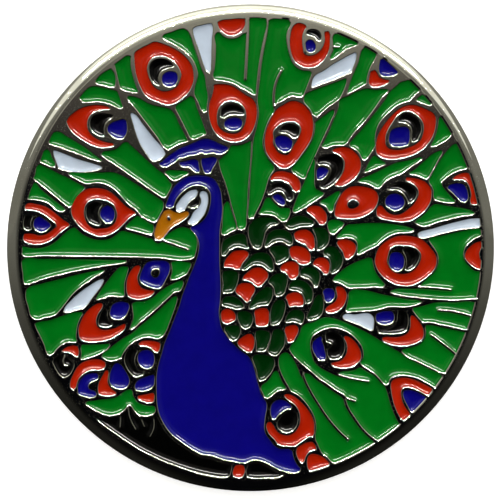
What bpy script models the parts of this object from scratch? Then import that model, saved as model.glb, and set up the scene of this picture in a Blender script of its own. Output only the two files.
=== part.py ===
"""A one-inch golf ball marker: a die-struck coin whose recesses hold coloured enamel.

The coin lies on its flat back on the XY plane, artwork up, with its centre on the Z axis.
Each of the larger enamel cells is its own inlay, seated in its own pocket of the coin. The
smallest cells are left as solid metal.
"""

import math

import bpy
import numpy as np
from mathutils import Vector
from mathutils.geometry import delaunay_2d_cdt

MM = 0.001
COIN_RADIUS = 12.7
COIN_THICKNESS = 2.0
RIM_SEGMENTS = 96
# Radius and height of each ring of the rim, from the raised face round the edge to the flat back.
RIM_RINGS = (
    (12.2, COIN_THICKNESS),
    (12.45, 1.95),
    (12.62, 1.82),
    (COIN_RADIUS, 1.6),
    (COIN_RADIUS, 0.2),
    (12.62, 0.06),
    (12.5, 0.0),
)
POCKET_FLOOR = 1.6
ENAMEL_FROM = 1.61
ENAMEL_TO = 1.88
CLEARANCE = 0.015
# Inlays modelled: the largest of each colour, then the largest that are left.
INLAY_COUNT = 59
CURVE_STEPS = 8
CHORD_ERROR = 0.02
CORNER_DEGREES = 50

# base colour, roughness and metallic value of each finish
FINISHES = {
    "nickel": ((0.55, 0.54, 0.52, 1), 0.22, 1.0),
    "green": ((0.001, 0.133, 0.007, 1), 0.18, 0.0),
    "blue": ((0.0033, 0.0021, 0.184, 1), 0.18, 0.0),
    "red": ((0.515, 0.013, 0.0024, 1), 0.18, 0.0),
    "dark": ((0.0, 0.024, 0.0024, 1), 0.18, 0.0),
    "white": ((0.503, 0.591, 0.68, 1), 0.18, 0.0),
    "black": ((0.002, 0.002, 0.002, 1), 0.15, 0.0),
    "amber": ((0.578, 0.205, 0.005, 1), 0.18, 0.0),
}

# The artwork, in millimetres from the coin's centre. Each cell is a name, a colour and the
# points of its closed outline; "hole" starts an island left out of the enamel, and "line" a raised
# metal line across it, by its width and its points. Curves run smoothly through the points and
# turn sharply only at corners.
ARTWORK = """
plume_nw_a green
  -8.08,8.65 -7.95,8.85 -7.55,9.18 -7.28,9.32 -7.18,9.22 -7.04,8.55 -7.08,8.4 -7.25,8.38 -7.6,8.47 -8,8.56
plume_nw_b green
  -7.08,9.55 -6.75,9.78 -6.38,10 -6.24,9.97 -6.24,9.5 -6.12,8.9 -5.98,8.45 -5.86,8.13 -5.92,8.07 -6.3,8.14
  -6.7,8.28 -6.78,8.38 -6.88,8.75 -7,9.25
plume_nw_c green
  -8.92,7.78 -8.75,8 -8.5,8.27 -8.3,8.38 -8.1,8.4 -7.7,8.34 -7.3,8.24 -6.95,8.13 -6.86,7.95 -6.74,7.6
  -6.65,7.34 -6.76,7.25 -7,7.34 -7.25,7.47 -7.6,7.58 -8,7.63 -8.4,7.6 -8.65,7.59
eye_nw_red red
  -9.58,6.56 -9.45,6.8 -9.2,7.02 -8.95,7.19 -8.6,7.33 -8.15,7.41 -7.75,7.4 -7.4,7.31 -7.3,7.24 -7.38,7.21
  -7.7,7.19 -8.05,7.12 -8.3,6.97 -8.46,6.72 -8.51,6.45 -8.48,6.2 -8.38,6 -8.15,5.76 -7.8,5.58 -7.4,5.46
  -7.15,5.41 -7.11,5.36 -7.25,5.28 -7.55,5.23 -7.85,5.24 -8.15,5.32 -8.45,5.46 -8.75,5.63 -9.1,5.88
  -9.42,6.22
eye_nw_black black
  -7.15,6.9 -7.5,6.96 -7.9,6.97 -8.15,6.88 -8.33,6.65 -8.36,6.4 -8.3,6.2 -8.15,6 -7.9,5.86 -7.68,5.8
  -7.62,5.95 -7.64,6.2 -7.57,6.45 -7.4,6.66 -7.18,6.8
eye_nw_blue blue
  -7.44,6.1 -7.4,6.35 -7.2,6.52 -6.9,6.62 -6.62,6.68 -6.48,6.62 -6.43,6.3 -6.46,6 -6.56,5.8 -6.72,5.67
  -7,5.72 -7.3,5.9
quill_nw white
  -6.25,6.95 -6.18,7.02 -6.08,6.98 -5.6,6.42 -5.05,5.72 -4.5,5.05 -4.44,4.88 -4.55,4.74 -4.8,4.58
  -5.02,4.5 -5.15,4.56 -5.4,4.88 -5.72,5.38 -5.92,5.85 -6.12,6.5
plume_nw_d green
  -6.44,7.8 -6.38,7.87 -6.15,7.87 -5.75,7.75 -5.4,7.55 -4.95,7.38 -4.5,7.3 -4.15,7.18 -4.02,7.05 -3.7,6.42
  -3.4,5.85 -3.28,5.6 -3.32,5.55 -3.6,5.47 -3.9,5.34 -4.15,5.18 -4.28,5.12 -4.4,5.18 -4.85,5.78 -5.4,6.5
  -5.95,7.22
plume_nw_e green
  -3.92,7.28 -3.85,7.42 -3.6,7.58 -3.35,7.76 -3.12,7.9 -3.02,7.84 -2.8,7.3 -2.6,6.8 -2.42,6.3 -2.3,5.97
  -2.34,5.92 -2.6,5.8 -2.88,5.68 -3,5.65 -3.08,5.7 -3.3,6.08 -3.6,6.67
plume_n_a green
  -4.6,10.93 -4.55,11.03 -4.1,11.22 -3.7,11.37 -3.48,11.4 -3.28,11.28 -3.1,10.95 -2.98,10.58 -2.82,10.1
  -2.55,9.3 -2.38,8.88 -2.31,8.4 -2.22,7.85 -2.27,7.4 -2.34,7.1 -2.42,7.05 -2.5,7.12 -2.7,7.55 -2.93,8.1
  -2.9,8.35 -2.8,8.7 -2.73,9 -2.78,9.3 -2.93,9.68 -3.18,10.03 -3.5,10.32 -3.84,10.53 -4.2,10.73
eye_n1_red red
  -6.02,10.14 -5.73,10.36 -5.36,10.55 -4.98,10.71 -4.78,10.68 -4.45,10.57 -3.99,10.37 -3.53,10.06
  -3.25,9.77 -3.05,9.44 -2.97,9.08 -2.97,8.71 -3.05,8.45 -3.2,8.15 -3.45,7.9 -3.75,7.66 -4.05,7.5
  -4.3,7.46 -4.5,7.49 -4.9,7.64 -5.28,7.82 -5.5,8 -5.72,8.38 -5.9,8.85 -6,9.3 -6.04,9.75 hole -5.39,9.31
  -5.32,9.63 -5.09,9.9 -4.81,10 -4.63,10 -4.26,9.9 -3.94,9.67 -3.71,9.35 -3.6,8.98 -3.67,8.71 -3.8,8.43
  -4.03,8.25 -4.26,8.16 -4.58,8.14 -4.81,8.23 -5.04,8.39 -5.23,8.71 -5.34,9.03
eye_n1_black black
  -5.27,9.17 -5.23,9.54 -5,9.77 -4.68,9.83 -4.35,9.77 -4.08,9.58 -4.01,9.47 -4.03,9.41 -4.35,9.36
  -4.63,9.22 -4.77,9 -4.8,8.8 -4.77,8.62 -4.72,8.5 -4.84,8.46 -5.04,8.6 -5.23,8.94
eye_n1_blue blue
  -4.61,8.76 -4.56,8.98 -4.35,9.15 -4.08,9.17 -3.9,9.12 -3.8,8.94 -3.83,8.66 -3.94,8.5 -4.12,8.4
  -4.26,8.38 -4.45,8.46 -4.58,8.6
quill_n white
  -2.98,11.42 -2.84,11.5 -2.52,11.58 -2.24,11.65 -2.04,11.67 -1.99,11.56 -2.01,10.91 -2.04,10.22
  -2.06,9.54 -2.1,9.2 -2.18,9.12 -2.28,9.2 -2.43,9.54 -2.7,10.36 -2.93,11 -2.99,11.28
crescent_n red
  -1.71,11.74 -1.51,11.83 -1.05,11.88 -0.45,11.92 -0.29,11.9 -0.29,11.62 -0.41,11.38 -0.64,11.17
  -0.96,11.06 -1.23,11.1 -1.46,11.26 -1.64,11.48
plume_n_b green
  -1.93,8.9 -1.87,9.3 -1.8,10.5 -1.81,11.12 -1.72,11.21 -1.62,11.2 -1.45,11.02 -1.2,10.9 -0.95,10.87
  -0.7,10.92 -0.5,11.03 -0.35,11.15 -0.2,11.14 -0.1,11.5 -0.05,11.88 0.02,11.97 0.4,11.97 0.8,11.93
  0.84,11.75 0.7,11 0.55,10.3 0.42,9.5 0.33,8.7 0.27,8 0.18,7.96 -0.05,8.12 -0.46,8.34 -0.77,8.52
  -1.08,8.64 -1.4,8.71 -1.88,8.82 line 0.15 -0.13,12.05 -0.15,11 -0.2,10 -0.25,9.1 -0.27,8.78
eye_n2_red red
  -1.9,8.48 -1.69,8.5 -1.37,8.5 -1,8.43 -0.59,8.2 -0.22,7.93 0.1,7.75 0.28,7.47 0.33,7.15 0.31,6.78
  0.19,6.32 0,5.95 -0.2,5.75 -0.46,5.58 -0.77,5.52 -1.01,5.53 -1.32,5.61 -1.6,5.78 -1.84,6.03 -1.97,6.25
  -2.12,6.69 -2.17,7.15 -2.13,7.56 -2.01,7.88 -1.94,8.16 hole -1.01,7.68 -1.38,7.57 -1.63,7.34 -1.74,7.03
  -1.75,6.66 -1.69,6.36 -1.51,6.14 -1.23,5.99 -0.89,5.93 -0.58,6.02 -0.37,6.27 -0.25,6.6 -0.22,6.97
  -0.31,7.28 -0.49,7.49 -0.77,7.65
eye_n2_black black
  -1.54,6.91 -1.54,7.09 -1.41,7.34 -1.2,7.46 -0.92,7.49 -0.65,7.43 -0.43,7.25 -0.31,7.03 -0.4,6.93
  -0.55,6.92 -0.77,6.95 -1.01,6.95 -1.23,6.87 -1.41,6.76 -1.52,6.79
eye_n2_blue blue
  -1.35,6.54 -1.2,6.69 -0.98,6.76 -0.68,6.76 -0.46,6.63 -0.43,6.48 -0.49,6.3 -0.65,6.16 -0.89,6.11
  -1.14,6.17 -1.35,6.32
crest_blade blue
  -4.76,4.37 -4.63,4.47 -4.35,4.72 -4.08,4.92 -3.67,5.18 -3.21,5.36 -2.75,5.56 -2.52,5.65 -2.24,5.67
  -1.92,5.57 -1.6,5.41 -1.32,5.3 -1.19,5.23 -1.17,5.13 -1.28,5.04 -1.46,4.91 -1.6,4.88 -2.01,4.97
  -2.31,4.89 -2.59,4.98 -2.84,4.86 -3.23,4.82 -3.48,4.7 -3.71,4.69 -3.9,4.5 -4.08,4.41 -4.31,4.24
  -4.54,4.24 -4.7,4.3
crest_drop_1 blue
  -3.71,4.38 -3.67,4.45 -3.44,4.49 -3.16,4.56 -2.84,4.58 -2.72,4.51 -2.7,4.31 -2.66,4.08 -2.65,4.01
  -2.72,3.94 -2.86,3.94 -3.02,4.06 -3.16,4.19 -3.34,4.23 -3.53,4.22 -3.64,4.29
crest_drop_2 blue
  -2.54,4.63 -2.24,4.68 -1.87,4.7 -1.74,4.63 -1.78,4.49 -1.97,4.17 -2.13,3.9 -2.29,3.87 -2.4,3.94
  -2.49,4.17 -2.56,4.45
crest_green green
  -4.46,3.92 -4.38,4 -4.12,4.04 -3.8,4.02 -3.48,4 -3.24,3.95 -3.25,3.89 -3.53,3.72 -3.85,3.54 -3.96,3.5
  -4.06,3.54 -4.26,3.72
plume_w_a green
  -10.5,5.48 -10.38,5.8 -10.2,6.02 -10,6.04 -9.6,5.82 -9.1,5.52 -8.6,5.22 -8.1,4.82 -7.75,4.55 -7.8,4.5
  -8.2,4.62 -8.8,4.84 -9.5,5.1 -10.1,5.3 -10.4,5.4
plume_w_b green
  -10.71,5.07 -10.59,5.12 -10.5,5.06 -10.35,4.72 -10.18,4.3 -10.22,4.22 -10.35,4.22 -10.65,4.36
  -10.94,4.51 -10.86,4.78
quill_w1 white
  -10.27,5.04 -10.18,5.06 -9.99,5 -9.08,4.64 -8.16,4.36 -7.78,4.21 -7.72,4.14 -7.9,4.08 -9.81,4.08
  -9.96,4.13 -10.02,4.26 -10.11,4.49 -10.24,4.86
plume_w_c green
  -7.78,4.86 -7.68,4.98 -7.37,5.04 -7.03,5.13 -6.79,5.31 -6.6,5.47 -6.45,5.5 -6.23,5.33 -5.68,4.83
  -5.22,4.41 -4.81,4.05 -4.49,3.82 -4.25,3.5 -4.1,3.29 -4.13,3.19 -4.31,2.84 -4.43,2.66 -4.52,2.62
  -4.64,2.68 -5.27,3.1 -6.19,3.75 -6.65,4.07 -7.2,4.45 -7.72,4.8
plume_w_d green
  -11.08,4.28 -10.98,4.34 -10.68,4.21 -10.3,4.03 -9.99,3.86 -9.54,3.66 -9.1,3.42 -8.72,3.2 -8.63,3.12
  -8.73,3 -9.02,2.7 -9.2,2.4 -9.31,2.2 -9.46,2.15 -9.6,2.24 -9.95,2.52 -10.6,3.06 -11.29,3.6 -11.22,3.8
plume_w_e green
  -11.58,2.54 -11.45,3 -11.28,3.38 -11.2,3.38 -10.98,3.12 -10.45,2.67 -10,2.31 -9.72,2.07 -9.66,1.97
  -9.81,1.9 -10.09,1.97 -10.36,2.22 -10.59,2.38 -11,2.5
plume_w_f green
  -9.48,3.84 -9.3,3.93 -8.9,3.93 -7.9,3.91 -7.06,3.9 -6.65,3.74 -6,3.35 -5.4,2.96 -4.68,2.5 -4.57,2.42
  -4.53,2.25 -4.56,2.05 -4.7,1.78 -4.93,1.42 -5.03,1.36 -5.15,1.38 -5.4,1.52 -5.72,1.7 -5.83,1.9 -6.1,2.12
  -6.35,2.3 -6.6,2.56 -6.9,2.9 -7.3,3.22 -7.65,3.37 -8,3.41 -8.3,3.38 -8.48,3.34 -8.6,3.36 -8.9,3.52
  -9.3,3.72
eye_w1_red red
  -9.33,2 -9.26,2.29 -9.08,2.61 -8.85,2.86 -8.53,3.05 -8.16,3.11 -7.79,3.09 -7.42,2.98 -7.06,2.72
  -6.74,2.4 -6.41,2.1 -6.14,1.94 -5.98,1.81 -6.08,1.72 -6.32,1.55 -6.64,1.23 -6.97,0.93 -7.24,0.75
  -7.56,0.64 -7.88,0.61 -8.25,0.73 -8.62,0.91 -8.94,1.19 -9.17,1.46 -9.31,1.78 hole -8.02,2.56 -8.39,2.46
  -8.58,2.27 -8.67,1.95 -8.66,1.65 -8.57,1.38 -8.4,1.15 -8.15,1 -7.85,1 -7.4,1.06 -7.1,1.25 -6.98,1.5
  -6.94,1.75 -7,2 -7.12,2.25 -7.35,2.42 -7.7,2.52
eye_w1_black black
  -7.72,2.25 -7.95,2.36 -8.3,2.34 -8.49,2.18 -8.56,1.88 -8.51,1.58 -8.37,1.36 -8.18,1.24 -7.93,1.18
  -7.8,1.24 -7.86,1.45 -7.94,1.75 -7.88,2.02
eye_w1_blue blue
  -7.47,2.21 -7.25,2.12 -7.1,1.92 -7.08,1.68 -7.15,1.45 -7.3,1.31 -7.45,1.3 -7.65,1.42 -7.8,1.62
  -7.83,1.82 -7.72,2.05
eye_w2_red red
  -11.72,2.2 -11.62,2.29 -11.14,2.27 -10.73,2.17 -10.41,1.99 -10.04,1.69 -9.77,1.46 -9.46,1.24 -9.42,1.17
  -9.54,1.07 -9.9,0.84 -10.18,0.56 -10.59,0.31 -11,0.2 -11.37,0.2 -11.65,0.29 -11.8,0.4 -11.83,0.55
  -11.77,0.72 -11.37,0.73 -11,0.64 -10.68,0.69 -10.36,0.88 -10.1,1.1 -10.12,1.22 -10.45,1.53 -10.78,1.76
  -11.1,1.92 -11.42,1.98 -11.7,2 -11.74,2.1
eye_w2_black black
  -11.73,1.67 -11.56,1.71 -11.33,1.64 -11.45,1.39 -11.46,1.14 -11.42,0.98 -11.6,0.93 -11.76,1 -11.81,1.14
  -11.79,1.46
eye_w2_blue blue
  -10.98,1.62 -10.68,1.44 -10.43,1.21 -10.41,1.12 -10.55,0.98 -10.73,0.86 -10.91,0.83 -11.14,0.93
  -11.28,1.12 -11.29,1.32 -11.19,1.53
plume_w_g green
  -11.88,0.06 -11.7,0.04 -11.37,-0.02 -10.9,0 -10.45,0.14 -10.09,0.36 -9.81,0.63 -9.54,0.87 -9.28,1.03
  -9.18,1.06 -9.08,1 -8.85,0.77 -8.53,0.58 -8.16,0.45 -7.7,0.41 -7.33,0.47 -6.96,0.7 -6.75,0.86 -6.62,0.88
  -6.46,0.84 -6.09,0.74 -5.55,0.58 -5.32,0.5 -5.12,0.46 -5.03,0.36 -4.93,0.26 -4.8,0.22 -4.66,0.27
  -4.55,0.38 -4.45,0.56 -4.26,0.74 -3.94,0.94 -3.71,1.04 -3.5,1.07 -3.25,1.01 -3.02,0.84 -2.86,0.63
  -2.79,0.36 -2.81,0 -2.88,-0.3 -2.97,-0.5 -3.1,-0.55 -4.8,-0.49 -6.65,-0.44 -9,-0.41 -11,-0.39
  -11.78,-0.4 -11.88,-0.34 line 0.13 -4.62,0.38 -4.43,0.31 -3.9,0.13 -3.45,-0.03 -3.25,-0.1
plume_w_h green
  -6.5,1.08 -6.37,1.25 -6.19,1.43 -5.96,1.62 -5.86,1.66 -5.72,1.58 -5.46,1.43 -5.23,1.27 -5.08,1.22
  -5.05,1.12 -5.1,0.8 -5.2,0.69 -5.5,0.76 -5.96,0.9 -6.42,1.02
body_blue blue
  -4.4,2.2 -4.33,2.43 -4.17,2.84 -3.99,3.16 -3.67,3.48 -3.34,3.67 -2.98,3.76 -2.52,3.76 -2.15,3.69
  -1.87,3.53 -1.69,3.25 -1.55,2.89 -1.51,2.52 -1.48,2.06 -1.51,1.6 -1.58,1.14 -1.62,0.68 -1.62,0.22
  -1.62,-0.83 -1.58,-1.52 -1.56,-2.2 -1.6,-2.89 -1.65,-3.35 -1.6,-3.81 -1.51,-4.18 -1.32,-4.5 -1.09,-4.82
  -0.77,-5.14 -0.45,-5.42 -0.13,-5.65 0.05,-5.92 0.19,-6.3 0.31,-6.8 0.42,-7.2 0.52,-7.55 0.72,-7.9
  0.83,-8.1 0.84,-8.3 0.78,-8.67 0.73,-9.04 0.71,-9.36 0.78,-9.68 1.01,-10.02 1.29,-10.35 1.52,-10.47
  2.02,-10.5 2.15,-10.57 2.21,-10.8 2.3,-11.08 2.43,-11.3 2.6,-11.5 2.56,-11.64 2.39,-11.7 2.02,-11.67
  1.75,-11.62 1.29,-11.44 0.83,-11.19 0.46,-11.05 0.19,-11.02 -0.06,-11.08 -0.29,-11.18 -0.54,-11.17
  -0.86,-11.1 -1.23,-11.05 -1.6,-10.95 -1.97,-10.8 -2.29,-10.77 -2.52,-10.73 -2.98,-10.5 -3.44,-10.2
  -3.9,-9.86 -4.17,-9.62 -4.49,-9.17 -4.72,-8.72 -4.84,-8.26 -4.88,-7.8 -4.89,-7.2 -4.88,-6.65 -4.84,-6.34
  -4.77,-6.02 -4.63,-5.56 -4.49,-5.05 -4.35,-4.68 -4.12,-4.13 -3.9,-3.55 -3.69,-3 -3.55,-2.5 -3.34,-1.95
  -3.16,-1.47 -2.98,-1.06 -2.84,-0.7 -2.76,-0.45 -2.68,-0.1 -2.67,0.2 -2.74,0.48 -2.87,0.72 -3.05,0.9
  -3.12,1 -3.09,1.07 -2.89,1.14 -2.66,1.26 -2.43,1.46 -2.24,1.74 -2.13,2.06 -2.06,2.52 -2.1,2.89
  -2.29,3.14 -2.56,3.26 -2.84,3.28 -3.25,3.14 -3.62,2.86 -3.9,2.49 -4.01,2.2 -4.05,2.11 -4.22,2.08
  -4.37,2.12
face_white_1 white
  -3.85,2.01 -3.87,2.13 -3.71,2.43 -3.44,2.75 -3.11,2.98 -2.84,3.02 -2.75,2.93 -2.81,2.73 -2.98,2.56
  -3.21,2.38 -3.34,2.15 -3.48,1.97 -3.67,1.9 -3.8,1.92
face_white_2 white
  -2.56,2.93 -2.45,2.95 -2.31,2.89 -2.22,2.66 -2.22,2.38 -2.29,2.06 -2.43,1.74 -2.61,1.51 -2.79,1.32
  -3.02,1.23 -3.21,1.26 -3.25,1.37 -3.11,1.55 -2.98,1.83 -2.75,2.06 -2.59,2.29 -2.56,2.52 -2.63,2.7
  -2.62,2.86
bird_eye black
  -3.18,2.1 -3.08,2.3 -2.98,2.45 -2.83,2.53 -2.72,2.5 -2.66,2.38 -2.7,2.22 -2.89,2.1 -3.07,2.08
beak amber
  -4.35,1.97 -4.22,1.99 -4.03,1.9 -3.8,1.81 -3.53,1.83 -3.34,1.9 -3.22,1.85 -3.21,1.74 -3.32,1.58
  -3.53,1.42 -3.9,1.21 -4.17,1 -4.4,0.73 -4.63,0.47 -4.77,0.41 -4.93,0.45 -5,0.64 -4.93,1.05 -4.77,1.46
  -4.58,1.78 -4.47,1.92
plume_c_a green
  -1.23,2.42 -1.36,2.25 -1.42,1.83 -1.46,1.14 -1.5,0.78 -1.46,0.69 -1.35,0.69 -1.05,0.83 -0.75,0.98
  -0.74,1.05 -0.86,1.51 -1.03,2.06 -1.14,2.36
plume_c_b green
  -1.65,4.54 -1.46,4.72 -1.19,4.95 -1.09,5.18 -1,5.32 -0.68,5.32 -0.36,5.39 -0.08,5.53 0.03,5.58 0.03,5.46
  0.01,4.81 -0.04,4.12 -0.11,3.44 -0.15,2.75 -0.18,2.06 -0.22,1.6 -0.27,1.09 -0.36,0.98 -0.5,0.96
  -0.64,1.03 -0.73,1.37 -0.96,2.15 -1.14,2.84 -1.32,3.44 -1.51,3.94 -1.62,4.35
plume_n_c green
  0.96,11.83 1.06,11.88 1.52,11.9 2.02,11.81 2.08,11.72 2.06,11.58 1.93,11.33 1.87,11.05 1.88,10.73
  1.94,10.36 2.04,10 2.17,9.65 2.4,9.37 2.76,9.21 3.12,9.17 3.19,9.1 3.12,8.89 2.98,8.53 2.85,8.2
  2.72,7.93 2.62,7.86 2.48,7.88 2.2,7.93 1.93,7.84 1.65,7.68 1.42,7.55 1.32,7.5 1.22,7.32 1.22,7.1
  1.01,6.8 0.83,6.41 0.69,5.95 0.63,5.55 0.65,5.27 0.78,4.86 1.01,4.49 1.22,4.2 1.22,4.08 1.06,3.85
  0.92,3.57 0.83,3.25 0.69,2.79 0.51,2.33 0.28,1.87 0.13,1.6 0.02,1.52 -0.1,1.55 -0.13,1.68 -0.1,2.1
  -0.04,3 0.01,3.9 0.09,4.8 0.14,5.5 0.21,5.86 0.3,6.18 0.39,6.64 0.44,7.01 0.41,7.33 0.37,7.61 0.39,7.97
  0.48,8.62 0.55,9.31 0.69,10.22 0.87,11.14 line 0.13 1.6,9.2 1.42,8.85 1.29,8.48 1.22,8.07 1.21,7.7
  1.24,7.35
eye_ne1_red red
  2.39,11.66 2.66,11.67 2.87,11.56 2.92,11.5 2.82,11.37 2.71,11.1 2.69,10.73 2.73,10.36 2.8,10.09 2.98,10
  3.21,10 3.49,10.13 3.72,10.36 3.83,10.59 3.88,10.82 3.86,11.14 3.88,11.24 4.06,11.26 4.12,11.14
  4.13,10.78 4.09,10.36 3.95,10 3.72,9.69 3.44,9.48 3.12,9.39 2.8,9.41 2.48,9.57 2.25,9.83 2.12,10.18
  2.05,10.68 2.08,11.05 2.17,11.42
eye_ne1_black black
  2.89,11.14 2.98,11.3 3.26,11.37 3.54,11.28 3.67,11.05 3.65,10.84 3.58,10.76 3.47,10.84 3.31,11
  3.08,11.07
eye_ne1_blue blue
  2.87,10.68 3.03,10.82 3.21,10.8 3.35,10.64 3.4,10.45 3.35,10.29 3.12,10.18 2.98,10.22 2.89,10.41
plume_ne_a green
  4.32,11.05 4.41,11.14 4.73,11.1 5.19,10.91 5.58,10.71 5.58,10.56 4.96,10.34 4.59,10.06 4.22,9.83
  4.13,9.84 4.18,10 4.3,10.27 4.31,10.55 line 0.12 4.2,10.47 4.58,10.44
quill_ne white
  3.18,8.38 3.2,8.6 3.28,8.85 3.42,9 3.8,9.2 4.3,9.55 4.8,9.83 5.2,10.05 5.45,10.16 5.52,10.1 5.48,9.8
  5.35,9.45 5.2,9.15 5.08,9.08 4.6,8.88 4,8.65 3.5,8.47 3.28,8.38
plume_ne_b green
  2.85,7.98 2.98,8.06 3.4,8.24 3.9,8.42 4.5,8.64 4.97,8.82 5,8.72 4.92,8.4 4.75,8 4.62,7.78 4.3,7.53
  3.9,7.25 3.58,6.95 3.42,6.84 3.3,6.92 3.12,7.22 2.92,7.45 2.8,7.6 2.78,7.75
plume_ne_c green
  5.05,8.05 5.12,8.4 5.28,8.85 5.45,9.25 5.62,9.65 5.7,10 5.82,10.3 5.97,10.43 6.15,10.4 6.4,10.25
  6.56,10.06 6.48,9.85 6.3,9.55 6.15,9.2 6.06,8.85 6.02,8.55 5.85,8.45 5.5,8.27 5.2,8.1
drop_ne_blue blue
  6.77,9.78 6.93,9.84 7.16,9.63 7.48,9.35 7.68,9.12 7.64,9.07 7.48,9 7.16,8.93 6.88,8.96 6.76,9.05
  6.7,9.26 6.72,9.58
drop_ne_red red
  6.26,9.17 6.47,9.24 6.58,9.12 6.7,8.89 6.93,8.76 7.23,8.71 7.2,8.62 7.02,8.52 6.7,8.41 6.42,8.38
  6.26,8.44 6.18,8.57 6.19,8.85
plume_ne_d green
  7.2,8.22 6.93,8.25 6.47,8.22 6.1,8.28 5.55,8.13 5.05,7.88 4.78,7.79 4.66,7.7 4.59,7.33 4.5,7.06
  4.32,6.64 4.04,5.95 3.86,5.59 3.7,5.28 3.86,5.22 4.22,5.32 4.5,5.36 4.87,5.37 4.98,5.44 5.14,5.68
  5.55,6.2 5.98,6.66 6.44,7.26 6.9,7.9 7.15,8.15
plume_ne_e green
  8.01,8.66 8.21,8.71 8.49,8.57 8.76,8.3 8.8,8.18 8.7,8.1 8.47,7.88 8.28,7.69 8.01,7.6 7.6,7.42 7.27,7.14
  6.9,6.78 6.66,6.44 6.52,6.05 6.47,5.63 6.47,5.3 6.38,5.13 6.2,4.86 6.02,4.62 5.93,4.57 5.85,4.63
  5.74,4.81 5.6,5.04 5.42,5.18 5.19,5.3 5.17,5.38 5.38,5.7 5.6,5.95 6.04,6.46 6.5,7.06 6.96,7.65 7.29,8.16
  7.57,8.39 7.85,8.62
plume_ne_f green
  8.62,7.7 8.76,7.84 8.95,7.97 9.18,7.79 9.41,7.52 9.4,7.44 9.29,7.42 9.09,7.5 8.76,7.62
eye_e1_red red
  6.54,5.1 6.54,5.36 6.6,5.73 6.79,6.14 7.07,6.55 7.39,6.92 7.75,7.22 8.08,7.38 8.49,7.43 8.86,7.33
  9.22,7.17 9.54,6.97 9.64,6.78 9.64,6.42 9.59,6.14 9.48,5.82 9.31,5.53 9.09,5.27 8.86,5.07 8.58,4.91
  8.21,4.77 7.85,4.68 7.48,4.63 7.07,4.65 6.79,4.74 6.61,4.88 hole 7.02,5.6 7.04,5.87 7.14,6.14 7.39,6.55
  7.66,6.92 8.03,7.13 8.3,7.13 8.67,6.92 8.95,6.6 9.03,6.32 8.99,5.95 8.86,5.62 8.67,5.43 8.4,5.28
  8.12,5.18 7.85,5.1 7.48,5.1 7.2,5.17 7.05,5.35
eye_e1_black black
  7.7,6.56 7.75,6.78 7.98,6.97 8.3,6.97 8.67,6.74 8.86,6.41 8.88,6.09 8.76,5.8 8.6,5.56 8.49,5.51
  8.41,5.57 8.39,5.75 8.42,6.05 8.35,6.3 8.21,6.45 7.98,6.52
eye_e1_blue blue
  7.23,5.82 7.34,6.1 7.52,6.21 7.85,6.28 8.12,6.28 8.26,6.14 8.29,5.87 8.26,5.55 8.17,5.36 7.98,5.29
  7.62,5.27 7.36,5.32 7.23,5.5
plume_ne_g green
  9.82,6.73 9.87,6.83 10.05,6.69 10.32,6.32 10.5,6.02 10.44,5.87 10.28,5.69 9.96,5.48 9.64,5.32 9.43,5.28
  9.4,5.34 9.54,5.62 9.68,6 9.77,6.4
eye_c1_red red
  1.42,7.26 1.75,7.45 2.02,7.6 2.3,7.64 2.57,7.56 2.8,7.42 3.03,7.17 3.19,6.87 3.26,6.55 3.26,6.2
  3.22,5.92 3.12,5.62 2.94,5.3 2.66,4.9 2.39,4.54 2.07,4.26 1.79,4.15 1.56,4.19 1.33,4.35 1.06,4.63
  0.85,4.95 0.76,5.32 0.76,5.77 0.83,6.14 0.97,6.51 1.15,6.86 hole 1.19,5.73 1.17,6.05 1.38,6.33 1.65,6.51
  2.02,6.58 2.34,6.56 2.57,6.37 2.64,6.19 2.57,5.87 2.43,5.59 2.25,5.32 2.11,5.04 1.93,4.84 1.75,4.84
  1.47,4.95 1.29,5.18 1.17,5.46
eye_c1_black black
  1.49,6.01 1.56,6.19 1.75,6.37 2.07,6.44 2.34,6.37 2.53,6.24 2.55,6.05 2.46,5.82 2.3,5.71 2.16,5.78
  1.98,5.92 1.75,5.98
eye_c1_blue blue
  1.29,5.69 1.42,5.8 1.75,5.82 2.02,5.71 2.18,5.55 2.16,5.32 2.04,5.09 1.88,5 1.65,5.04 1.42,5.23
  1.29,5.46
plume_c_c green
  3.36,6.52 3.6,6.7 3.95,6.96 4.25,7.16 4.35,7.18 4.36,7.05 4.2,6.68 4.02,6.25 3.8,5.78 3.62,5.4 3.4,4.9
  3.12,4.31 2.94,3.92 2.85,3.68 2.74,3.61 2.63,3.65 2.39,3.82 2.16,4.03 2.13,4.1 2.26,4.27 2.5,4.56
  2.78,4.9 3.05,5.3 3.24,5.66 3.33,5.96 3.36,6.28
eye_c2_red red
  4.25,5.07 4.41,5.16 4.68,5.23 4.96,5.23 5.24,5.13 5.46,4.95 5.65,4.72 5.73,4.49 5.74,4.22 5.65,3.94
  5.46,3.67 5.19,3.44 4.87,3.25 4.59,3.21 4.43,3.23 4.42,3.3 4.55,3.48 4.73,3.76 4.87,4.03 4.91,4.31
  4.89,4.54 4.78,4.72 4.59,4.88 4.32,5
eye_c2_black black
  3.49,4.49 3.54,4.68 3.72,4.79 4.04,4.84 4.32,4.84 4.59,4.77 4.78,4.58 4.84,4.35 4.8,4.03 4.68,3.76
  4.45,3.48 4.22,3.28 4,3.14 3.77,3.11 3.63,3.18 3.67,3.3 3.86,3.44 4.04,3.67 4.18,3.94 4.2,4.12 4.09,4.26
  3.86,4.35 3.63,4.33 3.49,4.38
eye_c2_blue blue
  3.47,4.08 3.58,4.17 3.81,4.17 4,4.1 4.06,4.01 3.97,3.8 3.81,3.64 3.63,3.55 3.51,3.55 3.45,3.71 3.44,3.9
plume_c_d green
  3.31,4.68 3.12,4.22 2.85,3.53 2.62,3.02 2.39,2.52 2.23,2.06 2.2,1.92 2.27,1.85 2.41,1.87 2.66,2.01
  3.03,2.24 3.4,2.49 3.77,2.75 3.83,2.84 3.58,2.98 3.4,3.07 3.33,3.25 3.33,3.67 3.33,4.08 3.36,4.45
eye_c3_red red
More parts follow.
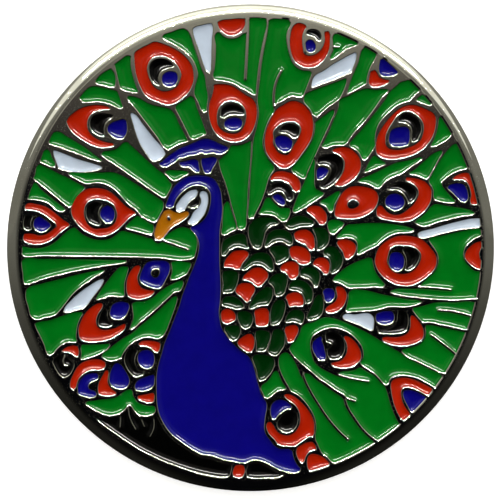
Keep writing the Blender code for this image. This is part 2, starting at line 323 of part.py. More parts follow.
  1.03,3.57 1.15,3.8 1.33,3.94 1.61,3.99 1.93,3.94 2.2,3.85 2.43,3.67 2.57,3.44 2.6,3.21 2.53,2.98
  2.39,2.91 2.27,2.98 2.16,3.16 2.02,3.34 1.79,3.48 1.52,3.55 1.29,3.55 1.1,3.5
eye_c3_black black
  0.92,3.02 1.01,3.11 1.19,3.34 1.47,3.44 1.79,3.37 2.02,3.21 2.16,2.98 2.23,2.75 2.2,2.56 2.07,2.45
  1.95,2.49 1.84,2.7 1.7,2.88 1.52,2.98 1.29,2.95 1.13,2.84 0.99,2.79 0.91,2.88
eye_c3_blue blue
  1.15,2.66 1.29,2.77 1.47,2.77 1.65,2.66 1.79,2.47 1.81,2.29 1.7,2.2 1.52,2.27 1.29,2.45
plume_c_e green
  0.44,1.78 0.48,1.87 0.64,2.2 0.78,2.52 0.87,2.61 1.01,2.61 1.15,2.43 1.38,2.2 1.61,2.06 1.84,2.08
  2.02,2.06 2.07,1.97 2.04,1.78 1.95,1.55 1.79,1.39 1.65,1.37 1.52,1.46 1.33,1.65 1.06,1.74 0.74,1.76
  0.51,1.76
scale_01 dark
  -0.11,0.91 -0.07,1.14 0.05,1.32 0.23,1.48 0.51,1.58 0.83,1.6 1.15,1.55 1.38,1.42 1.47,1.28 1.4,1.23
  1.15,1.19 0.92,1.03 0.76,0.8 0.69,0.5 0.62,0.22 0.55,0.04 0.37,-0.05 0.18,0.02 0.05,0.22 -0.07,0.54
scale_02 dark
  0.78,0.08 0.76,0.22 0.83,0.5 0.97,0.77 1.19,0.93 1.47,0.98 1.75,0.96 2.02,0.82 2.16,0.59 2.2,0.36
  2.16,0.2 2.02,0.15 1.84,0.25 1.61,0.34 1.38,0.34 1.15,0.25 0.97,0.11 0.85,0.06
scale_03 dark
  1.79,1.14 1.88,1.32 2.11,1.55 2.43,1.69 2.76,1.67 3.08,1.53 3.28,1.39 3.31,1.28 3.22,1.2 3.03,1.13
  2.76,1.13 2.43,1.06 2.16,0.97 1.98,1.01
scale_04 red
  2.27,0.73 2.39,0.84 2.66,0.93 2.94,0.93 3.12,0.82 3.28,0.59 3.33,0.31 3.33,0.04 3.26,-0.1 3.15,-0.12
  3.03,-0.03 2.85,0.18 2.62,0.27 2.43,0.36 2.32,0.5
scale_05 dark
  3.22,1.03 3.4,1.05 3.67,1.07 3.9,0.98 4.06,0.77 4.09,0.54 4.04,0.27 3.86,0.04 3.63,-0.1 3.49,-0.08
  3.47,0.04 3.47,0.31 3.42,0.59 3.33,0.82
drop_c_red red
  2.92,1.92 2.96,2.04 3.12,2.15 3.4,2.19 3.63,2.13 3.81,1.97 3.95,1.74 3.97,1.51 3.9,1.3 3.77,1.21
  3.63,1.23 3.51,1.37 3.35,1.55 3.12,1.74
plume_c_f green
  3.61,2.33 3.67,2.43 3.9,2.56 4.22,2.75 4.5,2.93 4.64,2.95 4.66,2.88 4.55,2.61 4.36,2.24 4.27,1.92
  4.18,1.85 4.09,1.9 4.02,2.06 3.86,2.22 3.67,2.29
plume_c_g green
  4.02,1.14 4.04,1.32 4.22,1.45 4.5,1.44 4.73,1.37 4.87,1.28 4.8,1.14 4.64,0.98 4.45,0.8 4.29,0.73
  4.18,0.77 4.09,0.91
eye_e2_red red
  4.39,1.78 4.43,2.06 4.55,2.43 4.68,2.7 4.87,2.95 5.14,3.14 5.51,3.21 5.88,3.18 6.25,3.09 6.47,2.98
  6.61,2.8 6.65,2.61 6.58,2.29 6.42,2.01 6.19,1.81 5.92,1.67 5.65,1.57 5.19,1.53 4.73,1.55 4.5,1.6
  4.41,1.67 hole 5.06,2.15 5.07,2.38 5.19,2.49 5.33,2.54 5.51,2.49 5.67,2.33 5.65,2.22 5.51,2.1 5.35,2.04
  5.14,2.06
eye_e2_black black
  5.16,2.26 5.21,2.38 5.33,2.43 5.46,2.37 5.5,2.26 5.45,2.16 5.33,2.12 5.21,2.15
plume_e_a green
  4.48,0.5 4.55,0.64 4.73,0.86 4.91,1.09 5.05,1.19 5.42,1.23 5.88,1.27 6.93,1.27 7.39,1.23 7.85,1.16
  8.3,1.05 8.51,0.95 8.4,0.84 8.12,0.8 7.71,0.8 7.39,0.7 7.11,0.57 6.84,0.36 6.56,0.11 6.24,-0.05
  5.83,-0.26 5.69,-0.35 5.6,-0.35 5.58,-0.28 5.58,0.04 5.56,0.27 5.42,0.45 5.19,0.54 4.91,0.55 4.64,0.5
scale_19 red
  4.5,0.23 4.55,0.34 4.78,0.43 5.05,0.41 5.35,0.28 5.49,0.05 5.44,-0.23 5.28,-0.46 5.1,-0.57 4.96,-0.57
  4.89,-0.44 4.8,-0.18 4.64,0.02
scale_18 dark
  3.79,-0.28 3.83,-0.14 4.04,0.05 4.32,0.07 4.55,-0.07 4.68,-0.28 4.8,-0.55 4.78,-0.78 4.64,-1.06
  4.45,-1.26 4.27,-1.33 4.18,-1.29 4.2,-1.01 4.18,-0.74 4.09,-0.53 3.9,-0.39
scale_10 dark
  1.01,-0.14 1.03,0 1.24,0.09 1.47,0.14 1.75,0.12 1.95,0 1.99,-0.23 1.98,-0.51 1.84,-0.64 1.65,-0.76
  1.42,-0.86 1.34,-0.8 1.26,-0.55 1.15,-0.35
scale_11 red
  2.04,-0.14 2.09,0 2.3,0.09 2.57,0.07 2.89,-0.05 3.08,-0.28 3.12,-0.55 3.05,-0.78 2.89,-0.85 2.66,-0.86
  2.5,-0.8 2.39,-0.67 2.2,-0.57 2.09,-0.41
scale_06 dark
  -1.48,-0.37 -1.51,-0.24 -1.48,0.13 -1.42,0.36 -1.19,0.54 -0.86,0.68 -0.54,0.75 -0.31,0.68 -0.22,0.54
  -0.18,0.22 -0.13,0.04 -0.14,-0.03 -0.31,-0.01 -0.59,0.06 -0.82,0.04 -1.05,-0.08 -1.23,-0.28 -1.37,-0.42
scale_07 red
  -0.91,-0.21 -0.59,-0.14 -0.27,-0.16 -0.11,-0.25 -0.11,-0.37 -0.27,-0.6 -0.45,-0.83 -0.57,-1.06
  -0.68,-1.11 -0.86,-1.06 -1.14,-1 -1.35,-0.99 -1.37,-0.87 -1.28,-0.6 -1.09,-0.37
scale_08 dark
  -1.46,-1.38 -1.4,-1.22 -1.14,-1.17 -0.82,-1.19 -0.64,-1.31 -0.63,-1.52 -0.7,-1.84 -0.84,-2.16 -0.96,-2.3
  -1.14,-2.33 -1.39,-2.34 -1.45,-2.2 -1.42,-1.84
scale_09 dark
  -0.41,-1.15 -0.44,-1.06 -0.27,-0.78 -0.05,-0.51 0.28,-0.28 0.6,-0.23 0.92,-0.32 1.1,-0.55 1.19,-0.87
  1.17,-1.15 1.06,-1.23 0.92,-1.15 0.74,-0.99 0.46,-0.86 0.18,-0.88 -0.09,-1.01 -0.27,-1.15
scale_12 red
  -0.41,-1.65 -0.34,-1.47 -0.09,-1.24 0.18,-1.06 0.46,-1.03 0.74,-1.15 0.9,-1.33 0.9,-1.52 0.74,-1.75
  0.55,-1.95 0.39,-2.03 0.23,-1.93 0.05,-1.77 -0.18,-1.69
scale_13 red
  -0.77,-2.25 -0.73,-2.07 -0.54,-1.88 -0.27,-1.84 0.01,-1.88 0.21,-2.07 0.21,-2.25 0.05,-2.53 -0.08,-2.76
  -0.2,-2.84 -0.31,-2.73 -0.5,-2.53 -0.68,-2.41
scale_14 dark
  -1.46,-2.94 -1.46,-2.71 -1.32,-2.57 -1.05,-2.5 -0.73,-2.57 -0.5,-2.76 -0.36,-2.99 -0.36,-3.12
  -0.54,-3.16 -0.77,-3.18 -1,-3.1 -1.23,-3.05 -1.44,-3.01
scale_15 dark
  -0.05,-3.17 -0.07,-3.08 0.09,-2.71 0.32,-2.39 0.6,-2.16 0.92,-2.02 1.08,-2.07 1.15,-2.25 1.13,-2.53
  1.01,-2.8 0.87,-2.96 0.6,-2.99 0.32,-3.05 0.09,-3.18
scale_16 dark
  0.94,-1.81 0.97,-1.7 1.15,-1.47 1.42,-1.33 1.7,-1.36 1.88,-1.52 1.91,-1.75 1.84,-2.07 1.75,-2.34
  1.61,-2.48 1.42,-2.5 1.29,-2.43 1.26,-2.25 1.22,-2.07 1.1,-1.91
scale_17 red
  1.54,-1.08 1.63,-0.92 1.84,-0.78 2.07,-0.71 2.34,-0.76 2.48,-0.87 2.5,-1.15 2.48,-1.42 2.34,-1.56
  2.16,-1.63 2.04,-1.57 1.95,-1.4 1.79,-1.26 1.61,-1.19
scale_20 dark
  2.62,-1.47 2.6,-1.24 2.76,-1.06 3.08,-0.99 3.35,-1.06 3.56,-1.24 3.61,-1.47 3.56,-1.79 3.44,-2.02
  3.35,-2.05 3.28,-1.93 3.17,-1.75 2.99,-1.59 2.76,-1.51
scale_21 dark
  2.02,-2.16 2.02,-1.95 2.16,-1.75 2.43,-1.65 2.76,-1.7 3.03,-1.88 3.22,-2.2 3.24,-2.53 3.15,-2.8
  3.01,-2.89 2.89,-2.85 2.82,-2.62 2.71,-2.39 2.53,-2.25 2.25,-2.2
scale_22 red
  1.84,-2.62 1.88,-2.5 2.07,-2.37 2.34,-2.32 2.57,-2.39 2.71,-2.57 2.76,-2.85 2.71,-3.01 2.53,-3.03
  2.3,-3.01 2.07,-3.08 2,-2.99 1.93,-2.76
scale_23 dark
  2.94,-3.67 2.95,-3.54 3.08,-3.26 3.22,-2.94 3.35,-2.62 3.54,-2.43 3.7,-2.48 3.79,-2.76 3.79,-3.12
  3.7,-3.44 3.49,-3.65 3.22,-3.74 3.03,-3.74
scale_24 red
  3.26,-0.87 3.31,-0.71 3.49,-0.55 3.72,-0.51 3.95,-0.6 4.09,-0.78 4.11,-1.06 4.04,-1.33 3.9,-1.38
  3.79,-1.29 3.67,-1.15 3.49,-1.01 3.33,-0.94
scale_25 dark
  -0.68,-3.44 -0.64,-3.34 -0.45,-3.28 -0.18,-3.31 0.05,-3.44 0.12,-3.67 0.08,-3.9 -0.08,-4.13 -0.27,-4.22
  -0.43,-4.13 -0.57,-3.9 -0.66,-3.67
scale_26 red
  -1.53,-3.58 -1.51,-3.35 -1.37,-3.21 -1.14,-3.19 -0.91,-3.31 -0.78,-3.54 -0.8,-3.74 -0.96,-3.86
  -1.28,-3.94 -1.42,-3.88 -1.5,-3.74
scale_27 dark
  -1.35,-4.22 -1.3,-4.09 -1.09,-4.04 -0.82,-4.02 -0.59,-4.06 -0.52,-4.27 -0.59,-4.55 -0.75,-4.78
  -0.89,-4.84 -1.05,-4.73 -1.23,-4.48
scale_28 red
  -0.68,-4.96 -0.64,-4.87 -0.41,-4.64 -0.13,-4.5 0.05,-4.5 0.17,-4.68 0.2,-4.96 0.15,-5.23 0.03,-5.42
  -0.13,-5.42 -0.36,-5.3 -0.59,-5.12
scale_29 red
  0.21,-3.35 0.25,-3.24 0.55,-3.15 0.83,-3.17 0.93,-3.28 0.96,-3.58 0.93,-3.9 0.83,-4.06 0.55,-4.09
  0.35,-4.06 0.28,-3.95 0.25,-3.63
scale_30 dark
  1.08,-4 1.06,-3.81 1.05,-3.49 1.1,-3.12 1.24,-2.85 1.47,-2.69 1.7,-2.71 1.81,-2.89 1.79,-3.21 1.7,-3.54
  1.56,-3.81 1.38,-3.97 1.19,-4.02
scale_31 dark
  1.81,-3.83 1.84,-3.7 1.98,-3.4 2.2,-3.24 2.48,-3.21 2.71,-3.31 2.8,-3.49 2.78,-3.72 2.69,-3.93
  2.57,-3.95 2.39,-3.86 2.16,-3.83 1.93,-3.88
scale_32 dark
  0.32,-5.37 0.32,-5.19 0.3,-4.87 0.25,-4.55 0.28,-4.36 0.51,-4.27 0.83,-4.32 1.01,-4.41 1.03,-4.64
  0.94,-4.96 0.83,-5.23 0.69,-5.37 0.51,-5.39
scale_33 dark
  0.9,-5.37 0.97,-5.14 1.06,-4.82 1.13,-4.5 1.19,-4.32 1.38,-4.22 1.61,-4.27 1.77,-4.45 1.79,-4.73
  1.75,-5.05 1.56,-5.37 1.38,-5.58 1.26,-5.61 1.06,-5.53
scale_34 red
  1.79,-4.27 1.84,-4.13 2.11,-4.04 2.39,-4.06 2.48,-4.18 2.46,-4.41 2.34,-4.64 2.18,-4.87 2.04,-4.92
  1.93,-4.87 1.88,-4.64
scale_35 dark
  0.09,-5.75 0.2,-5.6 0.62,-5.56 0.97,-5.62 1.19,-5.76 1.25,-6.02 1.15,-6.33 0.97,-6.61 0.78,-6.8
  0.6,-6.91 0.47,-6.89 0.39,-6.74 0.32,-6.38 0.21,-6.06
plume_e_b green
  5.92,3.94 5.99,4.08 6.19,4.49 6.42,4.78 6.51,4.8 6.61,4.7 6.84,4.54 7.02,4.42 7,4.33 6.7,4.22 6.33,4.08
  6.06,3.96
plume_e_c green
  5.6,3.44 5.74,3.59 6.01,3.7 6.47,3.9 7.07,4.2 7.57,4.42 8.12,4.53 8.53,4.63 8.86,4.7 8.97,4.66 8.74,4.49
  8.3,4.2 7.85,3.88 7.55,3.76 7.12,3.55 6.88,3.32 6.72,3.14 6.6,3.11 6.4,3.22 6.02,3.38
plume_e_d green
  8.28,3.85 8.3,3.94 8.49,4.03 8.76,4.26 9.13,4.58 9.45,4.86 9.77,5.02 9.96,5.07 9.98,5 9.82,4.68
  9.59,4.26 9.36,3.85 9.22,3.64 9.09,3.6 8.95,3.67 8.72,3.78 8.4,3.83
plume_e_e green
  10.7,5.42 10.58,5.38 10.37,5.2 10.14,4.93 9.82,4.47 9.59,4.08 9.38,3.7 9.3,3.5 9.33,3.38 9.45,3.21
  9.53,2.98 9.54,2.65 9.62,2.49 9.82,2.45 10.14,2.38 10.6,2.35 10.66,2.44 10.42,2.7 10.17,2.97 9.97,3.25
  9.93,3.42 10.19,3.67 10.51,3.89 10.88,4.06 11.24,4.15 11.32,4.24 11.2,4.63 11.01,5 10.83,5.32
eye_e3_blue blue
  10.26,3.11 10.33,3.23 10.55,3.32 10.88,3.34 11.06,3.3 11.22,3.11 11.31,2.84 11.31,2.56 11.24,2.43
  11.11,2.38 10.97,2.43 10.74,2.66 10.51,2.89
eye_e3_red red
  10.53,3.57 10.6,3.67 10.88,3.83 11.15,3.9 11.36,3.87 11.52,3.67 11.7,3.25 11.84,2.75 11.88,2.38
  11.84,2.29 11.66,2.24 11.5,2.29 11.45,2.43 11.5,2.7 11.47,2.98 11.38,3.25 11.24,3.46 11.06,3.55
  10.78,3.56
eye_e4_red red
  8.08,3.57 8.14,3.67 8.4,3.64 8.76,3.57 9.04,3.46 9.25,3.28 9.41,3.02 9.42,2.75 9.38,2.47 9.22,2.15
  8.95,1.83 8.63,1.6 8.26,1.42 7.89,1.37 7.39,1.42 7.02,1.48 6.74,1.58 6.61,1.67 6.57,1.83 6.61,2.1
  6.7,2.2 6.84,2.17 6.97,2.01 7.16,1.83 7.52,1.71 7.89,1.78 8.17,1.97 8.44,2.2 8.67,2.52 8.76,2.79
  8.74,3.02 8.58,3.25 8.35,3.41 8.12,3.5
eye_e4_black black
  7.16,3.02 7.18,3.16 7.34,3.3 7.62,3.37 7.94,3.39 8.26,3.28 8.53,3.07 8.65,2.89 8.63,2.7 8.49,2.47
  8.35,2.36 8.24,2.38 8.17,2.52 8.05,2.75 7.85,2.93 7.52,3.05 7.29,3.02
eye_e4_blue blue
  7.02,2.42 7.12,2.66 7.32,2.79 7.52,2.82 7.78,2.75 7.96,2.58 8.02,2.36 7.92,2.13 7.72,1.99 7.5,1.96
  7.26,2.04 7.08,2.2
plume_e_f green
  8.56,1.3 8.62,1.4 8.86,1.58 9.13,1.83 9.41,2.15 9.56,2.26 9.77,2.27 10.14,2.2 10.6,2.13 11.06,2.06
  11.52,1.92 11.68,1.8 11.56,1.74 11.06,1.67 10.37,1.52 9.68,1.34 9.04,1.14 8.9,1.14 8.66,1.26
quill_e white
  8.72,0.68 8.76,0.77 8.95,0.86 9.45,0.98 10.14,1.19 10.83,1.37 11.52,1.51 11.98,1.53 12.03,1.46
  12.03,1.19 11.95,1.12 11.29,1.03 10.6,0.91 9.91,0.75 9.22,0.57 8.95,0.52 8.76,0.59
plume_e_g green
  9.29,0.42 9.36,0.48 9.91,0.61 10.6,0.77 11.29,0.91 11.89,0.98 12.07,0.91 12.12,0.75 12,0.66 11.61,0.47
  11.33,0.24 11.18,0.06 11.1,-0.2 11.08,-0.46 11.16,-0.68 11.36,-0.93 11.68,-1.2 11.98,-1.28 12.05,-1.4
  12.02,-1.84 11.9,-2.5 11.82,-2.58 11.5,-2.64 10.6,-2.69 9.68,-2.66 8.76,-2.57 7.85,-2.45 7.32,-2.33
  7.3,-2.27 7.48,-2.18 8.3,-2.14 8.82,-2.13 8.88,-1.95 9.02,-1.78 9.27,-1.56 9.59,-1.24 9.75,-0.92
  9.8,-0.6 9.73,-0.28 9.54,0.05 9.36,0.3 line 0.13 8.8,-2.06 9.4,-2.1 10.42,-2.19
eye_e5_red red
  11.17,-0.44 11.24,-0.18 11.43,0.05 11.7,0.25 11.98,0.34 12.08,0.27 12.08,0.14 11.98,-0.05 11.91,-0.28
  11.93,-0.51 12.05,-0.78 12.08,-0.97 12.03,-1.08 11.89,-1.1 11.61,-0.97 11.34,-0.74
eye_e6_red red
  6.49,-0.74 6.54,-0.37 6.67,-0.05 6.91,0.22 7.16,0.4 7.48,0.55 7.85,0.63 8.3,0.61 8.67,0.54 8.99,0.38
  9.28,0.1 9.47,-0.12 9.62,-0.35 9.69,-0.64 9.63,-0.97 9.41,-1.29 9.09,-1.56 8.76,-1.79 8.4,-1.93
  7.98,-1.97 7.57,-1.88 7.16,-1.68 6.84,-1.42 6.61,-1.1 hole 7.11,-0.74 7.16,-0.37 7.27,-0.05 7.48,0.11
  7.98,0.14 8.4,0.09 8.72,-0.09 8.88,-0.32 8.88,-0.55 8.76,-0.87 8.53,-1.15 8.26,-1.31 7.94,-1.37
  7.52,-1.29 7.25,-1.06
eye_e6_blue blue
  7.23,-0.6 7.32,-0.32 7.52,-0.23 7.8,-0.28 7.96,-0.46 8,-0.78 7.92,-1.06 7.75,-1.2 7.52,-1.19 7.32,-1.03
  7.22,-0.83
eye_e6_black black
  7.93,-0.14 8.12,-0.02 8.44,-0.05 8.7,-0.23 8.79,-0.41 8.72,-0.69 8.53,-0.97 8.3,-1.15 8.12,-1.17
  8.09,-1.08 8.14,-0.78 8.1,-0.46
plume_sw_a green
  -11.9,-0.68 -11.82,-0.6 -11,-0.58 -9,-0.6 -7.2,-0.63 -6.5,-0.66 -6.46,-0.72 -6.6,-0.77 -7.24,-0.86
  -8.62,-1.09 -10,-1.39 -10.91,-1.64 -11.58,-1.87 -11.72,-1.9 -11.78,-1.8 -11.85,-1.29 -11.91,-0.85
plume_sw_b green
  -11.65,-2.16 -11.56,-2.08 -10.91,-1.88 -10,-1.65 -9.08,-1.42 -8.16,-1.22 -7.65,-1.15 -7.61,-1.2
  -7.7,-1.26 -8.16,-1.52 -8.71,-1.91 -9.26,-2.39 -9.63,-2.85 -10,-3.31 -10.11,-3.43 -10.68,-3.6
  -11.23,-3.7 -11.37,-3.61 -11.56,-3.08 -11.7,-2.48
quill_sw white
  -9.72,-3.33 -9.7,-3.21 -9.35,-2.76 -8.85,-2.3 -8.34,-1.95 -7.88,-1.68 -7.7,-1.63 -7.64,-1.7 -7.75,-1.93
  -8.02,-2.3 -8.3,-2.66 -8.53,-2.99 -8.76,-3.15 -9.17,-3.26 -9.58,-3.35
plume_sw_c green
  -6.78,-1.01 -6.41,-0.99 -6.36,-1.06 -6.46,-1.42 -6.57,-1.84 -6.58,-2.2 -6.57,-2.46 -6.69,-2.53
  -7.01,-2.49 -7.33,-2.5 -7.65,-2.6 -7.98,-2.7 -8.04,-2.66 -7.93,-2.43 -7.7,-2.07 -7.38,-1.65 -7.06,-1.26
eye_sw1_red red
  -5.82,-0.92 -5.73,-1.01 -5.8,-1.24 -5.89,-1.47 -5.88,-1.72 -5.74,-2.02 -5.36,-2.2 -5.04,-2.23 -5.01,-2.3
  -5.09,-2.41 -5.32,-2.55 -5.73,-2.66 -6.1,-2.64 -6.33,-2.53 -6.42,-2.34 -6.45,-1.98 -6.38,-1.52
  -6.22,-1.2 -6.01,-0.97
eye_sw1_blue blue
  -5.76,-1.65 -5.72,-1.38 -5.59,-1.06 -5.41,-0.8 -5.13,-0.69 -4.72,-0.67 -4.35,-0.73 -4.22,-0.87
  -4.2,-1.06 -4.26,-1.33 -4.4,-1.61 -4.58,-1.93 -4.68,-2.06 -4.86,-2.11 -5.18,-2.05 -5.5,-1.91 -5.7,-1.76
  hole -5.18,-1.42 -5.18,-1.24 -5.04,-1.1 -4.81,-1.06 -4.74,-1.15 -4.74,-1.38 -4.86,-1.54 -5.04,-1.56
eye_sw1_dot black
  -5.1,-1.33 -5.06,-1.2 -4.96,-1.15 -4.86,-1.2 -4.83,-1.33 -4.87,-1.46 -4.97,-1.5 -5.07,-1.45
plume_s_a green
  -4.13,-0.78 -4.06,-0.74 -3.44,-0.74 -3.13,-0.78 -3.11,-0.85 -3.22,-1.15 -3.36,-1.38 -3.53,-1.47
  -3.9,-1.63 -4.13,-1.66 -4.15,-1.56 -4.08,-1.29 -4.08,-1.01
plume_s_b green
  -3.71,-1.74 -3.55,-1.7 -3.5,-1.81 -3.58,-2.07 -3.68,-2.23 -3.8,-2.27 -3.94,-2.27 -4.08,-2.39 -4.35,-2.64
  -4.72,-2.99 -5.27,-3.47 -5.73,-3.84 -6.15,-4.2 -6.28,-4.23 -6.21,-4 -6.1,-3.67 -6.12,-3.26 -6.17,-2.94
  -6.05,-2.85 -5.6,-2.8 -5.13,-2.62 -4.68,-2.25 -4.26,-1.98
plume_s_c green
  -3.9,-2.53 -3.81,-2.57 -3.85,-2.8 -4.03,-3.35 -4.22,-3.86 -4.45,-4.41 -4.54,-4.55 -4.68,-4.66
  -4.86,-4.73 -5.13,-4.66 -5.41,-4.64 -5.73,-4.71 -6.05,-4.87 -6.33,-5.07 -6.56,-5.35 -6.68,-5.55
  -6.78,-5.74 -6.96,-5.81 -7.29,-5.88 -7.52,-5.81 -7.72,-5.69 -7.7,-5.56 -7.38,-5.28 -7.06,-5.02
  -6.65,-4.73 -6.19,-4.45 -5.73,-4.06 -5.27,-3.69 -4.72,-3.2 -4.26,-2.78 -4.03,-2.58
plume_sw_d green
  -11.23,-3.97 -11.17,-3.93 -10.45,-3.77 -9.77,-3.54 -9.08,-3.36 -8.78,-3.35 -8.75,-3.44 -8.87,-3.63
  -9,-3.95 -9.07,-4.32 -9.09,-4.68 -9.05,-4.87 -9.17,-4.91 -9.44,-4.89 -9.72,-4.96 -9.95,-5.12
  -10.18,-5.35 -10.32,-5.52 -10.45,-5.58 -10.55,-5.51 -10.73,-5.05 -10.96,-4.55 -11.17,-4.13
eye_sw2_red red
  -7.79,-2.87 -7.7,-2.96 -7.73,-3.08 -7.95,-3.44 -8.05,-3.77 -8.01,-4.04 -7.79,-4.25 -7.47,-4.27 -7.1,-4.2
  -6.74,-4.04 -6.55,-3.96 -6.5,-4.03 -6.55,-4.2 -6.83,-4.45 -7.24,-4.71 -7.7,-4.84 -8.16,-4.89 -8.62,-4.86
  -8.85,-4.73 -8.93,-4.5 -8.93,-4.13 -8.84,-3.86 -8.62,-3.44 -8.3,-3.12 -7.98,-2.92
eye_sw2_black black
  -7.6,-3.14 -7.76,-3.38 -7.88,-3.7 -7.91,-3.95 -7.84,-4.05 -7.6,-4.11 -7.38,-4.1 -7.2,-4.02 -7.25,-3.93
  -7.36,-3.8 -7.47,-3.55 -7.47,-3.28
eye_sw2_blue blue
  -7.31,-3.49 -7.29,-3.26 -7.19,-2.99 -6.96,-2.85 -6.64,-2.82 -6.38,-2.89 -6.32,-3.03 -6.39,-3.31
  -6.55,-3.58 -6.69,-3.68 -6.96,-3.72 -7.19,-3.65
plume_sw_e green
  -8.82,-5.14 -8.76,-5.05 -8.39,-5.05 -7.88,-5.03 -7.38,-5 -7.33,-5.07 -7.47,-5.26 -7.88,-5.51 -8.34,-5.69
  -8.76,-5.81 -8.82,-5.76 -8.8,-5.46
eye_sw3_red red
  -9.81,-5.4 -9.72,-5.28 -9.44,-5.14 -9.14,-5.1 -8.99,-5.17 -8.95,-5.37 -8.99,-5.62 -9.08,-5.69
  -9.21,-5.56 -9.44,-5.42 -9.67,-5.41
heart_black black
  -10.3,-5.95 -10.2,-5.74 -9.95,-5.62 -9.65,-5.66 -9.4,-5.78 -9.22,-5.95 -9.2,-6.15 -9.3,-6.4 -9.49,-6.65
  -9.7,-6.75 -9.88,-6.65 -10.08,-6.38 line 0.08 -9.62,-5.6 -9.76,-5.92 -9.7,-6.1 -9.54,-6.15
hook_sw_red red
  -9.24,-7.38 -9.35,-7.3 -9.39,-7.12 -9.35,-6.9 -9.21,-6.56 -9.03,-6.24 -8.8,-6.01 -8.48,-5.87 -8.07,-5.81
  -7.72,-5.87 -7.57,-5.99 -7.56,-6.15 -7.7,-6.31 -7.88,-6.37 -8.16,-6.34 -8.43,-6.4 -8.71,-6.56
  -8.94,-6.79 -9.05,-7.07 -9.12,-7.3
comma_sw_blue blue
  -8.98,-7.48 -8.98,-7.16 -8.85,-6.88 -8.62,-6.65 -8.3,-6.54 -8.02,-6.54 -7.93,-6.65 -7.96,-6.81
  -8.07,-6.89 -8.18,-6.93 -8.37,-7.04 -8.46,-7.2 -8.41,-7.36 -8.23,-7.43 -8.08,-7.5 -8.03,-7.63 -8.1,-7.75
  -8.3,-7.79 -8.62,-7.73 -8.88,-7.66 -8.97,-7.59
hook_s_red red
  -7.47,-6.37 -7.41,-6.44 -7.42,-6.7 -7.44,-7.02 -7.34,-7.25 -7.15,-7.43 -7,-7.53 -7.01,-7.62 -7.15,-7.68
  -7.47,-7.7 -7.75,-7.67 -7.9,-7.59 -7.93,-7.39 -7.91,-7.11 -7.8,-6.84 -7.67,-6.61 -7.56,-6.42
drop_s_blue blue
  -6.94,-6.01 -6.82,-6.06 -6.64,-6.24 -6.47,-6.51 -6.35,-6.74 -6.31,-6.97 -6.38,-7.15 -6.55,-7.31
  -6.78,-7.34 -7.06,-7.28 -7.24,-7.13 -7.33,-6.97 -7.33,-6.7 -7.27,-6.42 -7.16,-6.19 -7.06,-6.05
eye_s1_black black
  -6.3,-5.28 -6.05,-5.27 -5.88,-5.38 -5.96,-5.52 -6.04,-5.75 -6.04,-5.97 -5.95,-6.22 -5.8,-6.38 -5.6,-6.48
  -5.57,-6.56 -5.71,-6.65 -5.89,-6.71 -6.12,-6.62 -6.31,-6.42 -6.47,-6.15 -6.55,-5.9 -6.53,-5.65
  -6.43,-5.42
eye_s1_blue blue
  -5.87,-5.79 -5.81,-5.51 -5.59,-5.35 -5.32,-5.33 -5.11,-5.46 -5.02,-5.69 -5.03,-5.97 -5.14,-6.2
  -5.32,-6.28 -5.55,-6.24 -5.77,-6.06
eye_s1_red red
  -5.82,-5.03 -5.73,-4.91 -5.46,-4.84 -5.09,-4.86 -4.83,-4.92 -4.71,-4.98 -4.71,-5.14 -4.79,-5.37
  -4.88,-5.45 -5.02,-5.38 -5.18,-5.22 -5.46,-5.12 -5.73,-5.1
moon_s_blue blue
  -5.06,-6.61 -5.01,-6.69 -5.01,-6.93 -5.05,-7.16 -5.23,-7.32 -5.5,-7.44 -5.78,-7.45 -5.97,-7.37
  -6.01,-7.25 -5.95,-7.02 -5.78,-6.86 -5.5,-6.74 -5.23,-6.65
tooth_s_red red
  -5.87,-7.8 -5.85,-7.71 -5.64,-7.67 -5.32,-7.61 -5.1,-7.55 -5.03,-7.61 -5.02,-7.85 -5.05,-8 -5.18,-8.06
  -5.41,-8.05 -5.66,-7.96 -5.82,-7.88
tuft_green green
  -8.59,-8.12 -8.53,-8.05 -8.16,-7.97 -7.79,-7.91 -7.33,-7.87 -6.96,-7.77 -6.69,-7.58 -6.46,-7.43
  -6.28,-7.38 -6.17,-7.45 -6.12,-7.71 -6.01,-7.88 -5.87,-8.05 -5.59,-8.17 -5.27,-8.23 -5.04,-8.25
  -4.97,-8.31 -4.95,-8.42 -5.02,-8.59 -5.23,-8.71 -5.55,-8.74 -5.82,-8.67 -6.03,-8.49 -6.17,-8.26
  -6.28,-8.16 -6.37,-8.19 -6.56,-8.42 -6.87,-8.63 -7.19,-8.71 -7.52,-8.69 -7.84,-8.57 -8.16,-8.4
  -8.48,-8.21
ground_black black
  -7.98,-8.93 -7.8,-8.88 -7.33,-8.9 -6.96,-8.85 -6.62,-8.64 -6.38,-8.4 -6.28,-8.36 -6.18,-8.48 -6.02,-8.73
  -5.78,-8.89 -5.36,-8.93 -5.04,-8.86 -4.92,-8.78 -4.82,-8.92 -4.62,-9.29 -4.3,-9.74 -3.98,-10.05
  -3.5,-10.38 -3.02,-10.69 -2.52,-10.93 -2,-11 -1.6,-11.15 -1.23,-11.24 -1.03,-11.27 -0.99,-11.36
  -1.02,-11.62 -1.1,-11.84 -1.2,-11.92 -1.37,-11.93 -2.06,-11.84 -2.98,-11.63 -3.9,-11.33 -4.81,-10.96
  -5.73,-10.5 -6.55,-9.98 -7.24,-9.5 -7.86,-9.04
foot_red red
  -0.91,-11.8 -0.89,-11.57 -0.8,-11.36 -0.59,-11.3 -0.38,-11.34 -0.3,-11.52 -0.34,-11.78 -0.45,-11.93
  -0.64,-11.96 -0.82,-11.91
foot_black black
  -0.09,-11.26 0.18,-11.18 0.51,-11.22 0.83,-11.37 1.29,-11.6 1.61,-11.76 1.7,-11.85 1.52,-11.91
  0.83,-11.97 0.14,-11.98 -0.12,-11.94 -0.19,-11.82 -0.17,-11.47
eye_se1_blue blue
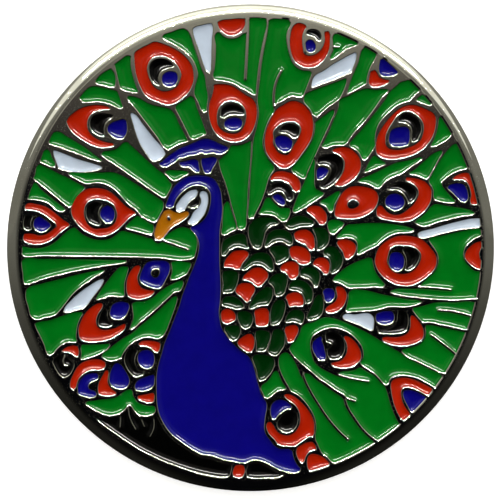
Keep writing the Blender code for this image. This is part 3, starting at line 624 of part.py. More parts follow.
  3.79,-2.25 3.86,-2.16 4.09,-2.11 4.3,-2.18 4.38,-2.34 4.34,-2.62 4.22,-2.78 4.04,-2.84 3.9,-2.76
  3.84,-2.53
eye_se1_red red
  4.44,-2.11 4.52,-2.02 4.73,-2.04 4.91,-2.2 5,-2.43 4.95,-2.76 4.78,-3.08 4.55,-3.28 4.22,-3.38
  3.99,-3.35 3.9,-3.24 3.97,-3.1 4.18,-2.96 4.41,-2.8 4.52,-2.57 4.5,-2.34
plume_se_a green
  4.29,-1.7 4.36,-1.56 4.64,-1.29 4.96,-1.03 5.42,-0.78 5.88,-0.6 6.22,-0.52 6.33,-0.57 6.38,-0.83
  6.48,-1.2 6.7,-1.55 6.9,-1.79 7,-1.93 6.93,-2 6.47,-2.02 5.55,-2.06 5.05,-2.04 4.87,-1.93 4.64,-1.81
  4.41,-1.75
plume_se_b green
  5.14,-2.3 5.23,-2.23 5.88,-2.2 6.3,-2.28 6.7,-2.39 7.39,-2.53 8.08,-2.66 8.76,-2.75 8.92,-2.82
  8.76,-2.91 8.4,-3.01 8.03,-3.05 7.62,-3.04 7.16,-3.05 6.79,-3.15 6.47,-3.23 6.01,-3.26 5.55,-3.29
  5.03,-3.32 4.97,-3.24 5.03,-2.99 5.1,-2.62
quill_se white
  4.8,-3.58 4.87,-3.5 5.42,-3.48 6.25,-3.47 6.34,-3.54 6.41,-4.04 6.38,-4.25 6.29,-4.29 6.06,-4.2
  5.6,-3.97 5.14,-3.79 4.87,-3.7
plume_se_c green
  8.44,-3.21 8.49,-3.12 8.76,-3.08 9.22,-2.96 9.54,-2.87 9.91,-2.83 10.6,-2.85 11.52,-2.81 11.75,-2.87
  11.75,-3.12 11.68,-3.4 11.59,-3.58 11.48,-3.74 11.53,-3.86 11.47,-4.09 11.37,-4.24 11.24,-4.25
  10.6,-4.11 9.91,-3.97 9.31,-3.86 8.99,-3.88 8.76,-3.63 8.53,-3.35 line 0.13 9.8,-3.26 10.4,-3.31
  11,-3.43 11.5,-3.57
plume_se_d green
  9.13,-4.04 9.31,-4.02 9.91,-4.14 10.6,-4.28 11.22,-4.41 11.27,-4.53 11.06,-5 10.85,-5.48 10.72,-5.56
  10.68,-5.68 10.65,-5.83 10.51,-6.15 10.28,-6.5 10.14,-6.54 9.91,-6.47 9.45,-6.25 8.76,-5.92 8.12,-5.6
  7.89,-5.4 7.91,-5.3 8.17,-5.24 8.53,-5.14 8.86,-4.98 9.06,-4.74 9.14,-4.41 9.11,-4.15 line 0.13
  9.42,-4.56 9.95,-4.96 10.45,-5.35 10.65,-5.52
eye_se2_red red
  8.35,-3.58 8.4,-3.51 8.53,-3.58 8.76,-3.83 8.96,-4.15 9.02,-4.45 8.94,-4.73 8.76,-4.89 8.4,-5.03
  7.94,-5.1 7.48,-5.06 7.11,-4.95 6.88,-4.79 6.87,-4.69 7.02,-4.65 7.48,-4.66 7.85,-4.61 8.17,-4.45
  8.32,-4.18 8.34,-3.86
eye_se2_black black
  7.71,-3.28 8,-3.28 8.15,-3.44 8.2,-3.77 8.17,-4.09 8.05,-4.31 7.8,-4.42 7.48,-4.46 7.02,-4.45 6.74,-4.43
  6.64,-4.29 6.67,-4.2 6.88,-4.2 7.2,-4.16 7.48,-4.03 7.64,-3.81 7.66,-3.54
eye_se2_blue blue
  6.53,-3.63 6.57,-3.46 6.74,-3.36 7.11,-3.3 7.38,-3.35 7.46,-3.49 7.47,-3.72 7.38,-3.88 7.16,-3.96
  6.79,-3.96 6.59,-3.85
plume_se_e green
  2.02,-5.26 2.1,-5.1 2.39,-4.78 2.58,-4.41 2.68,-4.13 2.88,-3.97 3.26,-3.88 3.58,-3.72 3.81,-3.63
  4.18,-3.64 4.59,-3.75 5.19,-4 5.88,-4.32 6.47,-4.66 6.93,-4.95 7.39,-5.23 7.85,-5.5 8.12,-5.71
  8.76,-6.04 9.45,-6.38 9.88,-6.59 9.98,-6.72 9.98,-6.93 9.82,-7.15 9.68,-7.25 9.54,-7.22 9.31,-7.08
  8.95,-6.88 8.49,-6.7 8.03,-6.62 7.66,-6.64 7.39,-6.71 7.24,-6.87 7.16,-7.06 7.07,-7.12 6.93,-7.03
  6.7,-6.76 6.47,-6.53 6.15,-6.3 5.78,-6.07 5.72,-5.98 5.85,-5.79 5.88,-5.42 5.8,-5.12 5.6,-4.83 5.2,-4.45
  4.75,-4.22 4.3,-4.14 3.85,-4.22 3.5,-4.38 3.22,-4.6 3.12,-4.87 3.12,-5.25 3.2,-5.6 3.33,-5.95 3.54,-6.17
  3.81,-6.35 4.27,-6.58 4.56,-6.7 4.62,-6.54 4.73,-6.47 5.1,-6.42 5.46,-6.34 5.7,-6.22 6.01,-6.41
  6.38,-6.62 6.61,-6.83 6.84,-7.09 6.93,-7.15 7.07,-7.42 7.2,-7.86 7.34,-8.3 7.52,-8.76 7.66,-9.04
  7.78,-9.23 7.72,-9.36 7.39,-9.61 7.11,-9.82 6.88,-9.97 6.7,-10.02 6.52,-9.97 6.34,-9.84 5.88,-9.41
  5.42,-8.78 5.19,-8.44 5.05,-8.14 4.99,-7.95 4.97,-7.74 4.5,-7.41 4.04,-7.09 3.58,-6.77 3.12,-6.38
  2.57,-5.92 2.2,-5.55 line 0.12 4.56,-6.64 5.19,-6.8 5.88,-6.93 6.13,-6.97 line 0.12 4.85,-7.78 5.15,-7.9
  5.42,-8
eye_se3_blue blue
  3.22,-5.14 3.27,-4.91 3.44,-4.73 3.63,-4.62 3.72,-4.68 3.71,-4.87 3.79,-5.05 3.86,-5.37 3.92,-5.69
  3.89,-5.8 3.77,-5.85 3.58,-5.82 3.4,-5.6 3.28,-5.38
eye_se3_black black
  3.92,-4.5 4.04,-4.42 4.41,-4.41 4.7,-4.59 4.87,-4.91 4.9,-5.23 4.82,-5.5 4.63,-5.72 4.36,-5.8 4.13,-5.75
  4.01,-5.51 4.04,-5.28 4.18,-5.16 4.27,-5.02 4.2,-4.95 4,-4.91 3.93,-4.75
eye_se3_red red
  4.86,-4.66 4.95,-4.6 5.14,-4.65 5.42,-4.87 5.64,-5.19 5.75,-5.51 5.72,-5.81 5.56,-6 5.37,-6.15
  4.96,-6.24 4.5,-6.22 4.25,-6.11 4.2,-6.02 4.41,-5.96 4.7,-5.87 4.93,-5.65 5.04,-5.33 5.02,-5.01
plume_s_d green
  0.55,-7.29 0.6,-7.16 0.83,-6.99 1.06,-6.72 1.19,-6.49 1.32,-6.4 1.41,-6.46 1.52,-6.7 1.67,-7.02
  1.82,-7.25 1.86,-7.33 1.75,-7.38 1.47,-7.42 1.24,-7.56 1.03,-7.74 0.9,-7.83 0.79,-7.79 0.66,-7.57
eye_s2_red red
  1.75,-7.69 1.84,-7.63 2.07,-7.65 2.37,-7.81 2.69,-8.09 2.97,-8.41 3.17,-8.73 3.3,-9.1 3.31,-9.45
  3.28,-9.73 3.2,-9.82 3.03,-9.83 2.85,-9.95 2.57,-10.14 2.32,-10.31 2.02,-10.31 1.61,-10.29 1.47,-10.22
  1.24,-9.95 1.01,-9.72 0.88,-9.5 0.84,-9.22 0.9,-9.09 1.01,-9.07 1.15,-9.18 1.3,-9.45 1.47,-9.64
  1.75,-9.76 2.02,-9.76 2.25,-9.65 2.43,-9.46 2.56,-9.18 2.59,-8.86 2.54,-8.53 2.4,-8.26 2.16,-8.03
  1.88,-7.85
eye_s2_blue blue
  1.17,-8.92 1.07,-8.72 1.05,-8.49 1.11,-8.17 1.29,-7.98 1.56,-7.92 1.84,-7.99 2.05,-8.17 2.14,-8.29
  2.07,-8.36 1.84,-8.41 1.61,-8.55 1.4,-8.75 1.28,-8.93
eye_s2_black black
  1.39,-9.22 1.41,-9.09 1.53,-8.88 1.75,-8.66 2.02,-8.54 2.25,-8.52 2.4,-8.64 2.46,-8.9 2.42,-9.18
  2.28,-9.42 2.1,-9.56 1.88,-9.61 1.66,-9.55 1.48,-9.42
foot_s_red_1 red
  2.43,-10.44 2.66,-10.27 2.99,-10.13 3.2,-10.1 3.33,-10.23 3.41,-10.42 3.4,-10.52 3.26,-10.52 3.1,-10.58
  2.94,-10.74 2.83,-10.97 2.77,-11.14 2.66,-11.19 2.54,-11.06 2.43,-10.83 2.39,-10.6
foot_s_red_2 red
  2.96,-11.06 3,-10.88 3.12,-10.76 3.4,-10.75 3.7,-10.86 3.98,-11.07 4.11,-11.24 4.05,-11.34 3.72,-11.45
  3.35,-11.59 3.12,-11.63 3.02,-11.52 2.96,-11.29
plume_s_e green
  1.47,-5.92 1.52,-5.65 1.7,-5.49 1.88,-5.46 2.05,-5.58 2.28,-5.9 2.46,-6.27 2.58,-6.6 2.66,-6.75
  2.77,-6.58 2.86,-6.54 3.03,-6.56 3.31,-6.79 3.81,-7.15 4.41,-7.56 4.76,-7.81 4.85,-7.95 4.89,-8.16
  5.08,-8.52 5.36,-8.95 5.82,-9.55 6.28,-9.99 6.45,-10.14 6.43,-10.26 6.34,-10.33 5.88,-10.55 5.42,-10.78
  4.96,-10.99 4.55,-11.17 4.41,-11.21 4.23,-11.13 4,-10.88 3.77,-10.72 3.63,-10.51 3.49,-10.19 3.4,-10
  3.38,-9.82 3.42,-9.5 3.41,-9.13 3.31,-8.74 3.15,-8.42 2.94,-8.12 2.66,-7.8 2.39,-7.59 2.16,-7.48
  1.98,-7.2 1.79,-6.88 1.61,-6.51 1.49,-6.15 line 0.13 2.68,-6.45 2.78,-6.78 3.05,-7.36 3.52,-8.14
  3.98,-8.82 4.44,-9.38 4.9,-9.84 5.08,-9.98
eye_se4_red red
  7.32,-7.07 7.39,-6.92 7.62,-6.81 7.98,-6.77 8.4,-6.83 8.86,-7.02 9.22,-7.2 9.45,-7.35 9.5,-7.45
  9.43,-7.61 9.29,-7.68 9.13,-7.63 8.86,-7.48 8.53,-7.32 8.21,-7.25 7.94,-7.29 7.85,-7.43 7.85,-7.71
  7.94,-8.08 8.12,-8.4 8.28,-8.63 8.3,-8.81 8.21,-8.96 8.05,-9 7.89,-8.93 7.73,-8.7 7.54,-8.29 7.41,-7.85
  7.34,-7.43
eye_se4_blue blue
  7.95,-7.57 8,-7.44 8.21,-7.4 8.58,-7.49 8.95,-7.67 9.17,-7.86 9.19,-7.96 9.09,-8.11 8.86,-8.34
  8.63,-8.52 8.49,-8.57 8.36,-8.5 8.18,-8.21 8.02,-7.89
"""


def read_artwork(text):
    """The cells of the artwork, each with its outline and holes as lists of points."""
    cells = []
    points = None
    width_next = False
    for word in text.split():
        if "," in word:
            points.append(np.array([float(value) for value in word.split(",")]))
        elif word in ("hole", "line"):
            points = []
            width_next = word == "line"
            if word == "hole":
                cells[-1]["loops"].append(points)
        elif width_next:
            width_next = False
        elif word in FINISHES:
            points = []
            cells[-1].update(colour=word, loops=[points])
        else:
            cells.append({"name": word})
    return cells


def direction(before, point, after):
    """The unit tangent of a curve at a point, or None at a corner."""
    back, ahead = point - before, after - point
    back_length, ahead_length = np.linalg.norm(back), np.linalg.norm(ahead)
    turn = math.acos(max(-1.0, min(1.0, back @ ahead / (back_length * ahead_length))))
    if math.degrees(turn) > CORNER_DEGREES:
        return None
    tangent = back / back_length * ahead_length + ahead / ahead_length * back_length
    return tangent / np.linalg.norm(tangent)


def curve_through(points):
    """Points along the closed curve through the given ones, as a list of spans."""
    count = len(points)
    tangents = [direction(points[i - 1], points[i], points[(i + 1) % count]) for i in range(count)]
    spans = []
    for i, start in enumerate(points):
        end = points[(i + 1) % count]
        chord = end - start
        length = np.linalg.norm(chord)
        leave = chord if tangents[i] is None else tangents[i] * length
        arrive = chord if tangents[(i + 1) % count] is None else tangents[(i + 1) % count] * length
        span = []
        for step in range(CURVE_STEPS):
            t = step / CURVE_STEPS
            t2, t3 = t * t, t * t * t
            span.append(
                (2 * t3 - 3 * t2 + 1) * start
                + (t3 - 2 * t2 + t) * leave
                + (3 * t2 - 2 * t3) * end
                + (t3 - t2) * arrive
            )
        spans.append(span)
    return spans


def thinned(points, first, last):
    """Indices after first up to last that keep the polygon within CHORD_ERROR of the curve."""
    if last - first < 2:
        return [last]
    start, end = points[first], points[last % len(points)]
    chord = (end - start) / max(np.linalg.norm(end - start), 1e-9)
    offsets = [abs(chord[0] * (p - start)[1] - chord[1] * (p - start)[0]) for p in points[first + 1 : last]]
    worst = int(np.argmax(offsets))
    if offsets[worst] < CHORD_ERROR:
        return [last]
    middle = first + 1 + worst
    return thinned(points, first, middle) + thinned(points, middle, last)


def outline_of(points):
    """A closed polygon, anticlockwise, that follows the smooth outline with few points."""
    curve = [point for span in curve_through(points) for point in span]
    half = len(curve) // 2
    kept = thinned(curve, 0, half) + thinned(curve, half, len(curve))
    polygon = np.array([curve[i % len(curve)] for i in kept])
    return polygon if signed_area(polygon) > 0 else polygon[::-1]


def signed_area(polygon):
    x, y = polygon[:, 0], polygon[:, 1]
    return 0.5 * float(np.sum(x * np.roll(y, -1) - y * np.roll(x, -1)))


def is_inside(point, polygon):
    """Whether a point lies in a polygon, by the even-odd rule."""
    x, y = polygon[:, 0], polygon[:, 1]
    x2, y2 = np.roll(x, -1), np.roll(y, -1)
    crosses = (y > point[1]) != (y2 > point[1])
    rise = np.where(crosses, y2 - y, 1.0)
    return int(np.sum(crosses & (point[0] < (x2 - x) * (point[1] - y) / rise + x))) % 2 == 1


def triangulated(loops):
    """Vertices and triangles of the area that the loops divide up, with every loop's edges kept."""
    points, edges = [], []
    for loop in loops:
        first = len(points)
        points += [Vector(point) for point in loop]
        edges += [(first + i, first + (i + 1) % len(loop)) for i in range(len(loop))]
    found = delaunay_2d_cdt(points, edges, [], 0, 1e-5)
    return np.array([tuple(v) for v in found[0]]), [tuple(face) for face in found[2]]


def anticlockwise(face, points):
    a, b, c = (points[i] for i in face)
    turn = (b[0] - a[0]) * (c[1] - a[1]) - (b[1] - a[1]) * (c[0] - a[0])
    return face if turn > 0 else face[::-1]


def area_of(cell):
    """The area of a cell's enamel, less its islands."""
    outline, *holes = cell["polygons"]
    return signed_area(outline) - sum(signed_area(hole) for hole in holes)


def make_object(name, vertices, faces, finish):
    """A named mesh object with its own material, from vertices in millimetres."""
    mesh = bpy.data.meshes.new(name)
    mesh.from_pydata([(x * MM, y * MM, z * MM) for x, y, z in vertices], [], faces)
    mesh.validate()
    made = bpy.data.objects.new(name, mesh)
    bpy.context.scene.collection.objects.link(made)
    material = bpy.data.materials.new(name)
    material.use_nodes = True
    shader = material.node_tree.nodes["Principled BSDF"]
    color, roughness, metallic = FINISHES[finish]
    shader.inputs["Base Color"].default_value = color
    shader.inputs["Roughness"].default_value = roughness
    shader.inputs["Metallic"].default_value = metallic
    mesh.materials.append(material)
    return made


def border_edges(faces):
    """The directed edges that only one of the faces has."""
    edges = {(face[i], face[(i + 1) % 3]) for face in faces for i in range(3)}
    return [edge for edge in sorted(edges) if edge[::-1] not in edges]


def make_coin(cells):
    """The struck coin: raised metal lines round the open pockets, rolled rim, flat back."""
    angles = [2 * math.pi * i / RIM_SEGMENTS for i in range(RIM_SEGMENTS)]
    face_radius = RIM_RINGS[0][0]
    disc = [(face_radius * math.cos(a), face_radius * math.sin(a)) for a in angles]
    points, faces = triangulated([disc] + [loop for cell in cells for loop in cell["polygons"]])
    vertices = [(x, y, COIN_THICKNESS) for x, y in points]
    floor_of = {}

    def floor_vertex(index):
        if index not in floor_of:
            floor_of[index] = len(vertices)
            vertices.append((points[index][0], points[index][1], POCKET_FLOOR))
        return floor_of[index]

    metal, enamel = [], []
    for face in faces:
        face = anticlockwise(face, points)
        middle = sum(points[i] for i in face) / 3
        in_cell = any(
            sum(is_inside(middle, loop) for loop in cell["polygons"]) % 2 == 1 for cell in cells
        )
        (enamel if in_cell else metal).append(face)
    solid_faces = metal + [tuple(floor_vertex(i) for i in face) for face in enamel]
    for a, b in border_edges(enamel):
        solid_faces.append((a, b, floor_vertex(b), floor_vertex(a)))

    rim_edges = border_edges(metal + enamel)
    above = {a: a for edge in rim_edges for a in edge}
    for radius, height in RIM_RINGS[1:]:
        below = {}
        for index in sorted(above):
            scale = radius / np.linalg.norm(points[index])
            below[index] = len(vertices)
            vertices.append((points[index][0] * scale, points[index][1] * scale, height))
        solid_faces += [(above[b], above[a], below[a], below[b]) for a, b in rim_edges]
        above = below
    around = sorted(above, key=lambda index: math.atan2(points[index][1], points[index][0]))
    solid_faces.append(tuple(above[index] for index in reversed(around)))
    return make_object("coin_body", vertices, solid_faces, "nickel")


def make_inlay(cell):
    """One cell's enamel, a prism of the cell's outline less the clearance."""
    points, faces = triangulated(cell["polygons"])
    faces = [anticlockwise(face, points) for face in faces]
    kept = []
    for face in faces:
        middle = sum(points[i] for i in face) / 3
        if sum(is_inside(middle, loop) for loop in cell["polygons"]) % 2 == 1:
            kept.append(face)
    inward = np.zeros_like(points)
    border = border_edges(kept)
    for a, b in border:
        along = (points[b] - points[a]) / np.linalg.norm(points[b] - points[a])
        normal = np.array((-along[1], along[0]))
        inward[a] += normal
        inward[b] += normal
    lengths = np.maximum(np.linalg.norm(inward, axis=1, keepdims=True), 1e-6)
    inset = points + inward / lengths * CLEARANCE
    count = len(points)
    vertices = [(x, y, ENAMEL_TO) for x, y in inset] + [(x, y, ENAMEL_FROM) for x, y in inset]
    solid_faces = list(kept)
    solid_faces += [tuple(i + count for i in reversed(face)) for face in kept]
    solid_faces += [(b, a, a + count, b + count) for a, b in border]
    return make_object("enamel_" + cell["name"], vertices, solid_faces, cell["colour"])


def main():
    for old in list(bpy.data.objects):
        bpy.data.objects.remove(old, do_unlink=True)
    cells = read_artwork(ARTWORK)
    for cell in cells:
        cell["polygons"] = [outline_of(loop) for loop in cell["loops"]]
    cells.sort(key=area_of, reverse=True)
    colours = [cell["colour"] for cell in cells]
    largest = {colours.index(colour) for colour in colours}
    order = sorted(range(len(cells)), key=lambda index: (index not in largest, index))
    inlaid = [cells[index] for index in order[:INLAY_COUNT]]
    make_coin(inlaid)
    for cell in inlaid:
        make_inlay(cell)


main()
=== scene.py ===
"""Looks of the one-inch golf ball marker: struck relief, enamel with its meniscus, plating, studio light."""

import math

import bpy
import numpy as np
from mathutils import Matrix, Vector, kdtree
from mathutils.geometry import delaunay_2d_cdt


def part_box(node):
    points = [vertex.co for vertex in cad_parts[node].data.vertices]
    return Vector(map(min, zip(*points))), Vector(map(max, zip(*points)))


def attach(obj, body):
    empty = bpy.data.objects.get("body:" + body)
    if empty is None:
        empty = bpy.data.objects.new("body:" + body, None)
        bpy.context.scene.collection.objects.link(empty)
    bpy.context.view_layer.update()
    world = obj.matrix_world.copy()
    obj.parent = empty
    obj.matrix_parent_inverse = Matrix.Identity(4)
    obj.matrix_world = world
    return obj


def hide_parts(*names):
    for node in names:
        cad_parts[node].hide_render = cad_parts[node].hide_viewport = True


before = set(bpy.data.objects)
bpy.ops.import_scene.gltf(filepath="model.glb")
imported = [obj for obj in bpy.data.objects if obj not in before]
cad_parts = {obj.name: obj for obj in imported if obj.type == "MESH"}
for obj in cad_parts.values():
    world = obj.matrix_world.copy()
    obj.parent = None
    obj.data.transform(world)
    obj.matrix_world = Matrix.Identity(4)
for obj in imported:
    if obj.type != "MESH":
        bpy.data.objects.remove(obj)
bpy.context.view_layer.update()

MM = 0.001

# The coin, in millimetres. The rolled rim falls by RIM_DROP from the edge of the face outwards.
COIN_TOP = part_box("coin_body")[1].z / MM
COIN_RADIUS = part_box("coin_body")[1].x / MM
RIM_WIDTH = 0.62
RIM_DROP = 0.33
RIM_STEPS = 10
FACE_RADIUS = COIN_RADIUS - RIM_WIDTH
FACE_SEGMENTS = 720
BACK_ROUNDING = 0.2
BACK_STEPS = 6
POCKET_FLOOR = 1.6
ENAMEL_UNDERSIDE = 1.61

# The artwork's outlines, in millimetres and degrees.
OUTLINE_STEP = 0.08
RIM_MARGIN = 0.06
CORNER_DEGREES = 50
LINE_END_STEPS = 6

# The relief, in millimetres. The metal's shoulder drops as a parabola to the enamel, and the enamel
# climbs to its edges as an exponential. The offsets are where the mesh has rows of points.
SHOULDER_WIDTH = 0.036
SHOULDER_DROP = 0.018
ENAMEL_SINK = 0.22
MENISCUS_HEIGHT = 0.1
MENISCUS_WIDTH = 0.085
METAL_OFFSETS = (0.036,)
ENAMEL_OFFSETS = (0.04, 0.08, 0.12, 0.16, 0.22, 0.32, 0.45)
SPARSE_BEYOND = 0.1
CLEAR_SHARE = 0.9
POINT_GAP = 0.02
ON_EDGE = 0.002
ON_RIM = 1e-4
MERGED_WITHIN = 1e-6
PLACE_DIGITS = 5
SHARP_DEGREES = 60

# How far round each point the meniscus is averaged: a share of the depth, up to a reach.
SMOOTHING_REACH = 0.14
SMOOTHING_SHARE = 0.6
SMOOTHING_TURNS = 8

# Nickel plating. Sizes and depths are in millimetres, and ramps run from 0 to 1.
NICKEL_TINTS = ((0.3, (0.64, 0.64, 0.55)), (0.7, (0.71, 0.715, 0.63)))
NICKEL_ROUGHNESS = (0.02, 0.04)
CLOUD_SIZE = 1.6
HAZE_SIZE = 0.12
PIT_SIZE = 0.06
PIT_STOPS = ((0.66, 0), (0.74, 1))
PIT_STRENGTH = 0.18
PIT_DEPTH = 0.01

# Enamel, with its colours linear.
ENAMEL_ROUGHNESS = 0.04
ENAMEL_SPECULAR = 0.25
MOTTLE_SIZE = 0.9
MOTTLE_SPAN = (0.3, 0.7)
MOTTLE_SHARE = 0.07
RIPPLE_SIZE = 0.7
RIPPLE_STRENGTH = 0.1
RIPPLE_DEPTH = 0.004
ENAMEL_COLOURS = {
    "green": (0.0003, 0.152, 0.0086),
    "blue": (0.0033, 0.0021, 0.184),
    "red": (0.41, 0.0132, 0.0012),
    "dark": (0.0003, 0.022, 0.0019),
    "white": (0.53, 0.615, 0.75),
    "black": (0.0008, 0.0008, 0.0008),
    "amber": (0.41, 0.14, 0.003),
}

# Soft lights, in metres, each facing the coin: place, size across and along, radiance.
LIGHT_COLOUR = (1.0, 0.985, 0.93)
PANEL = ((0, 0.32, 0.27), (0.8, 0.5), 0.8)
STRIP = ((0, 0.26, 0.40), (0.5, 0.018), 160)
FILL = ((0, 0, 0.7), (0.8, 0.8), 1.9)

# The room's brightness by direction. The wash runs from -Y to +Y. SPREAD and NEAR run round the
# horizon from -Y by the sides to +Y, OVERHEAD and SIDES from the middle out to either side, and LOW
# from straight down to straight up.
WASH_STOPS = (
    (0.503, (0.002, 0.002, 0.003)),
    (0.508, (0.006, 0.0065, 0.0085)),
    (0.513, (0.035, 0.032, 0.031)),
    (0.521, (0.066, 0.058, 0.053)),
    (0.526, (0.24, 0.225, 0.2)),
    (0.532, (0.38, 0.36, 0.32)),
    (0.8, (0.43, 0.42, 0.38)),
    (0.93, (0.85, 0.84, 0.77)),
)
SPREAD_STOPS = ((0.583, 0.12), (0.667, 0.2), (0.75, 0.35), (0.833, 1))
OVERHEAD_STOPS = ((0.1, 1), (0.17, 0))
SIDE_STOPS = ((0.08, 0), (0.4, (0.16, 0.155, 0.14)))
NEAR_STOPS = ((0.25, 0.1), (0.333, 0.2), (0.417, 0.5), (0.5, 1))
LOW_STOPS = ((0.1, 0.1), (0.25, 1))

# Camera and floor, in millimetres.
VIEW_WIDTH = 26.035
CAMERA_HEIGHT = 200
CAMERA_OFFSET = (-0.026, -0.117)
SENSOR_WIDTH = 36
NEAREST_SEEN = 10
FLOOR_HALF = 600
FLOOR_BELOW = 0.02
FLOOR_SHADE = 0.9
FLOOR_ROUGHNESS = 0.9
FLOOR_GLOW = 0.6

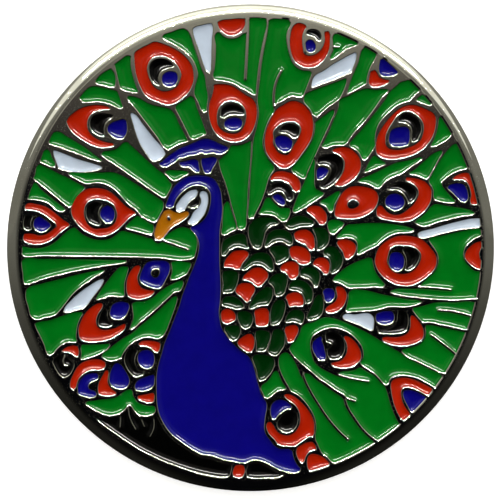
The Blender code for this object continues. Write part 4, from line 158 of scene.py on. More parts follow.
# The artwork, in millimetres from the coin's centre, as in the CAD. Each cell is a name, a colour
# and the points of its closed outline; "hole" starts an island left out of the enamel, and "line" a
# raised metal line across it, by its width and its points. Curves run smoothly through the points
# and turn sharply only at corners.
ARTWORK = """
plume_nw_a green
  -8.08,8.65 -7.95,8.85 -7.55,9.18 -7.28,9.32 -7.18,9.22 -7.04,8.55 -7.08,8.4 -7.25,8.38 -7.6,8.47 -8,8.56
plume_nw_b green
  -7.08,9.55 -6.75,9.78 -6.38,10 -6.24,9.97 -6.24,9.5 -6.12,8.9 -5.98,8.45 -5.86,8.13 -5.92,8.07 -6.3,8.14
  -6.7,8.28 -6.78,8.38 -6.88,8.75 -7,9.25
plume_nw_c green
  -8.92,7.78 -8.75,8 -8.5,8.27 -8.3,8.38 -8.1,8.4 -7.7,8.34 -7.3,8.24 -6.95,8.13 -6.86,7.95 -6.74,7.6
  -6.65,7.34 -6.76,7.25 -7,7.34 -7.25,7.47 -7.6,7.58 -8,7.63 -8.4,7.6 -8.65,7.59
eye_nw_red red
  -9.58,6.56 -9.45,6.8 -9.2,7.02 -8.95,7.19 -8.6,7.33 -8.15,7.41 -7.75,7.4 -7.4,7.31 -7.3,7.24 -7.38,7.21
  -7.7,7.19 -8.05,7.12 -8.3,6.97 -8.46,6.72 -8.51,6.45 -8.48,6.2 -8.38,6 -8.15,5.76 -7.8,5.58 -7.4,5.46
  -7.15,5.41 -7.11,5.36 -7.25,5.28 -7.55,5.23 -7.85,5.24 -8.15,5.32 -8.45,5.46 -8.75,5.63 -9.1,5.88
  -9.42,6.22
eye_nw_black black
  -7.15,6.9 -7.5,6.96 -7.9,6.97 -8.15,6.88 -8.33,6.65 -8.36,6.4 -8.3,6.2 -8.15,6 -7.9,5.86 -7.68,5.8
  -7.62,5.95 -7.64,6.2 -7.57,6.45 -7.4,6.66 -7.18,6.8
eye_nw_blue blue
  -7.44,6.1 -7.4,6.35 -7.2,6.52 -6.9,6.62 -6.62,6.68 -6.48,6.62 -6.43,6.3 -6.46,6 -6.56,5.8 -6.72,5.67
  -7,5.72 -7.3,5.9
quill_nw white
  -6.25,6.95 -6.18,7.02 -6.08,6.98 -5.6,6.42 -5.05,5.72 -4.5,5.05 -4.44,4.88 -4.55,4.74 -4.8,4.58
  -5.02,4.5 -5.15,4.56 -5.4,4.88 -5.72,5.38 -5.92,5.85 -6.12,6.5
plume_nw_d green
  -6.44,7.8 -6.38,7.87 -6.15,7.87 -5.75,7.75 -5.4,7.55 -4.95,7.38 -4.5,7.3 -4.15,7.18 -4.02,7.05 -3.7,6.42
  -3.4,5.85 -3.28,5.6 -3.32,5.55 -3.6,5.47 -3.9,5.34 -4.15,5.18 -4.28,5.12 -4.4,5.18 -4.85,5.78 -5.4,6.5
  -5.95,7.22
plume_nw_e green
  -3.92,7.28 -3.85,7.42 -3.6,7.58 -3.35,7.76 -3.12,7.9 -3.02,7.84 -2.8,7.3 -2.6,6.8 -2.42,6.3 -2.3,5.97
  -2.34,5.92 -2.6,5.8 -2.88,5.68 -3,5.65 -3.08,5.7 -3.3,6.08 -3.6,6.67
plume_n_a green
  -4.6,10.93 -4.55,11.03 -4.1,11.22 -3.7,11.37 -3.48,11.4 -3.28,11.28 -3.1,10.95 -2.98,10.58 -2.82,10.1
  -2.55,9.3 -2.38,8.88 -2.31,8.4 -2.22,7.85 -2.27,7.4 -2.34,7.1 -2.42,7.05 -2.5,7.12 -2.7,7.55 -2.93,8.1
  -2.9,8.35 -2.8,8.7 -2.73,9 -2.78,9.3 -2.93,9.68 -3.18,10.03 -3.5,10.32 -3.84,10.53 -4.2,10.73
eye_n1_red red
  -6.02,10.14 -5.73,10.36 -5.36,10.55 -4.98,10.71 -4.78,10.68 -4.45,10.57 -3.99,10.37 -3.53,10.06
  -3.25,9.77 -3.05,9.44 -2.97,9.08 -2.97,8.71 -3.05,8.45 -3.2,8.15 -3.45,7.9 -3.75,7.66 -4.05,7.5
  -4.3,7.46 -4.5,7.49 -4.9,7.64 -5.28,7.82 -5.5,8 -5.72,8.38 -5.9,8.85 -6,9.3 -6.04,9.75 hole -5.39,9.31
  -5.32,9.63 -5.09,9.9 -4.81,10 -4.63,10 -4.26,9.9 -3.94,9.67 -3.71,9.35 -3.6,8.98 -3.67,8.71 -3.8,8.43
  -4.03,8.25 -4.26,8.16 -4.58,8.14 -4.81,8.23 -5.04,8.39 -5.23,8.71 -5.34,9.03
eye_n1_black black
  -5.27,9.17 -5.23,9.54 -5,9.77 -4.68,9.83 -4.35,9.77 -4.08,9.58 -4.01,9.47 -4.03,9.41 -4.35,9.36
  -4.63,9.22 -4.77,9 -4.8,8.8 -4.77,8.62 -4.72,8.5 -4.84,8.46 -5.04,8.6 -5.23,8.94
eye_n1_blue blue
  -4.61,8.76 -4.56,8.98 -4.35,9.15 -4.08,9.17 -3.9,9.12 -3.8,8.94 -3.83,8.66 -3.94,8.5 -4.12,8.4
  -4.26,8.38 -4.45,8.46 -4.58,8.6
quill_n white
  -2.98,11.42 -2.84,11.5 -2.52,11.58 -2.24,11.65 -2.04,11.67 -1.99,11.56 -2.01,10.91 -2.04,10.22
  -2.06,9.54 -2.1,9.2 -2.18,9.12 -2.28,9.2 -2.43,9.54 -2.7,10.36 -2.93,11 -2.99,11.28
crescent_n red
  -1.71,11.74 -1.51,11.83 -1.05,11.88 -0.45,11.92 -0.29,11.9 -0.29,11.62 -0.41,11.38 -0.64,11.17
  -0.96,11.06 -1.23,11.1 -1.46,11.26 -1.64,11.48
plume_n_b green
  -1.93,8.9 -1.87,9.3 -1.8,10.5 -1.81,11.12 -1.72,11.21 -1.62,11.2 -1.45,11.02 -1.2,10.9 -0.95,10.87
  -0.7,10.92 -0.5,11.03 -0.35,11.15 -0.2,11.14 -0.1,11.5 -0.05,11.88 0.02,11.97 0.4,11.97 0.8,11.93
  0.84,11.75 0.7,11 0.55,10.3 0.42,9.5 0.33,8.7 0.27,8 0.18,7.96 -0.05,8.12 -0.46,8.34 -0.77,8.52
  -1.08,8.64 -1.4,8.71 -1.88,8.82 line 0.15 -0.13,12.05 -0.15,11 -0.2,10 -0.25,9.1 -0.27,8.78
eye_n2_red red
  -1.9,8.48 -1.69,8.5 -1.37,8.5 -1,8.43 -0.59,8.2 -0.22,7.93 0.1,7.75 0.28,7.47 0.33,7.15 0.31,6.78
  0.19,6.32 0,5.95 -0.2,5.75 -0.46,5.58 -0.77,5.52 -1.01,5.53 -1.32,5.61 -1.6,5.78 -1.84,6.03 -1.97,6.25
  -2.12,6.69 -2.17,7.15 -2.13,7.56 -2.01,7.88 -1.94,8.16 hole -1.01,7.68 -1.38,7.57 -1.63,7.34 -1.74,7.03
  -1.75,6.66 -1.69,6.36 -1.51,6.14 -1.23,5.99 -0.89,5.93 -0.58,6.02 -0.37,6.27 -0.25,6.6 -0.22,6.97
  -0.31,7.28 -0.49,7.49 -0.77,7.65
eye_n2_black black
  -1.54,6.91 -1.54,7.09 -1.41,7.34 -1.2,7.46 -0.92,7.49 -0.65,7.43 -0.43,7.25 -0.31,7.03 -0.4,6.93
  -0.55,6.92 -0.77,6.95 -1.01,6.95 -1.23,6.87 -1.41,6.76 -1.52,6.79
eye_n2_blue blue
  -1.35,6.54 -1.2,6.69 -0.98,6.76 -0.68,6.76 -0.46,6.63 -0.43,6.48 -0.49,6.3 -0.65,6.16 -0.89,6.11
  -1.14,6.17 -1.35,6.32
crest_blade blue
  -4.76,4.37 -4.63,4.47 -4.35,4.72 -4.08,4.92 -3.67,5.18 -3.21,5.36 -2.75,5.56 -2.52,5.65 -2.24,5.67
  -1.92,5.57 -1.6,5.41 -1.32,5.3 -1.19,5.23 -1.17,5.13 -1.28,5.04 -1.46,4.91 -1.6,4.88 -2.01,4.97
  -2.31,4.89 -2.59,4.98 -2.84,4.86 -3.23,4.82 -3.48,4.7 -3.71,4.69 -3.9,4.5 -4.08,4.41 -4.31,4.24
  -4.54,4.24 -4.7,4.3
crest_drop_1 blue
  -3.71,4.38 -3.67,4.45 -3.44,4.49 -3.16,4.56 -2.84,4.58 -2.72,4.51 -2.7,4.31 -2.66,4.08 -2.65,4.01
  -2.72,3.94 -2.86,3.94 -3.02,4.06 -3.16,4.19 -3.34,4.23 -3.53,4.22 -3.64,4.29
crest_drop_2 blue
  -2.54,4.63 -2.24,4.68 -1.87,4.7 -1.74,4.63 -1.78,4.49 -1.97,4.17 -2.13,3.9 -2.29,3.87 -2.4,3.94
  -2.49,4.17 -2.56,4.45
crest_green green
  -4.46,3.92 -4.38,4 -4.12,4.04 -3.8,4.02 -3.48,4 -3.24,3.95 -3.25,3.89 -3.53,3.72 -3.85,3.54 -3.96,3.5
  -4.06,3.54 -4.26,3.72
plume_w_a green
  -10.5,5.48 -10.38,5.8 -10.2,6.02 -10,6.04 -9.6,5.82 -9.1,5.52 -8.6,5.22 -8.1,4.82 -7.75,4.55 -7.8,4.5
  -8.2,4.62 -8.8,4.84 -9.5,5.1 -10.1,5.3 -10.4,5.4
plume_w_b green
  -10.71,5.07 -10.59,5.12 -10.5,5.06 -10.35,4.72 -10.18,4.3 -10.22,4.22 -10.35,4.22 -10.65,4.36
  -10.94,4.51 -10.86,4.78
quill_w1 white
  -10.27,5.04 -10.18,5.06 -9.99,5 -9.08,4.64 -8.16,4.36 -7.78,4.21 -7.72,4.14 -7.9,4.08 -9.81,4.08
  -9.96,4.13 -10.02,4.26 -10.11,4.49 -10.24,4.86
plume_w_c green
  -7.78,4.86 -7.68,4.98 -7.37,5.04 -7.03,5.13 -6.79,5.31 -6.6,5.47 -6.45,5.5 -6.23,5.33 -5.68,4.83
  -5.22,4.41 -4.81,4.05 -4.49,3.82 -4.25,3.5 -4.1,3.29 -4.13,3.19 -4.31,2.84 -4.43,2.66 -4.52,2.62
  -4.64,2.68 -5.27,3.1 -6.19,3.75 -6.65,4.07 -7.2,4.45 -7.72,4.8
plume_w_d green
  -11.08,4.28 -10.98,4.34 -10.68,4.21 -10.3,4.03 -9.99,3.86 -9.54,3.66 -9.1,3.42 -8.72,3.2 -8.63,3.12
  -8.73,3 -9.02,2.7 -9.2,2.4 -9.31,2.2 -9.46,2.15 -9.6,2.24 -9.95,2.52 -10.6,3.06 -11.29,3.6 -11.22,3.8
plume_w_e green
  -11.58,2.54 -11.45,3 -11.28,3.38 -11.2,3.38 -10.98,3.12 -10.45,2.67 -10,2.31 -9.72,2.07 -9.66,1.97
  -9.81,1.9 -10.09,1.97 -10.36,2.22 -10.59,2.38 -11,2.5
plume_w_f green
  -9.48,3.84 -9.3,3.93 -8.9,3.93 -7.9,3.91 -7.06,3.9 -6.65,3.74 -6,3.35 -5.4,2.96 -4.68,2.5 -4.57,2.42
  -4.53,2.25 -4.56,2.05 -4.7,1.78 -4.93,1.42 -5.03,1.36 -5.15,1.38 -5.4,1.52 -5.72,1.7 -5.83,1.9 -6.1,2.12
  -6.35,2.3 -6.6,2.56 -6.9,2.9 -7.3,3.22 -7.65,3.37 -8,3.41 -8.3,3.38 -8.48,3.34 -8.6,3.36 -8.9,3.52
  -9.3,3.72
eye_w1_red red
  -9.33,2 -9.26,2.29 -9.08,2.61 -8.85,2.86 -8.53,3.05 -8.16,3.11 -7.79,3.09 -7.42,2.98 -7.06,2.72
  -6.74,2.4 -6.41,2.1 -6.14,1.94 -5.98,1.81 -6.08,1.72 -6.32,1.55 -6.64,1.23 -6.97,0.93 -7.24,0.75
  -7.56,0.64 -7.88,0.61 -8.25,0.73 -8.62,0.91 -8.94,1.19 -9.17,1.46 -9.31,1.78 hole -8.02,2.56 -8.39,2.46
  -8.58,2.27 -8.67,1.95 -8.66,1.65 -8.57,1.38 -8.4,1.15 -8.15,1 -7.85,1 -7.4,1.06 -7.1,1.25 -6.98,1.5
  -6.94,1.75 -7,2 -7.12,2.25 -7.35,2.42 -7.7,2.52
eye_w1_black black
  -7.72,2.25 -7.95,2.36 -8.3,2.34 -8.49,2.18 -8.56,1.88 -8.51,1.58 -8.37,1.36 -8.18,1.24 -7.93,1.18
  -7.8,1.24 -7.86,1.45 -7.94,1.75 -7.88,2.02
eye_w1_blue blue
  -7.47,2.21 -7.25,2.12 -7.1,1.92 -7.08,1.68 -7.15,1.45 -7.3,1.31 -7.45,1.3 -7.65,1.42 -7.8,1.62
  -7.83,1.82 -7.72,2.05
eye_w2_red red
  -11.72,2.2 -11.62,2.29 -11.14,2.27 -10.73,2.17 -10.41,1.99 -10.04,1.69 -9.77,1.46 -9.46,1.24 -9.42,1.17
  -9.54,1.07 -9.9,0.84 -10.18,0.56 -10.59,0.31 -11,0.2 -11.37,0.2 -11.65,0.29 -11.8,0.4 -11.83,0.55
  -11.77,0.72 -11.37,0.73 -11,0.64 -10.68,0.69 -10.36,0.88 -10.1,1.1 -10.12,1.22 -10.45,1.53 -10.78,1.76
  -11.1,1.92 -11.42,1.98 -11.7,2 -11.74,2.1
eye_w2_black black
  -11.73,1.67 -11.56,1.71 -11.33,1.64 -11.45,1.39 -11.46,1.14 -11.42,0.98 -11.6,0.93 -11.76,1 -11.81,1.14
  -11.79,1.46
eye_w2_blue blue
  -10.98,1.62 -10.68,1.44 -10.43,1.21 -10.41,1.12 -10.55,0.98 -10.73,0.86 -10.91,0.83 -11.14,0.93
  -11.28,1.12 -11.29,1.32 -11.19,1.53
plume_w_g green
  -11.88,0.06 -11.7,0.04 -11.37,-0.02 -10.9,0 -10.45,0.14 -10.09,0.36 -9.81,0.63 -9.54,0.87 -9.28,1.03
  -9.18,1.06 -9.08,1 -8.85,0.77 -8.53,0.58 -8.16,0.45 -7.7,0.41 -7.33,0.47 -6.96,0.7 -6.75,0.86 -6.62,0.88
  -6.46,0.84 -6.09,0.74 -5.55,0.58 -5.32,0.5 -5.12,0.46 -5.03,0.36 -4.93,0.26 -4.8,0.22 -4.66,0.27
  -4.55,0.38 -4.45,0.56 -4.26,0.74 -3.94,0.94 -3.71,1.04 -3.5,1.07 -3.25,1.01 -3.02,0.84 -2.86,0.63
  -2.79,0.36 -2.81,0 -2.88,-0.3 -2.97,-0.5 -3.1,-0.55 -4.8,-0.49 -6.65,-0.44 -9,-0.41 -11,-0.39
  -11.78,-0.4 -11.88,-0.34 line 0.13 -4.62,0.38 -4.43,0.31 -3.9,0.13 -3.45,-0.03 -3.25,-0.1
plume_w_h green
  -6.5,1.08 -6.37,1.25 -6.19,1.43 -5.96,1.62 -5.86,1.66 -5.72,1.58 -5.46,1.43 -5.23,1.27 -5.08,1.22
  -5.05,1.12 -5.1,0.8 -5.2,0.69 -5.5,0.76 -5.96,0.9 -6.42,1.02
body_blue blue
  -4.4,2.2 -4.33,2.43 -4.17,2.84 -3.99,3.16 -3.67,3.48 -3.34,3.67 -2.98,3.76 -2.52,3.76 -2.15,3.69
  -1.87,3.53 -1.69,3.25 -1.55,2.89 -1.51,2.52 -1.48,2.06 -1.51,1.6 -1.58,1.14 -1.62,0.68 -1.62,0.22
  -1.62,-0.83 -1.58,-1.52 -1.56,-2.2 -1.6,-2.89 -1.65,-3.35 -1.6,-3.81 -1.51,-4.18 -1.32,-4.5 -1.09,-4.82
  -0.77,-5.14 -0.45,-5.42 -0.13,-5.65 0.05,-5.92 0.19,-6.3 0.31,-6.8 0.42,-7.2 0.52,-7.55 0.72,-7.9
  0.83,-8.1 0.84,-8.3 0.78,-8.67 0.73,-9.04 0.71,-9.36 0.78,-9.68 1.01,-10.02 1.29,-10.35 1.52,-10.47
  2.02,-10.5 2.15,-10.57 2.21,-10.8 2.3,-11.08 2.43,-11.3 2.6,-11.5 2.56,-11.64 2.39,-11.7 2.02,-11.67
  1.75,-11.62 1.29,-11.44 0.83,-11.19 0.46,-11.05 0.19,-11.02 -0.06,-11.08 -0.29,-11.18 -0.54,-11.17
  -0.86,-11.1 -1.23,-11.05 -1.6,-10.95 -1.97,-10.8 -2.29,-10.77 -2.52,-10.73 -2.98,-10.5 -3.44,-10.2
  -3.9,-9.86 -4.17,-9.62 -4.49,-9.17 -4.72,-8.72 -4.84,-8.26 -4.88,-7.8 -4.89,-7.2 -4.88,-6.65 -4.84,-6.34
  -4.77,-6.02 -4.63,-5.56 -4.49,-5.05 -4.35,-4.68 -4.12,-4.13 -3.9,-3.55 -3.69,-3 -3.55,-2.5 -3.34,-1.95
  -3.16,-1.47 -2.98,-1.06 -2.84,-0.7 -2.76,-0.45 -2.68,-0.1 -2.67,0.2 -2.74,0.48 -2.87,0.72 -3.05,0.9
  -3.12,1 -3.09,1.07 -2.89,1.14 -2.66,1.26 -2.43,1.46 -2.24,1.74 -2.13,2.06 -2.06,2.52 -2.1,2.89
  -2.29,3.14 -2.56,3.26 -2.84,3.28 -3.25,3.14 -3.62,2.86 -3.9,2.49 -4.01,2.2 -4.05,2.11 -4.22,2.08
  -4.37,2.12
face_white_1 white
  -3.85,2.01 -3.87,2.13 -3.71,2.43 -3.44,2.75 -3.11,2.98 -2.84,3.02 -2.75,2.93 -2.81,2.73 -2.98,2.56
  -3.21,2.38 -3.34,2.15 -3.48,1.97 -3.67,1.9 -3.8,1.92
face_white_2 white
  -2.56,2.93 -2.45,2.95 -2.31,2.89 -2.22,2.66 -2.22,2.38 -2.29,2.06 -2.43,1.74 -2.61,1.51 -2.79,1.32
  -3.02,1.23 -3.21,1.26 -3.25,1.37 -3.11,1.55 -2.98,1.83 -2.75,2.06 -2.59,2.29 -2.56,2.52 -2.63,2.7
  -2.62,2.86
bird_eye black
  -3.18,2.1 -3.08,2.3 -2.98,2.45 -2.83,2.53 -2.72,2.5 -2.66,2.38 -2.7,2.22 -2.89,2.1 -3.07,2.08
beak amber
  -4.35,1.97 -4.22,1.99 -4.03,1.9 -3.8,1.81 -3.53,1.83 -3.34,1.9 -3.22,1.85 -3.21,1.74 -3.32,1.58
  -3.53,1.42 -3.9,1.21 -4.17,1 -4.4,0.73 -4.63,0.47 -4.77,0.41 -4.93,0.45 -5,0.64 -4.93,1.05 -4.77,1.46
  -4.58,1.78 -4.47,1.92
  line 0.17 -4.27,1.56 -4.24,1.49
plume_c_a green
  -1.23,2.42 -1.36,2.25 -1.42,1.83 -1.46,1.14 -1.5,0.78 -1.46,0.69 -1.35,0.69 -1.05,0.83 -0.75,0.98
  -0.74,1.05 -0.86,1.51 -1.03,2.06 -1.14,2.36
plume_c_b green
  -1.65,4.54 -1.46,4.72 -1.19,4.95 -1.09,5.18 -1,5.32 -0.68,5.32 -0.36,5.39 -0.08,5.53 0.03,5.58 0.03,5.46
  0.01,4.81 -0.04,4.12 -0.11,3.44 -0.15,2.75 -0.18,2.06 -0.22,1.6 -0.27,1.09 -0.36,0.98 -0.5,0.96
  -0.64,1.03 -0.73,1.37 -0.96,2.15 -1.14,2.84 -1.32,3.44 -1.51,3.94 -1.62,4.35
plume_n_c green
  0.96,11.83 1.06,11.88 1.52,11.9 2.02,11.81 2.08,11.72 2.06,11.58 1.93,11.33 1.87,11.05 1.88,10.73
  1.94,10.36 2.04,10 2.17,9.65 2.4,9.37 2.76,9.21 3.12,9.17 3.19,9.1 3.12,8.89 2.98,8.53 2.85,8.2
  2.72,7.93 2.62,7.86 2.48,7.88 2.2,7.93 1.93,7.84 1.65,7.68 1.42,7.55 1.32,7.5 1.22,7.32 1.22,7.1
  1.01,6.8 0.83,6.41 0.69,5.95 0.63,5.55 0.65,5.27 0.78,4.86 1.01,4.49 1.22,4.2 1.22,4.08 1.06,3.85
  0.92,3.57 0.83,3.25 0.69,2.79 0.51,2.33 0.28,1.87 0.13,1.6 0.02,1.52 -0.1,1.55 -0.13,1.68 -0.1,2.1
  -0.04,3 0.01,3.9 0.09,4.8 0.14,5.5 0.21,5.86 0.3,6.18 0.39,6.64 0.44,7.01 0.41,7.33 0.37,7.61 0.39,7.97
  0.48,8.62 0.55,9.31 0.69,10.22 0.87,11.14 line 0.13 1.6,9.2 1.42,8.85 1.29,8.48 1.22,8.07 1.21,7.7
  1.24,7.35
eye_ne1_red red
  2.39,11.66 2.66,11.67 2.87,11.56 2.92,11.5 2.82,11.37 2.71,11.1 2.69,10.73 2.73,10.36 2.8,10.09 2.98,10
  3.21,10 3.49,10.13 3.72,10.36 3.83,10.59 3.88,10.82 3.86,11.14 3.88,11.24 4.06,11.26 4.12,11.14
  4.13,10.78 4.09,10.36 3.95,10 3.72,9.69 3.44,9.48 3.12,9.39 2.8,9.41 2.48,9.57 2.25,9.83 2.12,10.18
  2.05,10.68 2.08,11.05 2.17,11.42
eye_ne1_black black
  2.89,11.14 2.98,11.3 3.26,11.37 3.54,11.28 3.67,11.05 3.65,10.84 3.58,10.76 3.47,10.84 3.31,11
  3.08,11.07
eye_ne1_blue blue
  2.87,10.68 3.03,10.82 3.21,10.8 3.35,10.64 3.4,10.45 3.35,10.29 3.12,10.18 2.98,10.22 2.89,10.41
plume_ne_a green
  4.32,11.05 4.41,11.14 4.73,11.1 5.19,10.91 5.58,10.71 5.58,10.56 4.96,10.34 4.59,10.06 4.22,9.83
  4.13,9.84 4.18,10 4.3,10.27 4.31,10.55 line 0.12 4.2,10.47 4.58,10.44
quill_ne white
  3.18,8.38 3.2,8.6 3.28,8.85 3.42,9 3.8,9.2 4.3,9.55 4.8,9.83 5.2,10.05 5.45,10.16 5.52,10.1 5.48,9.8
  5.35,9.45 5.2,9.15 5.08,9.08 4.6,8.88 4,8.65 3.5,8.47 3.28,8.38
plume_ne_b green
  2.85,7.98 2.98,8.06 3.4,8.24 3.9,8.42 4.5,8.64 4.97,8.82 5,8.72 4.92,8.4 4.75,8 4.62,7.78 4.3,7.53
  3.9,7.25 3.58,6.95 3.42,6.84 3.3,6.92 3.12,7.22 2.92,7.45 2.8,7.6 2.78,7.75
plume_ne_c green
  5.05,8.05 5.12,8.4 5.28,8.85 5.45,9.25 5.62,9.65 5.7,10 5.82,10.3 5.97,10.43 6.15,10.4 6.4,10.25
  6.56,10.06 6.48,9.85 6.3,9.55 6.15,9.2 6.06,8.85 6.02,8.55 5.85,8.45 5.5,8.27 5.2,8.1
drop_ne_blue blue
  6.77,9.78 6.93,9.84 7.16,9.63 7.48,9.35 7.68,9.12 7.64,9.07 7.48,9 7.16,8.93 6.88,8.96 6.76,9.05
  6.7,9.26 6.72,9.58
drop_ne_red red
  6.26,9.17 6.47,9.24 6.58,9.12 6.7,8.89 6.93,8.76 7.23,8.71 7.2,8.62 7.02,8.52 6.7,8.41 6.42,8.38
  6.26,8.44 6.18,8.57 6.19,8.85
plume_ne_d green
  7.2,8.22 6.93,8.25 6.47,8.22 6.1,8.28 5.55,8.13 5.05,7.88 4.78,7.79 4.66,7.7 4.59,7.33 4.5,7.06
  4.32,6.64 4.04,5.95 3.86,5.59 3.7,5.28 3.86,5.22 4.22,5.32 4.5,5.36 4.87,5.37 4.98,5.44 5.14,5.68
  5.55,6.2 5.98,6.66 6.44,7.26 6.9,7.9 7.15,8.15
plume_ne_e green
  8.01,8.66 8.21,8.71 8.49,8.57 8.76,8.3 8.8,8.18 8.7,8.1 8.47,7.88 8.28,7.69 8.01,7.6 7.6,7.42 7.27,7.14
  6.9,6.78 6.66,6.44 6.52,6.05 6.47,5.63 6.47,5.3 6.38,5.13 6.2,4.86 6.02,4.62 5.93,4.57 5.85,4.63
  5.74,4.81 5.6,5.04 5.42,5.18 5.19,5.3 5.17,5.38 5.38,5.7 5.6,5.95 6.04,6.46 6.5,7.06 6.96,7.65 7.29,8.16
  7.57,8.39 7.85,8.62
plume_ne_f green
  8.62,7.7 8.76,7.84 8.95,7.97 9.18,7.79 9.41,7.52 9.4,7.44 9.29,7.42 9.09,7.5 8.76,7.62
eye_e1_red red
  6.54,5.1 6.54,5.36 6.6,5.73 6.79,6.14 7.07,6.55 7.39,6.92 7.75,7.22 8.08,7.38 8.49,7.43 8.86,7.33
  9.22,7.17 9.54,6.97 9.64,6.78 9.64,6.42 9.59,6.14 9.48,5.82 9.31,5.53 9.09,5.27 8.86,5.07 8.58,4.91
  8.21,4.77 7.85,4.68 7.48,4.63 7.07,4.65 6.79,4.74 6.61,4.88 hole 7.02,5.6 7.04,5.87 7.14,6.14 7.39,6.55
  7.66,6.92 8.03,7.13 8.3,7.13 8.67,6.92 8.95,6.6 9.03,6.32 8.99,5.95 8.86,5.62 8.67,5.43 8.4,5.28
  8.12,5.18 7.85,5.1 7.48,5.1 7.2,5.17 7.05,5.35
eye_e1_black black
  7.7,6.56 7.75,6.78 7.98,6.97 8.3,6.97 8.67,6.74 8.86,6.41 8.88,6.09 8.76,5.8 8.6,5.56 8.49,5.51
  8.41,5.57 8.39,5.75 8.42,6.05 8.35,6.3 8.21,6.45 7.98,6.52
eye_e1_blue blue
  7.23,5.82 7.34,6.1 7.52,6.21 7.85,6.28 8.12,6.28 8.26,6.14 8.29,5.87 8.26,5.55 8.17,5.36 7.98,5.29
  7.62,5.27 7.36,5.32 7.23,5.5
plume_ne_g green
  9.82,6.73 9.87,6.83 10.05,6.69 10.32,6.32 10.5,6.02 10.44,5.87 10.28,5.69 9.96,5.48 9.64,5.32 9.43,5.28
  9.4,5.34 9.54,5.62 9.68,6 9.77,6.4
eye_c1_red red
  1.42,7.26 1.75,7.45 2.02,7.6 2.3,7.64 2.57,7.56 2.8,7.42 3.03,7.17 3.19,6.87 3.26,6.55 3.26,6.2
  3.22,5.92 3.12,5.62 2.94,5.3 2.66,4.9 2.39,4.54 2.07,4.26 1.79,4.15 1.56,4.19 1.33,4.35 1.06,4.63
  0.85,4.95 0.76,5.32 0.76,5.77 0.83,6.14 0.97,6.51 1.15,6.86 hole 1.19,5.73 1.17,6.05 1.38,6.33 1.65,6.51
  2.02,6.58 2.34,6.56 2.57,6.37 2.64,6.19 2.57,5.87 2.43,5.59 2.25,5.32 2.11,5.04 1.93,4.84 1.75,4.84
  1.47,4.95 1.29,5.18 1.17,5.46
eye_c1_black black
  1.49,6.01 1.56,6.19 1.75,6.37 2.07,6.44 2.34,6.37 2.53,6.24 2.55,6.05 2.46,5.82 2.3,5.71 2.16,5.78
  1.98,5.92 1.75,5.98
eye_c1_blue blue
  1.29,5.69 1.42,5.8 1.75,5.82 2.02,5.71 2.18,5.55 2.16,5.32 2.04,5.09 1.88,5 1.65,5.04 1.42,5.23
  1.29,5.46
plume_c_c green
  3.36,6.52 3.6,6.7 3.95,6.96 4.25,7.16 4.35,7.18 4.36,7.05 4.2,6.68 4.02,6.25 3.8,5.78 3.62,5.4 3.4,4.9
  3.12,4.31 2.94,3.92 2.85,3.68 2.74,3.61 2.63,3.65 2.39,3.82 2.16,4.03 2.13,4.1 2.26,4.27 2.5,4.56
  2.78,4.9 3.05,5.3 3.24,5.66 3.33,5.96 3.36,6.28
eye_c2_red red
  4.25,5.07 4.41,5.16 4.68,5.23 4.96,5.23 5.24,5.13 5.46,4.95 5.65,4.72 5.73,4.49 5.74,4.22 5.65,3.94
  5.46,3.67 5.19,3.44 4.87,3.25 4.59,3.21 4.43,3.23 4.42,3.3 4.55,3.48 4.73,3.76 4.87,4.03 4.91,4.31
  4.89,4.54 4.78,4.72 4.59,4.88 4.32,5
eye_c2_black black
  3.49,4.49 3.54,4.68 3.72,4.79 4.04,4.84 4.32,4.84 4.59,4.77 4.78,4.58 4.84,4.35 4.8,4.03 4.68,3.76
  4.45,3.48 4.22,3.28 4,3.14 3.77,3.11 3.63,3.18 3.67,3.3 3.86,3.44 4.04,3.67 4.18,3.94 4.2,4.12 4.09,4.26
  3.86,4.35 3.63,4.33 3.49,4.38
eye_c2_blue blue
  3.47,4.08 3.58,4.17 3.81,4.17 4,4.1 4.06,4.01 3.97,3.8 3.81,3.64 3.63,3.55 3.51,3.55 3.45,3.71 3.44,3.9
plume_c_d green
  3.31,4.68 3.12,4.22 2.85,3.53 2.62,3.02 2.39,2.52 2.23,2.06 2.2,1.92 2.27,1.85 2.41,1.87 2.66,2.01
  3.03,2.24 3.4,2.49 3.77,2.75 3.83,2.84 3.58,2.98 3.4,3.07 3.33,3.25 3.33,3.67 3.33,4.08 3.36,4.45
eye_c3_red red
  1.03,3.57 1.15,3.8 1.33,3.94 1.61,3.99 1.93,3.94 2.2,3.85 2.43,3.67 2.57,3.44 2.6,3.21 2.53,2.98
  2.39,2.91 2.27,2.98 2.16,3.16 2.02,3.34 1.79,3.48 1.52,3.55 1.29,3.55 1.1,3.5
eye_c3_black black
  0.92,3.02 1.01,3.11 1.19,3.34 1.47,3.44 1.79,3.37 2.02,3.21 2.16,2.98 2.23,2.75 2.2,2.56 2.07,2.45
  1.95,2.49 1.84,2.7 1.7,2.88 1.52,2.98 1.29,2.95 1.13,2.84 0.99,2.79 0.91,2.88
eye_c3_blue blue
  1.15,2.66 1.29,2.77 1.47,2.77 1.65,2.66 1.79,2.47 1.81,2.29 1.7,2.2 1.52,2.27 1.29,2.45
plume_c_e green
  0.44,1.78 0.48,1.87 0.64,2.2 0.78,2.52 0.87,2.61 1.01,2.61 1.15,2.43 1.38,2.2 1.61,2.06 1.84,2.08
  2.02,2.06 2.07,1.97 2.04,1.78 1.95,1.55 1.79,1.39 1.65,1.37 1.52,1.46 1.33,1.65 1.06,1.74 0.74,1.76
  0.51,1.76
scale_01 dark
  -0.11,0.91 -0.07,1.14 0.05,1.32 0.23,1.48 0.51,1.58 0.83,1.6 1.15,1.55 1.38,1.42 1.47,1.28 1.4,1.23
  1.15,1.19 0.92,1.03 0.76,0.8 0.69,0.5 0.62,0.22 0.55,0.04 0.37,-0.05 0.18,0.02 0.05,0.22 -0.07,0.54
scale_02 dark
